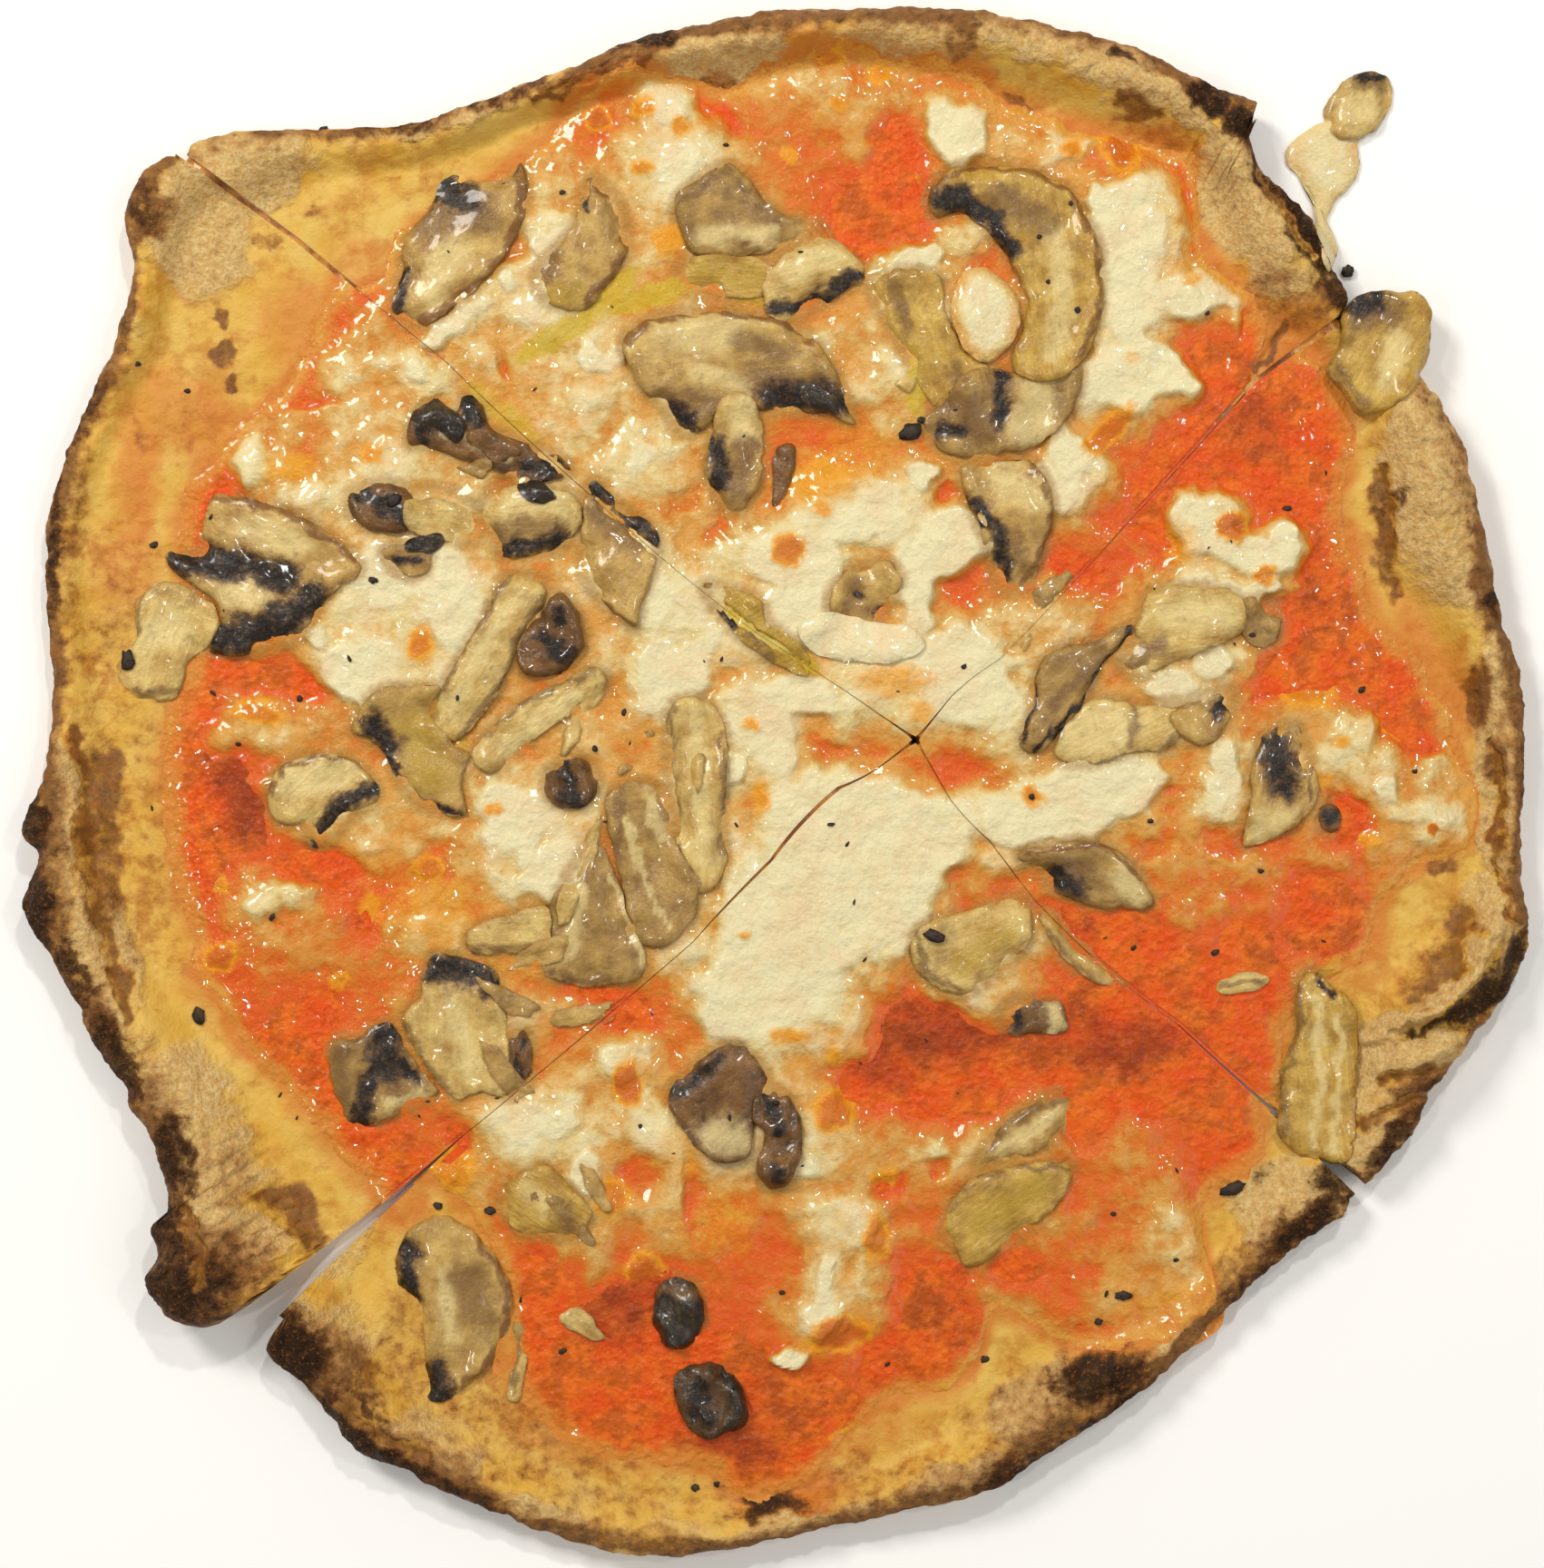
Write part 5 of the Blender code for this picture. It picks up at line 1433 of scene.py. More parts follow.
class Flesh(Enum):
    """The look of a mushroom slice's flesh."""

    TAN = "tan"
    PALE = "pale"
    YELLOW = "yellow"
    GREY = "grey"
    BROWN = "brown"
    BLACK = "black"


@dataclass(frozen=True)
class MushroomFinish:
    """Cooked mushroom: wet, with dark gills that bleed into pale flesh, a thin brown skin, and painted shade
    round its edge.
    """

    flesh: Flesh
    light: Colour
    dark: Colour
    fibres: float  # how clearly its fibres show
    soak: float = 0.38  # how brown its wet patches are
    gill: Colour = shade(28, 20, 16)
    bruise: Colour = shade(116, 82, 48)
    skin: Colour = shade(126, 78, 36)
    brown: Colour = shade(126, 92, 56)
    cream: Colour = shade(246, 226, 168)
    olive: Colour = shade(190, 156, 52)

    def material(self) -> bpy.types.Material:
        """Makes the material.

        Returns:
            The material.
        """
        paint = Paint(f"mushroom_{self.flesh.value}")
        fibre = paint.noise(0.0010, 3, paint.stretched("along", "across", 0.2))
        coarse = paint.noise(0.0045, 4)
        middle = paint.noise(0.0020, 4, rough=0.6)
        fine = paint.noise(0.0009, 3)
        grain = (fibre - 0.5) * self.fibres
        mottle = (grain * 1.1 + coarse * 2.1 + (middle - 0.5) * 0.7 - 0.5).held()
        colour = paint.mixed(mottle, self.dark, self.light)
        soaked = (paint.noise(0.0075, 4, rough=0.6) + (middle - 0.5) * 0.3).step(0.46, 0.72)
        colour = paint.mixed(soaked * self.soak, colour, self.bruise)
        colour = paint.tinted(colour, "cream", (coarse - 0.5) * 0.9 + grain, (0.05, 1.2), 0.7, self.cream)
        colour = paint.tinted(colour, "olive", (coarse - 0.5) * 0.8, (0.15, 1.1), 0.7, self.olive)
        colour = paint.tinted(colour, "brown", (middle - 0.5) * 0.9, (0.1, 1.2), 0.8, self.brown)
        # A brown band round every outline: partly the skin's rim and partly painted shade at the piece's edge.
        colour = paint.tinted(colour, "rind", (coarse - 0.5) * 1.6, (0.5, 1.3), 0.5, self.brown)
        colour = paint.tinted(colour, "skin", (middle - 0.5) * 0.7, (0.3, 1.0), 0.8, self.skin)
        gill = paint.tagged("gill") + (middle - 0.5) * 1.2 + (fine - 0.5) * 0.6 + grain * 0.5
        colour = paint.mixed((gill + coarse * 0.3).step(0.15, 0.85) * 0.85, colour, self.bruise)
        lamella = paint.mixed(fine.step(0.5, 0.75) * 0.6, self.gill, self.bruise)
        colour = paint.mixed(gill.step(0.38, 1.0), colour, lamella)
        paint.feed("Base Color", colour)
        paint.feed("Roughness", (0.08 + middle * 0.32 + gill * 0.1).held())
        paint.bumped(fibre * self.fibres * 0.7 + middle * 0.6 + coarse * 0.5 + fine * 0.35, 0.0009, 0.7)
        paint.wet(0.3, 0.1, 0.3)
        return paint.juicy(0.12, (1.0, 0.7, 0.4))


@dataclass(frozen=True)
class OilFinish:
    """Oil and cheese juices that have browned in a cut."""

    light: Colour = shade(226, 160, 74)
    dark: Colour = shade(150, 82, 28)

    def material(self) -> bpy.types.Material:
        """Makes the material.

        Returns:
            The material.
        """
        paint = Paint("cut_oil")
        broad = paint.noise(0.007, 4)
        paint.feed("Base Color", paint.mixed(broad.step(0.4, 0.62), self.light, self.dark))
        paint.feed("Roughness", (0.1 + broad * 0.3).held())
        paint.bumped(paint.noise(0.0015, 3), 0.0005, 0.5)
        return paint.material


@dataclass(frozen=True)
class CharFinish:
    """Burnt crumbs and herb flakes."""

    black: Colour = shade(30, 24, 20)
    brown: Colour = shade(74, 48, 28)

    def material(self) -> bpy.types.Material:
        """Makes the material.

        Returns:
            The material.
        """
        paint = Paint("burnt_crumbs")
        grain = paint.noise(0.0012, 4)
        paint.feed("Base Color", paint.mixed(grain.step(0.4, 0.7), self.black, self.brown))
        paint.feed("Roughness", (0.45 + grain * 0.4).held())
        paint.bumped(grain, 0.0006, 0.6)
        return paint.material


# The layers -----------------------------------------------------------------------------------
BUMP_CELL = 0.0015  # grid of the dough's bumps
HEIGHT_CELL = 0.0005  # grid of the heights that pieces are laid on


@dataclass
class Baking:
    """The chance that went into one pizza: its bumps, and how far things ran."""

    seed: int = 7
    bump_length: float = 0.011
    bump_height: float = 0.0016
    bumps: Raster = field(init=False)
    grain: Noise = field(init=False)

    def __post_init__(self) -> None:
        """Works out the dough's large bumps."""
        self.grain = Noise(self.seed)
        self.bumps = Raster(BUMP_CELL)
        x, y = self.bumps.axes()
        flat = [bump_noise(a, b, self.bump_length) for a, b in zip(x.ravel(), y.ravel())]
        self.bumps.z = np.array(flat).reshape(x.shape)

    def drifted(self, x: Array, y: Array, far: float, length: float) -> tuple[Array, Array]:
        """Places moved at random, so that what is drawn at them has an uneven edge.

        Args:
            x: places, in metres.
            y: places, in metres.
            far: how far they move, in metres.
            length: from one bend of an edge to the next.

        Returns:
            The moved places.
        """
        right = self.grain.layered(x + 0.31, y + 0.17, length, 3, 0.55)
        up = self.grain.layered(x + 0.77, y + 0.59, length, 3, 0.55)
        return x + far * right, y + far * up


def bump_noise(x: float, y: float, length: float) -> float:
    """One value of the noise that the dough's solids are also bumped with."""
    return noise.noise(Vector((x, y, 0.0)) / length)


@dataclass
class Dough:
    """One quarter's dough, flat under the toppings and raised to an uneven rim."""

    plan: Plan
    baking: Baking
    columns: int = 520
    under_rows: int = 12  # rows of faces under the toppings
    rows: int = 104
    skirt: int = 18
    edge_wander: float = 0.0005
    evening: tuple[float, ...] = (-0.06, -0.04, -0.02, 0.0, 0.02, 0.04, 0.06)  # turns to even the edge over
    tuck: float = 0.0022  # how far the outer wall draws in at the table
    floor_bumps: float = 0.0007  # height of the bumps between the rim and the sauce
    crags: float = 0.00055  # height of the crust's roughness
    bubbles: float = 0.0007  # height of its small bubbles
    char_crags: float = 0.0006  # height of the roughness of its char
    fold_share: float = 0.8  # width of a fold's relief against that of its colour
    crease: float = 50.0  # edges sharper than this many degrees stay sharp

    def reach(self, angle: Array) -> Array:
        """How far the crust goes, with its small unevenness.

        Args:
            angle: directions from the tip, in radians.

        Returns:
            Distances from the tip, in metres.
        """
        far = self.plan.reach(angle)
        return far + self.edge_wander * self.baking.grain.layered(*self.plan.at(far, angle), 0.006, 4, 0.6)

    def inward(self, radius: Array, angle: Array) -> Array:
        """How far in from the edge a place is, from 0 at the edge to 1 at the rim's inner foot.

        Args:
            radius: distance from the tip, in metres.
            angle: direction from the tip, in radians.

        Returns:
            The share of the rim's width. A notch in the edge fades out inside the rim.
        """
        rim = self.plan.rim(angle)
        edge = self.reach(angle)
        evened = sum(self.reach(angle + turn) for turn in self.evening) / len(self.evening)
        inside = smoothstep((edge - radius) / rim, 0.0, 0.4)
        return np.clip((edge + (evened - edge) * inside - radius) / rim, 0, 1)

    def height(self, x: Array, y: Array) -> Array:
        """How high the dough's upper face is.

        Args:
            x: places, in metres.
            y: places, in metres.

        Returns:
            The heights.
        """
        radius, angle = self.plan.polar(x, y)
        crest = self.plan.crest(angle)
        inward = self.inward(radius, angle)
        climb = (1 - (1 - np.clip(inward / RIM_CREST_AT, 0, 1)) ** 2) ** 0.7
        rise = RIM_EDGE_SHARE + (1 - RIM_EDGE_SHARE) * climb
        fall = np.cos(math.pi / 2 * np.clip((inward - RIM_CREST_AT) / (1 - RIM_CREST_AT), 0, 1)) ** 2
        bare = smoothstep((radius - self.plan.sauce_reach(angle)) / 0.006 + 1)
        z = FLOOR_THICKNESS + (crest - FLOOR_THICKNESS) * rise * fall
        swell = self.baking.bump_height * fall + self.floor_bumps * bare * (1 - fall)
        z += self.baking.bumps.read(x, y) * swell
        grain = self.baking.grain
        crusty = np.maximum(fall, 0.35 * bare)
        z += self.crags * crusty * grain.layered(x + 0.2, y, 0.0042, 4, 0.55)
        bubble = smoothstep(0.42 - grain.cells(x, y, 0.0075), 0, 0.3)
        z += self.bubbles * bubble * fall * smoothstep(grain.layered(x, y + 0.4, 0.02, 2), -0.1, 0.5)
        burnt = covered(CHAR, *self.baking.drifted(x, y, 0.0012, 0.005), 0.7)
        z += self.char_crags * burnt * crusty * grain.layered(x, y, 0.0016, 3, 0.6)
        wx, wy = self.baking.drifted(x, y, 0.0008, 0.004)
        for lift, width, _, line in FOLDS:
            z += lift * MM * stroked(line, width * self.fold_share, wx, wy)
        return z

    def tags(self, x: Array, y: Array, down: Array) -> dict[str, Array]:
        """What baking did to the dough's colour.

        Args:
            x: places, in metres.
            y: places, in metres.
            down: how far down the outer wall each is, from 0 to 1.

        Returns:
            The tags for its finish.
        """
        wx, wy = self.baking.drifted(x, y, 0.0016, 0.006)
        radius, angle = self.plan.polar(x, y)
        outward = 1 - self.inward(radius, angle)
        edge = smoothstep(outward, 0.55, 1.0)
        grain = self.baking.grain
        patchy = 0.5 + 0.5 * grain.layered(x, y, 0.012, 3)
        outside = radius - self.plan.sauce_reach(angle) + 0.0015 * grain.layered(x, y + 0.9, 0.009, 3)
        toast = np.clip(covered(TOAST, wx, wy, 0.9) + (0.2 + 1.1 * patchy) * edge, 0, 1)
        flour = np.clip(covered(FLOUR, wx, wy, 0.8) + 0.45 * smoothstep(outward, 0.3, 0.9), 0, 1)
        tags = {
            "char": np.clip(0.9 * covered(CHAR, wx, wy, 1.0) + 0.3 * edge * patchy, 0, 1),
            "toast": toast * (1 - 0.6 * down),
            "flour": flour * (0.55 + 0.6 * patchy),
            "stain": np.maximum(covered(STAIN, wx, wy, 0.9), 0.9 - smoothstep(outside, -0.001, 0.005)),
        }
        for _, width, name, line in FOLDS:
            here = stroked(line, width, wx, wy)
            for other in ("char", "toast", "flour"):
                tags[other] = np.maximum(tags[other], here) if other == name else tags[other] * (1 - here)
        return tags

    def shape(self, u: Array, v: Array, down: Array) -> tuple[Array, dict[str, Array]]:
        """Lays out the grid's corners.

        Args:
            u: shares across the quarter.
            v: shares from the tip outwards.
            down: how far down the sides each is, from 0 to 1.

        Returns:
            Their places and tags.
        """
        angle = self.plan.end_angle(u)
        reach = self.reach(angle)
        start = np.minimum(self.plan.sauce_reach(angle) - 0.008, reach - 1.05 * self.plan.rim(angle))
        inner = self.under_rows / self.rows
        outward = (v - inner) / (1 - inner)
        radius = np.where(v <= inner, start * v / inner, start + (reach - start) * outward)
        x, y = self.plan.point(u, radius)
        z = self.height(x, y)
        held = np.minimum(radius, reach - self.tuck * down**2.2)
        x, y = self.plan.point(u, held)
        places = np.column_stack((x, y, z * (1 - down)))
        return places, self.tags(x, y, down)

    def build(self, material: bpy.types.Material) -> bpy.types.Object:
        """Makes the dough's mesh and dresses it.

        Args:
            material: its finish.

        Returns:
            The dough's object.
        """
        node = f"dough_{self.plan.quarter.name}"
        mesh = layer_mesh(node, self.columns, self.rows, self.skirt, self.shape)
        return finished(f"{node}_crust", mesh, material, self.crease, node)


@dataclass
class Topping:
    """A sheet over one quarter, laid out in rings from its tip."""

    plan: Plan
    dough: Dough
    baking: Baking
    inset: float = 0.0003  # how far it stays from the cut faces
    root: float = 0.0024  # height inside the dough where its sides end
    wander: float = 0.0016  # how far the sauce's edge strays
    fine_wander: float = 0.0005
    skirt: int = 2  # rows of faces down its sides
    crease: float = 60.0  # edges sharper than this many degrees stay sharp

    def spread(self, u: Array, v: Array, overlap: float, inset: Array | float) -> tuple[Array, Array]:
        """Places of the grid's corners.

        Args:
            u: shares along one side of the grid.
            v: shares along the other.
            overlap: how far past the sauce's edge the grid goes, in metres.
            inset: how far it stays inside the cuts, in metres, which is below 0 where it hangs over them.

        Returns:
            Places in metres.
        """
        ring = np.maximum(u, v)
        share = np.where(u >= v, 0.5 * v / np.maximum(u, 1e-9), 1 - 0.5 * u / np.maximum(v, 1e-9))
        radius = ring * (self.plan.sauce_reach(self.plan.end_angle(share)) + overlap)
        first, last = self.plan.sides(radius)
        inset = inset / (radius + 0.002)
        return self.plan.at(radius, first + inset + share * (last - first - 2 * inset))

    def border(self, x: Array, y: Array) -> Array:
        """How far inside the sauce's uneven edge places are.

        Args:
            x: places, in metres.
            y: places, in metres.

        Returns:
            The distances, in metres, which are below 0 outside it.
        """
        radius, angle = self.plan.polar(x, y)
        grain = self.baking.grain
        coarse = self.wander * grain.layered(x, y + 0.9, 0.009, 3)
        fine = self.fine_wander * grain.layered(x + 0.9, y, 0.0022, 2)
        return self.plan.sauce_reach(angle) - radius + (coarse + fine)

    def inside(self, x: Array, y: Array) -> Array:
        """0 at the sauce's edge, and 1 from a few millimetres inside it."""
        return smoothstep(self.border(x, y), 0.0, 0.006)


@dataclass
class Sauce(Topping):
    """One quarter's tomato sauce."""

    count: int = 190  # faces along each side of its grid
    overlap: float = 0.004
    fill_in: float = 0.008  # from its edge to where it is nearly full
    lump_height: float = 0.00022

    def height(self, x: Array, y: Array) -> Array:
        """How high the sauce's upper face is, which dips into the dough past its edge.

        Args:
            x: places, in metres.
            y: places, in metres.

        Returns:
            The heights.
        """
        inside = self.border(x, y)
        grain = self.baking.grain
        thick = SAUCE_THICKNESS * (1 - np.exp(-np.maximum(inside, 0) / self.fill_in))
        lumps = self.lump_height * grain.layered(x, y, 0.0034, 3) * np.clip(inside / 0.002, 0, 1)
        return self.dough.height(x, y) + thick + lumps + np.clip(0.4 * inside, -0.0008, 0)

    def shape(self, u: Array, v: Array, down: Array) -> tuple[Array, dict[str, Array]]:
        """Lays out the grid's corners.

        Args:
            u: shares along one side of the grid.
            v: shares along the other.
            down: how far down the sides each is, from 0 to 1.

        Returns:
            Their places and tags.
        """
        x, y = self.spread(u, v, self.overlap, self.inset)
        z = self.height(x, y)
        wx, wy = self.baking.drifted(x, y, 0.004, 0.012)
        places = np.column_stack((x, y, z + (self.root - z) * down))
        return places, {"deep": 0.85 * covered(DEEP_SAUCE, wx, wy, 1.5), "inside": self.inside(x, y)}

    def build(self, material: bpy.types.Material) -> bpy.types.Object:
        """Makes the sauce's mesh and dresses it.

        Args:
            material: its finish.

        Returns:
            The sauce's object.
        """
        node = f"sauce_{self.plan.quarter.name}"
        mesh = layer_mesh(node, self.count, self.count, self.skirt, self.shape)
        return finished(f"{node}_layer", mesh, material, self.crease, node)


def juices(x: Array, y: Array) -> Array:
    """How soaked the cheese is by the mushrooms on it.

    Args:
        x: places, in metres.
        y: places, in metres.

    Returns:
        1 at a mushroom slice's outline, and 0 where its juices end.
    """
    found = np.zeros(x.shape)
    for cutting in CUTTINGS:
        line = smooth_line(cutting.outline, JUICE_STEPS, closed=True)
        low, high = line.min(axis=0) - JUICE_REACH, line.max(axis=0) + JUICE_REACH
        near = (x > low[0]) & (x < high[0]) & (y > low[1]) & (y < high[1])
        if near.any():
            gaps = np.hypot(x[near][:, None] - line[:, 0], y[near][:, None] - line[:, 1]).min(axis=1)
            found[near] = np.maximum(found[near], 1 - smoothstep(gaps / JUICE_REACH))
    return found


@dataclass
class Cheese(Topping):
    """One quarter's melted cheese, which sinks out of sight where there is none."""

    sauce: Sauce | None = None
    count: int = 250  # faces along each side of its grid
    overlap: float = 0.003
    inset: float = -0.00043  # it hangs over the cuts
    inset_below: float = 0.0005  # how far its sides draw in at their foot
    blister_height: float = 0.0005
    fine_relief: float = 0.00022
    broad_relief: float = 0.00035
    sunken: float = 0.0004  # how far under the sauce it is where there is none
    ragged: float = 0.19  # how uneven the edges of its patches are
    mottle: float = 0.10  # how strong its small mottles are

    def levels(self, x: Array, y: Array) -> tuple[Array, Array]:
        """How much cheese lies at places: 0 for none, 0.4 where it has run thin and 1 where it is white.

        Args:
            x: places, in metres.
            y: places, in metres.

        Returns:
            The level, and the same with its small mottles.
        """
        grain = self.baking.grain
        wx, wy = self.baking.drifted(x, y, 0.0026, 0.012)
        level = painted(MELT, MELT_BASE, wx, wy)
        loose = smoothstep(level, 0, 0.3) * (1 - 0.75 * smoothstep(level, 0.72, 0.95))
        level += self.ragged * loose * grain.layered(x + 0.5, y + 0.3, 0.0125, 2, 0.6)
        mottled = level + self.mottle * loose * grain.layered(x + 0.2, y + 0.8, 0.0042, 3, 0.6)
        inside = smoothstep(self.border(x, y), -0.0005, 0.0025)
        return level * inside, mottled * inside

    def height(self, x: Array, y: Array) -> tuple[Array, dict[str, Array]]:
        """How high the cheese's upper face is, and how it looks.

        Args:
            x: places, in metres.
            y: places, in metres.

        Returns:
            The heights, and the tags for its finish.
        """
        level, mottled = self.levels(x, y)
        grain = self.baking.grain
        wx, wy = self.baking.drifted(x, y, 0.0009, 0.004)
        brown = covered(BLISTERS, wx, wy, 1.1)
        there = smoothstep(level, 0.05, 0.35) * smoothstep(self.border(x, y), -0.002, 0.008)
        thicker = (CHEESE_THICK - CHEESE_THIN) * smoothstep(level, 0.5, 0.95)
        thick = CHEESE_THIN * smoothstep(level, 0.06, 0.6) + thicker
        thick *= smoothstep(self.border(x, y), -0.001, 0.010)
        thick -= self.sunken * (1 - smoothstep(level, 0.0, 0.14))
        fine = self.fine_relief * grain.layered(x, y, 0.005, 4, 0.5)
        relief = fine + self.broad_relief * grain.layered(x + 0.6, y, 0.012, 2)
        z = self.sauce.height(x, y) + thick + (relief + self.blister_height * brown) * there
        oil = covered(OIL, wx, wy, 0.9)
        return z, {"milk": mottled, "inside": self.inside(x, y), "brown": brown, "oil": oil}

    def shape(self, u: Array, v: Array, down: Array) -> tuple[Array, dict[str, Array]]:
        """Lays out the grid's corners.

        Args:
            u: shares along one side of the grid.
            v: shares along the other.
            down: how far down the sides each is, from 0 to 1.

        Returns:
            Their places and tags.
        """
        x, y = self.spread(u, v, self.overlap, self.inset + (self.inset_below - self.inset) * down)
        z, tags = self.height(x, y)
        tags["juice"] = juices(x, y)
        return np.column_stack((x, y, z + (self.root - z) * down)), tags

    def build(self, material: bpy.types.Material) -> bpy.types.Object:
        """Makes the cheese's mesh and dresses it.

        Args:
            material: its finish.

        Returns:
            The cheese's object.
        """
        node = f"cheese_{self.plan.quarter.name}"
        mesh = layer_mesh(node, self.count, self.count, self.skirt, self.shape)
        return finished(f"{node}_melt", mesh, material, self.crease, node)


class Slice:
    """A quarter of the pizza with its three layers."""

    def __init__(self, quarter: Quarter, baking: Baking) -> None:
        """Plans the layers.

        Args:
            quarter: where the quarter lies.
            baking: the chance that went into the pizza.
        """
        self.plan = Plan(quarter)
        self.dough = Dough(self.plan, baking)
        self.sauce = Sauce(self.plan, self.dough, baking)
        self.cheese = Cheese(self.plan, self.dough, baking, sauce=self.sauce)

    def build(self, finishes: "Finishes") -> list[bpy.types.Object]:
        """Makes the three layers.

        Args:
            finishes: the pizza's finishes.

        Returns:
            Their objects, from the lowest up.
        """
        return [
            self.dough.build(finishes.crust),
            self.sauce.build(finishes.sauce),
            self.cheese.build(finishes.cheese),
        ]

    def mark(self, heights: Raster) -> None:
        """Writes the slice's upper face into a raster.

        Args:
            heights: the raster.
        """
        x, y = heights.axes()
        radius, angle = self.plan.polar(x, y)
        first, last = self.plan.sides(radius)
        here = (angle > first) & (angle < last) & (radius < self.dough.reach(angle))
        x, y = x[here], y[here]
        top = np.maximum(self.dough.height(x, y), self.sauce.height(x, y))
        heights.z[here] = np.maximum(top, self.cheese.height(x, y)[0])


class Finishes:
    """Every finish on the pizza."""

    def __init__(self) -> None:
        """Makes the materials."""
        self.crust = CrustFinish().material()
        self.sauce = SauceFinish().material()
        self.cheese = CheeseFinish().material()
        self.char = CharFinish().material()
        self.oil = OilFinish().material()
        tones = {
            Flesh.TAN: (shade(230, 194, 118), shade(166, 122, 60), 0.35),
            Flesh.PALE: (shade(242, 214, 140), shade(192, 148, 78), 0.7),
            Flesh.YELLOW: (shade(228, 190, 96), shade(176, 130, 52), 0.9),
            Flesh.GREY: (shade(208, 170, 100), shade(130, 94, 50), 0.35),
            Flesh.BROWN: (shade(150, 106, 58), shade(70, 46, 26), 0.4, 0.2),
            Flesh.BLACK: (shade(62, 50, 38), shade(22, 16, 12), 0.5, 0.0),
        }
        self.flesh = {kind: MushroomFinish(kind, *given).material() for kind, given in tones.items()}


# Mushrooms ------------------------------------------------------------------------------------
class Tone(Enum):
    """What a mark on a mushroom slice shows. The value is the name of its tag."""

    GILL = "gill"
    SKIN = "skin"
    BROWN = "brown"
    CREAM = "cream"
    OLIVE = "olive"


class Mark(NamedTuple):
    """A stroke of tone along a line of pixels. Its width is from the line to its edge, in pixels."""

    tone: Tone
    width: float
    line: tuple[tuple[float, float], ...]


class Cutting(NamedTuple):
    """One piece of mushroom as it lies on the pizza."""

    name: str
    flesh: Flesh
    grain: float  # direction of its fibres, anticlockwise from +X in degrees
    outline: tuple[tuple[float, float], ...]  # pixels
    marks: tuple[Mark, ...] = ()
    thickness: float = MUSHROOM_THICKNESS
    curl: float = 0.5  # how far its edge stands up, in mm
    crumple: float = 1.0  # how strong its wrinkles are

    @property
    def node(self) -> str:
        """The solid that the piece stands for, or "" where it is too small to have one.

        Returns:
            The solid's name. Only pieces with a number of two digits, and the stray one, have one.
        """
        if self.name == "stray":
            return "mushroom_stray"
        side, _, rest = self.name.partition("_")
        return f"mushroom_{side}_{rest[:2]}" if side != "shred" and rest[:2].isdigit() else ""


G, S, B, C, O = Tone.GILL, Tone.SKIN, Tone.BROWN, Tone.CREAM, Tone.OLIVE

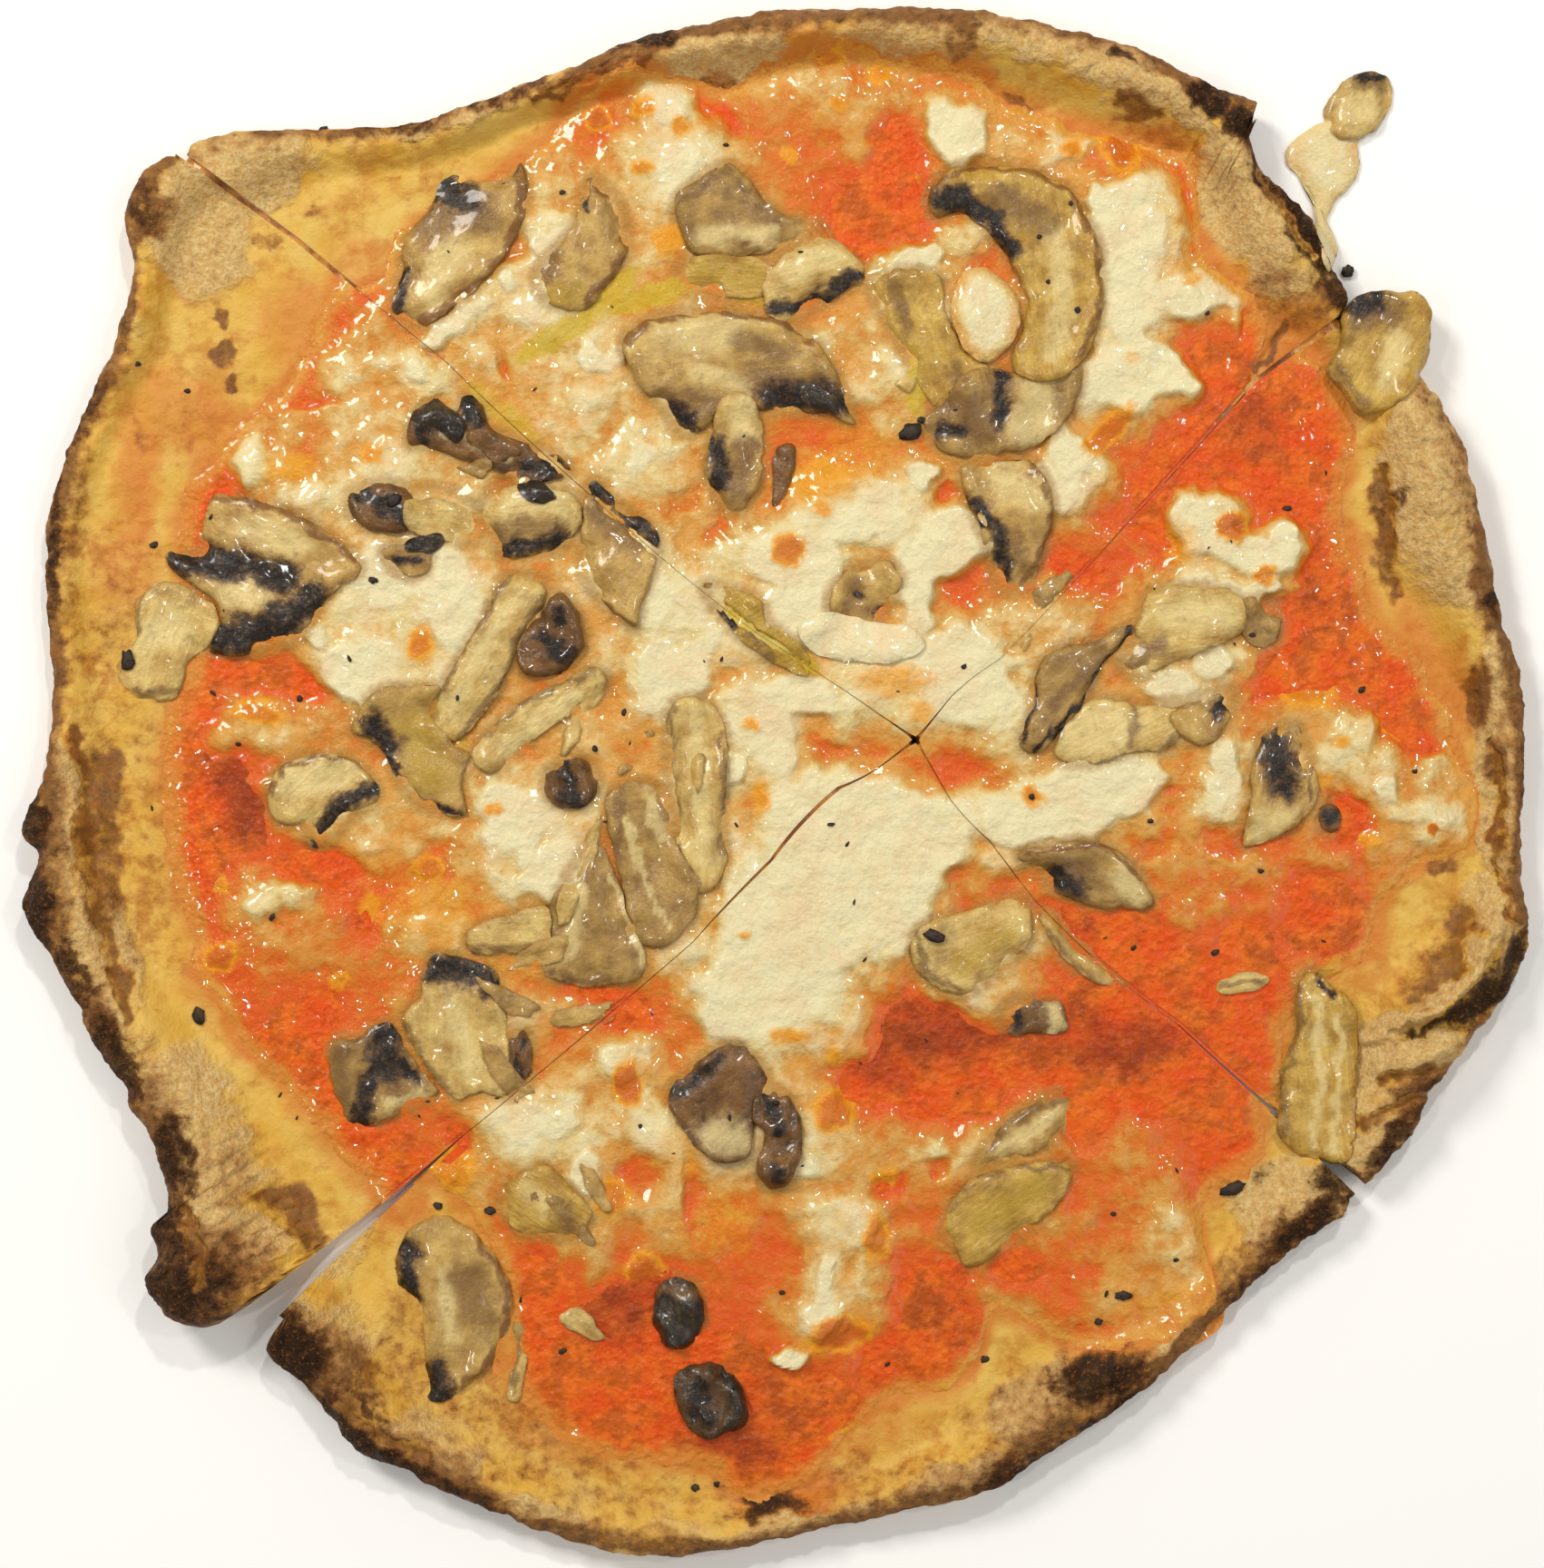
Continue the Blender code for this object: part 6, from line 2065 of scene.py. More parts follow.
CUTTINGS = (
    Cutting("top_01", Flesh.TAN, 60, (
        (472, 231), (482, 206), (500, 190), (528, 200), (561, 200), (574, 178), (582, 216), (571, 253),
        (558, 282), (532, 312), (506, 335), (463, 360), (433, 347), (441, 305), (447, 262),
    ), (
        Mark(G, 20, ((486, 206), (515, 222))), Mark(B, 20, ((470, 245), (535, 243))),
        Mark(S, 7, ((574, 180), (579, 216), (569, 253), (556, 279), (528, 312), (504, 333), (465, 357))),
        Mark(C, 18, ((500, 275), (475, 325))), Mark(G, 6, ((437, 345), (446, 300))),
    )),
    Cutting("top_02", Flesh.TAN, 80, (
        (648, 198), (668, 206), (683, 222), (693, 253), (691, 279), (676, 309), (645, 342), (608, 336),
        (590, 312), (600, 288), (622, 266), (636, 240),
    ), (
        Mark(S, 7, ((652, 201), (680, 222), (690, 253), (688, 279), (673, 307), (645, 338))),
        Mark(B, 13, ((608, 282), (607, 300))), Mark(O, 14, ((640, 322), (608, 328))),
        Mark(G, 5, ((640, 200), (645, 230))),
    )),
    Cutting("top_04", Flesh.GREY, 20, (
        (744, 225), (765, 201), (800, 182), (822, 194), (842, 220), (868, 238), (905, 249), (865, 272),
        (820, 283), (772, 283), (752, 258),
    ), (
        Mark(C, 10, ((780, 262), (850, 258))), Mark(B, 5, ((750, 226), (800, 187), (842, 220))),
    )),
    Cutting("top_03", Flesh.YELLOW, 0, (
        (752, 288), (800, 282), (842, 287), (856, 305), (839, 327), (790, 328), (750, 320),
    ), (
        Mark(O, 12, ((770, 305), (830, 306))),
    ), 0.0015),
    Cutting("top_05", Flesh.PALE, 20, (
        (905, 254), (927, 262), (942, 279), (957, 301), (925, 325), (890, 344), (872, 355), (845, 345),
        (842, 316), (858, 286), (884, 262),
    ), (
        Mark(G, 9, ((855, 342), (888, 336), (918, 322), (944, 305))), Mark(C, 16, ((870, 300), (915, 280))),
    )),
    Cutting("top_06", Flesh.YELLOW, 110, (
        (955, 310), (988, 298), (1035, 305), (1042, 345), (1062, 384), (1092, 412), (1062, 450), (1030, 448),
        (1005, 410), (980, 360),
    ), (
        Mark(O, 12, ((1008, 385), (1010, 448))), Mark(B, 10, ((985, 320), (1000, 360))),
        Mark(B, 8, ((1050, 400), (1060, 435))),
    ), 0.0016),
    Cutting("top_07_cap", Flesh.TAN, 10, (
        (687, 374), (713, 353), (742, 344), (787, 342), (831, 347), (872, 357), (898, 375), (916, 401),
        (935, 438), (943, 468), (915, 458), (890, 456), (855, 453), (825, 452), (795, 458), (770, 476),
        (748, 476), (724, 444), (709, 434), (695, 405),
    ), (
        Mark(G, 17, ((850, 436), (885, 438), (922, 442))), Mark(B, 26, ((838, 424), (915, 436))),
        Mark(G, 10, ((742, 448), (762, 468))), Mark(B, 20, ((735, 440), (790, 452))),
        Mark(B, 14, ((818, 376), (868, 390))), Mark(C, 22, ((740, 372), (800, 367))),
        Mark(C, 12, ((770, 410), (820, 425))),
        Mark(S, 5, ((690, 376), (713, 356), (742, 347), (787, 345), (831, 350), (872, 360), (896, 378))),
    ), 0.0024),
    Cutting("top_07_stem", Flesh.TAN, 80, (
        (798, 436), (831, 440), (840, 490), (836, 534), (812, 566), (796, 556), (778, 520), (783, 480),
    ), (
        Mark(G, 13, ((790, 490), (794, 534))), Mark(B, 14, ((822, 492), (816, 545))),
        Mark(C, 16, ((818, 452), (820, 475))),
    )),
    Cutting("top_08", Flesh.GREY, 100, (
        (1184, 398), (1191, 427), (1173, 464), (1143, 490), (1099, 501), (1062, 505), (1032, 492), (1021, 466),
        (1038, 444), (1062, 412), (1099, 407), (1145, 415),
    ), (
        Mark(G, 9, ((1102, 412), (1102, 466))), Mark(C, 24, ((1145, 440), (1135, 474))),
        Mark(B, 22, ((1062, 450), (1085, 472))), Mark(G, 10, ((1040, 476), (1060, 474))),
    )),
    Cutting("top_09", Flesh.YELLOW, 100, (
        (1023, 227), (1030, 201), (1055, 185), (1092, 179), (1136, 188), (1173, 205), (1195, 235), (1210, 272),
        (1215, 312), (1210, 360), (1195, 394), (1173, 416), (1147, 423), (1121, 412), (1114, 394), (1129, 357),
        (1132, 327), (1121, 298), (1106, 275), (1084, 251), (1060, 233), (1034, 240),
    ), (
        Mark(G, 12, ((1036, 222), (1062, 218), (1092, 242), (1114, 275))),
        Mark(B, 20, ((1105, 222), (1150, 245))),
        Mark(S, 5, ((1026, 222), (1033, 204), (1056, 188), (1092, 182), (1136, 191), (1171, 208), (1192, 237),
            (1207, 273), (1212, 312), (1207, 358), (1193, 390))),
        # A painted highlight: this cream stroke down the cap's right side stands for where the light falls
        # brightest on it.
        Mark(C, 13, ((1160, 260), (1172, 330), (1160, 390))),
    ), 0.0024),
    Cutting("top_10", Flesh.TAN, 70, (
        (1060, 514), (1099, 508), (1136, 508), (1154, 534), (1160, 565), (1152, 605), (1131, 647), (1100, 652),
        (1094, 634), (1082, 590), (1066, 548),
    ), (
        Mark(G, 9, ((1067, 551), (1096, 578), (1110, 609), (1102, 646))),
        Mark(C, 18, ((1105, 526), (1140, 550))),
        Mark(S, 5, ((1136, 511), (1151, 534), (1157, 565), (1149, 605), (1129, 643))),
        Mark(B, 8, ((1122, 590), (1128, 625))),
    )),
    Cutting("top_11", Flesh.TAN, 50, (
        (917, 649), (939, 627), (978, 618), (993, 640), (980, 669), (958, 695), (928, 692), (914, 670),
    ), (
        Mark(G, 5, ((944, 650), (950, 662))), Mark(G, 5, ((964, 676), (970, 670))),
        Mark(B, 8, ((930, 680), (945, 640))),
    )),
    Cutting("left_01", Flesh.PALE, 72, (
        (154, 656), (176, 640), (202, 645), (240, 676), (238, 704), (219, 716), (203, 733), (195, 765),
        (170, 772), (147, 765), (126, 738), (148, 704), (147, 678),
    ), (
        Mark(C, 20, ((160, 700), (190, 688))), Mark(B, 6, ((148, 762), (194, 762))),
        Mark(B, 5, ((152, 656), (149, 700))),
    )),
    Cutting("left_02", Flesh.TAN, -35, (
        (232, 548), (265, 546), (317, 561), (361, 587), (390, 612), (398, 632), (374, 646), (352, 672),
        (334, 704), (290, 715), (262, 724), (230, 718), (236, 700), (245, 680), (228, 655), (202, 639),
        (184, 622), (188, 605), (218, 604),
    ), (
        Mark(G, 18, ((200, 618), (262, 622), (318, 636))), Mark(G, 20, ((240, 704), (290, 696), (345, 662))),
        Mark(C, 20, ((255, 652), (285, 656))),
        Mark(S, 6, ((235, 549), (265, 549), (317, 564), (360, 590), (392, 618))),
        Mark(C, 16, ((270, 580), (330, 600))),
    ), 0.0024),
    Cutting("left_03", Flesh.BROWN, -10, (
        (402, 537), (428, 532), (457, 546), (455, 570), (444, 587), (406, 584), (388, 568), (384, 546),
    ), (
        Mark(G, 12, ((398, 546), (430, 558), (444, 576))),
    ), 0.0026, 1.2),
    Cutting("left_dark", Flesh.GREY, 10, (
        (424, 606), (450, 600), (474, 610), (470, 630), (440, 632),
    ), (
        Mark(G, 8, ((440, 615), (460, 620))),
    ), 0.0012),
    Cutting("left_05", Flesh.PALE, -8, (
        (457, 541), (487, 536), (524, 554), (534, 593), (505, 598), (456, 587), (448, 562),
    ), (
        Mark(B, 4, ((459, 543), (524, 556))),
    ), 0.0014),
    Cutting("left_04", Flesh.BROWN, -24, (
        (457, 454), (480, 448), (500, 458), (513, 436), (530, 443), (540, 472), (572, 484), (616, 502),
        (628, 521), (598, 532), (568, 530), (540, 516), (500, 502), (466, 492), (450, 490),
    ), (
        Mark(G, 12, ((463, 462), (468, 482))), Mark(G, 14, ((518, 444), (526, 466))),
        Mark(G, 13, ((578, 516), (612, 518))), Mark(C, 7, ((490, 478), (560, 500))),
    ), 0.0022, 1.2),
    Cutting("left_06", Flesh.PALE, 4, (
        (532, 549), (562, 537), (622, 540), (642, 558), (637, 584), (621, 603), (588, 612), (551, 613),
        (545, 590), (530, 577),
    ), (
        Mark(G, 11, ((554, 604), (590, 603), (620, 592))), Mark(B, 12, ((550, 584), (622, 580))),
        Mark(C, 14, ((562, 556), (618, 552))),
    )),
    Cutting("left_07", Flesh.TAN, 55, (
        (653, 530), (677, 549), (714, 576), (727, 595), (721, 625), (710, 662), (701, 692), (669, 669),
        (647, 643), (640, 618), (643, 569),
    ), (
        Mark(G, 10, ((656, 535), (690, 562), (722, 594))), Mark(B, 16, ((656, 565), (702, 598))),
        Mark(S, 4, ((641, 620), (649, 645), (671, 671), (701, 690))),
    )),
    Cutting("left_08", Flesh.PALE, 59, (
        (560, 633), (592, 638), (603, 660), (577, 699), (555, 751), (510, 812), (468, 806), (488, 758),
        (510, 717), (536, 677),
    ), (
        Mark(B, 5, ((560, 634), (536, 677), (510, 717), (488, 758), (470, 803))),
        Mark(B, 5, ((601, 660), (576, 699), (553, 751), (510, 808))),
        Mark(C, 9, ((570, 660), (535, 715), (500, 780))),
    )),
    Cutting("left_09", Flesh.BROWN, 40, (
        (618, 653), (638, 677), (645, 710), (625, 736), (588, 747), (570, 729), (581, 695), (602, 669),
    ), (
        Mark(G, 12, ((598, 702), (625, 722))), Mark(G, 8, ((612, 672), (620, 690))),
    ), 0.0026, 1.2),
    Cutting("left_10", Flesh.PALE, 38, (
        (658, 736), (670, 752), (651, 769), (600, 808), (547, 851), (522, 840), (532, 812), (577, 773),
        (625, 748),
    ), (
        Mark(B, 4, ((656, 738), (625, 750), (577, 775), (534, 812))), Mark(C, 9, ((635, 768), (560, 824))),
    )),
    Cutting("left_11", Flesh.TAN, 125, (
        (387, 802), (413, 763), (450, 756), (483, 758), (476, 787), (500, 818), (518, 830), (508, 858),
        (512, 898), (464, 888), (440, 862), (424, 832), (408, 818),
    ), (
        Mark(G, 15, ((412, 800), (428, 820))), Mark(O, 26, ((460, 805), (475, 850))),
        Mark(G, 4, ((426, 834), (442, 862), (466, 886), (510, 896))),
    )),
    Cutting("left_12", Flesh.PALE, 42, (
        (296, 870), (310, 846), (345, 832), (385, 836), (415, 864), (412, 885), (388, 903), (362, 930),
        (344, 933), (334, 912), (302, 903),
    ), (
        Mark(G, 12, ((413, 869), (384, 884), (368, 902), (352, 928))), Mark(C, 18, ((320, 866), (370, 852))),
        Mark(S, 4, ((298, 871), (312, 848), (345, 834), (385, 838))),
    )),
    Cutting("left_13", Flesh.PALE, 92, (
        (742, 776), (775, 770), (797, 800), (803, 850), (797, 905), (800, 950), (785, 980), (757, 975),
        (748, 930), (737, 880), (734, 820),
    ), (
        Mark(C, 10, ((765, 790), (772, 870), (775, 950))), Mark(B, 4, ((742, 780), (740, 870), (752, 960))),
        Mark(B, 4, ((797, 810), (799, 860), (795, 940))),
    )),
    Cutting("left_oval", Flesh.BROWN, 80, (
        (600, 862), (612, 842), (640, 836), (658, 850), (657, 878), (640, 891), (612, 886),
    ), (
        Mark(G, 14, ((626, 852), (632, 880))),
    ), 0.0026, 1.0, 4.0),
    Cutting("left_14", Flesh.GREY, 100, (
        (674, 873), (713, 862), (743, 890), (750, 935), (772, 975), (762, 1018), (730, 1043), (702, 1038),
        (690, 1000), (680, 950), (669, 908),
    ), (
        Mark(C, 4, ((690, 900), (705, 960), (735, 1022))), Mark(C, 8, ((715, 885), (730, 920))),
        Mark(B, 6, ((680, 880), (684, 950))),
    ), 0.0017),
    Cutting("left_15", Flesh.GREY, 88, (
        (633, 954), (655, 930), (675, 955), (690, 1000), (712, 1068), (669, 1087), (604, 1075), (603, 1012),
    ), (
        Mark(C, 4, ((672, 972), (695, 1020), (714, 1068))), Mark(C, 10, ((640, 980), (630, 1050))),
        Mark(B, 5, ((606, 1072), (668, 1082))),
    ), 0.0017),
    Cutting("left_16", Flesh.PALE, 4, (
        (518, 1025), (558, 1009), (602, 999), (607, 1022), (602, 1045), (550, 1051), (520, 1049),
    ), (
        Mark(B, 5, ((522, 1047), (600, 1042))),
    )),
    Cutting("left_17", Flesh.PALE, 95, (
        (470, 1062), (491, 1051), (546, 1069), (550, 1097), (558, 1119), (565, 1193), (561, 1209), (530, 1202),
        (502, 1211), (467, 1171), (444, 1126), (463, 1097),
    ), (
        Mark(G, 16, ((482, 1070), (515, 1066), (544, 1082))),
        Mark(B, 5, ((447, 1128), (468, 1170), (502, 1207))), Mark(C, 10, ((500, 1110), (520, 1180))),
    )),
    Cutting("left_slit", Flesh.BROWN, 90, (
        (562, 1136), (578, 1134), (587, 1165), (582, 1198), (568, 1200), (562, 1170),
    ), (
        Mark(G, 4, ((573, 1145), (574, 1190))),
    ), 0.0014, 0.5, 3.0),
    Cutting("left_18", Flesh.GREY, 75, (
        (366, 1150), (395, 1144), (414, 1129), (432, 1128), (454, 1167), (482, 1200), (469, 1215), (402, 1241),
        (382, 1235), (367, 1205),
    ), (
        Mark(G, 19, ((424, 1142), (428, 1178))), Mark(G, 12, ((412, 1175), (396, 1236))),
        Mark(G, 7, ((440, 1168), (458, 1192))), Mark(C, 7, ((432, 1216), (464, 1206))),
        Mark(B, 9, ((374, 1160), (378, 1220))),
    )),
    Cutting("bottom_01", Flesh.TAN, 80, (
        (453, 1354), (488, 1341), (523, 1360), (553, 1399), (564, 1443), (558, 1478), (540, 1508), (510, 1530),
        (484, 1547), (468, 1536), (466, 1500), (464, 1470), (458, 1443), (438, 1417), (436, 1386),
    ), (
        Mark(G, 13, ((448, 1376), (450, 1432))), Mark(G, 15, ((480, 1508), (484, 1538))),
        Mark(B, 24, ((516, 1412), (526, 1446))),
        Mark(S, 6, ((525, 1364), (550, 1401), (560, 1443), (554, 1478), (537, 1506), (510, 1526))),
        Mark(C, 10, ((490, 1400), (496, 1470))),
    ), 0.0024),
    Cutting("bottom_strip", Flesh.TAN, 85, (
        (562, 1462), (576, 1460), (580, 1500), (572, 1543), (560, 1540), (564, 1500),
    ), (
        Mark(B, 4, ((570, 1466), (570, 1535))),
    ), 0.0014),
    Cutting("bottom_02", Flesh.YELLOW, -30, (
        (551, 1317), (584, 1289), (603, 1284), (627, 1308), (653, 1332), (640, 1360), (610, 1365), (566, 1355),
    ), (
        Mark(B, 12, ((622, 1335), (630, 1352))), Mark(C, 10, ((585, 1310), (600, 1330))),
    )),
    Cutting("bottom_03", Flesh.BLACK, 95, (
        (724, 1418), (745, 1408), (768, 1418), (776, 1450), (765, 1480), (742, 1488), (724, 1470), (719, 1444),
    ), (
        Mark(B, 8, ((730, 1420), (766, 1424))),
    ), 0.0028, 1.0, 4.0),
    Cutting("bottom_04", Flesh.BLACK, 0, (
        (748, 1514), (779, 1502), (805, 1512), (822, 1538), (824, 1567), (800, 1582), (774, 1586), (757, 1573),
        (744, 1543),
    ), (
        Mark(G, 20, ((770, 1530), (775, 1560))),
    ), 0.0032, 1.2, 4.0),
    Cutting("bottom_05", Flesh.BROWN, 40, (
        (737, 1204), (772, 1168), (802, 1150), (824, 1157), (846, 1186), (839, 1215), (831, 1245), (822, 1277),
        (787, 1277), (754, 1246),
    ), (
        Mark(C, 20, ((790, 1250), (812, 1255))), Mark(G, 10, ((745, 1205), (790, 1170))),
    ), 0.0022, 1.0),
    Cutting("bottom_06", Flesh.BROWN, 75, (
        (834, 1206), (856, 1199), (878, 1222), (884, 1262), (872, 1300), (848, 1310), (834, 1285), (842, 1250),
        (830, 1228),
    ), (
        Mark(G, 10, ((848, 1214), (858, 1242))), Mark(G, 8, ((850, 1285), (862, 1300))),
    ), 0.0026, 1.0, 5.0),
    Cutting("bottom_07", Flesh.TAN, 37, (
        (1180, 1201), (1182, 1236), (1153, 1262), (1086, 1287), (1081, 1270), (1110, 1237), (1144, 1214),
    ), (
        Mark(B, 5, ((1178, 1206), (1144, 1219), (1110, 1240), (1086, 1268))),
        Mark(C, 9, ((1165, 1225), (1105, 1265))),
    )),
    Cutting("bottom_08", Flesh.YELLOW, 34, (
        (1184, 1283), (1169, 1321), (1136, 1355), (1089, 1388), (1064, 1396), (1052, 1372), (1036, 1356),
        (1050, 1325), (1081, 1293), (1127, 1283),
    ), (
        Mark(O, 14, ((1150, 1305), (1080, 1350))),
        Mark(B, 4, ((1180, 1286), (1127, 1287), (1082, 1297), (1048, 1330))),
    )),
    Cutting("bottom_09", Flesh.PALE, 22, (
        (1026, 1014), (1077, 1001), (1119, 986), (1136, 1005), (1136, 1035), (1110, 1064), (1062, 1096),
        (1018, 1077), (1006, 1056), (1010, 1028),
    ), (
        Mark(O, 16, ((1060, 1060), (1105, 1030))), Mark(B, 5, ((1010, 1030), (1020, 1074), (1060, 1092))),
    )),
    Cutting("right_chip", Flesh.GREY, 20, (
        (1368, 664), (1392, 658), (1411, 676), (1408, 706), (1385, 712), (1367, 694),
    ), (
        Mark(B, 5, ((1375, 700), (1402, 695))),
    ), 0.0014),
    Cutting("right_01", Flesh.PALE, 8, (
        (1268, 651), (1315, 646), (1362, 654), (1373, 685), (1357, 705), (1313, 721), (1256, 746), (1233, 732),
        (1250, 699),
    ), (
        Mark(B, 12, ((1245, 732), (1275, 712))), Mark(C, 18, ((1290, 675), (1345, 680))),
    )),
    Cutting("right_02", Flesh.GREY, 49, (
        (1248, 688), (1241, 710), (1212, 736), (1197, 770), (1170, 806), (1140, 830), (1122, 816), (1138, 779),
        (1145, 739), (1163, 716), (1205, 706),
    ), (
        Mark(G, 4, ((1246, 690), (1240, 710), (1212, 736), (1197, 768), (1170, 804), (1140, 828))),
        Mark(B, 8, ((1215, 715), (1160, 780))), Mark(G, 4, ((1143, 741), (1137, 779), (1124, 814))),
    )),
    Cutting("right_03", Flesh.PALE, 30, (
        (1203, 772), (1237, 771), (1262, 778), (1300, 774), (1304, 800), (1285, 826), (1248, 828), (1210, 841),
        (1172, 840), (1163, 824), (1180, 794),
    ), (
        Mark(C, 26, ((1190, 812), (1230, 800))), Mark(B, 6, ((1250, 780), (1250, 822))),
        Mark(B, 5, ((1300, 800), (1284, 824))),
    )),
    Cutting("right_04", Flesh.TAN, 16, (
        (1288, 784), (1321, 767), (1358, 758), (1358, 779), (1337, 815), (1313, 819), (1292, 799),
    ), (
        Mark(G, 8, ((1352, 766), (1340, 790))), Mark(B, 4, ((1290, 784), (1321, 770), (1352, 761))),
    )),
    Cutting("right_05", Flesh.TAN, 70, (
        (1394, 808), (1427, 798), (1441, 824), (1451, 864), (1446, 891), (1420, 917), (1373, 933), (1372, 910),
        (1380, 872), (1377, 850), (1387, 824),
    ), (
        Mark(G, 20, ((1404, 824), (1414, 862))), Mark(C, 14, ((1415, 898), (1390, 915))),
        Mark(S, 4, ((1430, 802), (1439, 824), (1448, 864), (1443, 889))),
    )),
    Cutting("right_dark", Flesh.BROWN, 10, (
        (1456, 892), (1470, 884), (1478, 898), (1472, 916), (1458, 912),
    ), (
        Mark(G, 9, ((1465, 895), (1468, 905))),
    ), 0.0018),
    Cutting("right_06", Flesh.GREY, -20, (
        (1123, 942), (1153, 932), (1195, 926), (1232, 938), (1258, 967), (1270, 997), (1240, 1002), (1195, 996),
        (1161, 981), (1143, 960),
    ), (
        Mark(G, 15, ((1162, 968), (1186, 978))), Mark(C, 16, ((1240, 965), (1250, 985))),
        Mark(S, 4, ((1126, 943), (1153, 935), (1195, 929), (1230, 941), (1255, 968))),
        Mark(B, 9, ((1165, 950), (1200, 955))),
    )),
    Cutting("right_crescent", Flesh.TAN, -45, (
        (1150, 1003), (1170, 1018), (1195, 1041), (1237, 1079), (1213, 1085), (1178, 1062), (1154, 1028),
    ), (
        Mark(B, 4, ((1156, 1028), (1180, 1058), (1212, 1080))),
    ), 0.0016),
    Cutting("right_leaf", Flesh.PALE, 15, (
        (1338, 1086), (1362, 1074), (1392, 1073), (1401, 1082), (1376, 1094), (1350, 1096),
    ), (
        Mark(B, 3, ((1345, 1088), (1395, 1080))),
    ), 0.0013),
    Cutting("bottom_brown", Flesh.BROWN, 30, (
        (1102, 1116), (1120, 1099), (1144, 1104), (1170, 1106), (1174, 1136), (1140, 1140), (1112, 1138),
    ), (
        Mark(G, 9, ((1118, 1112), (1126, 1128))), Mark(C, 11, ((1160, 1112), (1162, 1132))),
    ), 0.0018),
    Cutting("middle_olive", Flesh.YELLOW, 30, (
        (775, 648), (800, 646), (838, 662), (850, 690), (884, 712), (893, 742), (868, 738), (838, 722),
        (806, 694),
    ), (
        Mark(O, 24, ((816, 680), (880, 730))), Mark(G, 7, ((780, 656), (806, 690))),
        Mark(B, 6, ((826, 700), (850, 726))),
    ), 0.0014, 0.5, 3.0),
    Cutting("right_07", Flesh.YELLOW, 96, (
        (1432, 1083), (1454, 1072), (1470, 1089), (1493, 1110), (1497, 1153), (1492, 1228), (1483, 1279),
        (1443, 1275), (1413, 1257), (1411, 1220), (1416, 1169), (1429, 1136),
    ), (
        Mark(C, 6, ((1450, 1100), (1456, 1180), (1446, 1260))),
        Mark(C, 5, ((1474, 1120), (1476, 1200), (1466, 1265))),
        Mark(B, 5, ((1432, 1088), (1430, 1140), (1415, 1190), (1414, 1250))),
        Mark(G, 4, ((1452, 1076), (1468, 1092))),
    ), 0.0024),
    Cutting("right_08", Flesh.YELLOW, 60, (
        (1480, 344), (1504, 324), (1539, 324), (1567, 329), (1575, 366), (1572, 398), (1552, 430), (1527, 452),
        (1501, 457), (1482, 436), (1464, 407), (1476, 378),
    ), (
        Mark(G, 15, ((1488, 340), (1512, 334))), Mark(B, 14, ((1490, 362), (1535, 345))),
        Mark(C, 14, ((1540, 375), (1525, 420))), Mark(B, 6, ((1470, 406), (1500, 450))),
    )),
    Cutting("stray", Flesh.PALE, 48, (
        (1462, 122), (1474, 98), (1490, 80), (1512, 72), (1532, 78), (1540, 100), (1530, 126), (1508, 146),
        (1480, 148),
    ), (
        Mark(B, 13, ((1498, 82), (1526, 90))), Mark(G, 7, ((1500, 78), (1524, 80))),
        Mark(C, 14, ((1490, 120), (1515, 118))),
    ), 0.0026, 1.0),
)

# Shreds of mushroom: middle, length and width in pixels, direction in degrees anticlockwise from +X, and look.
SHREDS = (
    (486, 462, 60, 32, -30, Flesh.BLACK), (548, 492, 64, 32, -20, Flesh.BROWN),
    (590, 540, 52, 26, -40, Flesh.BLACK), (520, 520, 40, 22, 20, Flesh.GREY),
    (905, 440, 52, 28, -20, Flesh.BLACK), (985, 400, 72, 28, -60, Flesh.PALE),
    (862, 522, 64, 24, 80, Flesh.BROWN), (640, 790, 90, 20, 60, Flesh.PALE),
    (640, 960, 110, 22, 70, Flesh.PALE), (600, 1050, 96, 24, 20, Flesh.TAN),
    (560, 1100, 76, 24, -30, Flesh.GREY), (640, 1120, 76, 24, 10, Flesh.TAN),
    (556, 1180, 84, 26, -50, Flesh.GREY), (620, 1340, 84, 24, -40, Flesh.GREY),
    (656, 1306, 60, 18, -60, Flesh.TAN), (640, 1460, 62, 24, -30, Flesh.PALE),
    (1150, 660, 92, 26, 40, Flesh.GREY), (1118, 720, 60, 20, 60, Flesh.TAN),
    (760, 880, 100, 22, 80, Flesh.PALE), (700, 830, 70, 18, 50, Flesh.TAN), (470, 600, 36, 24, 10, Flesh.BLACK),
)
SHRED_POINTS = 9  # points of a shred's outline


def shred(number: int, x: float, y: float, long: float, wide: float, turn: float, flesh: Flesh) -> Cutting:
    """A shred of mushroom with an uneven outline.

    Args:
        number: its number, which also seeds its outline.
        x: its middle, in pixels.
        y: the same, downward.
        long: its length, in pixels.
        wide: its width, in pixels.
        turn: its direction, anticlockwise from +X in degrees.
        flesh: its look.

    Returns:
        The shred as a piece to lay down.
    """
    chance = np.random.default_rng(number)
    way = math.radians(turn)
    outline = []
    for step in range(SHRED_POINTS):
        angle, far = -2 * math.pi * step / SHRED_POINTS, 1 + chance.uniform(-0.25, 0.25)
        right, up = long / 2 * math.cos(angle) * far, wide / 2 * math.sin(angle) * far
        moved_x = x + right * math.cos(way) - up * math.sin(way)
        moved_y = y - right * math.sin(way) - up * math.cos(way)
        outline.append((moved_x, moved_y))
    return Cutting(f"shred_{number:02d}", flesh, turn, tuple(outline), (), 0.0013, 0.4, 2.5)


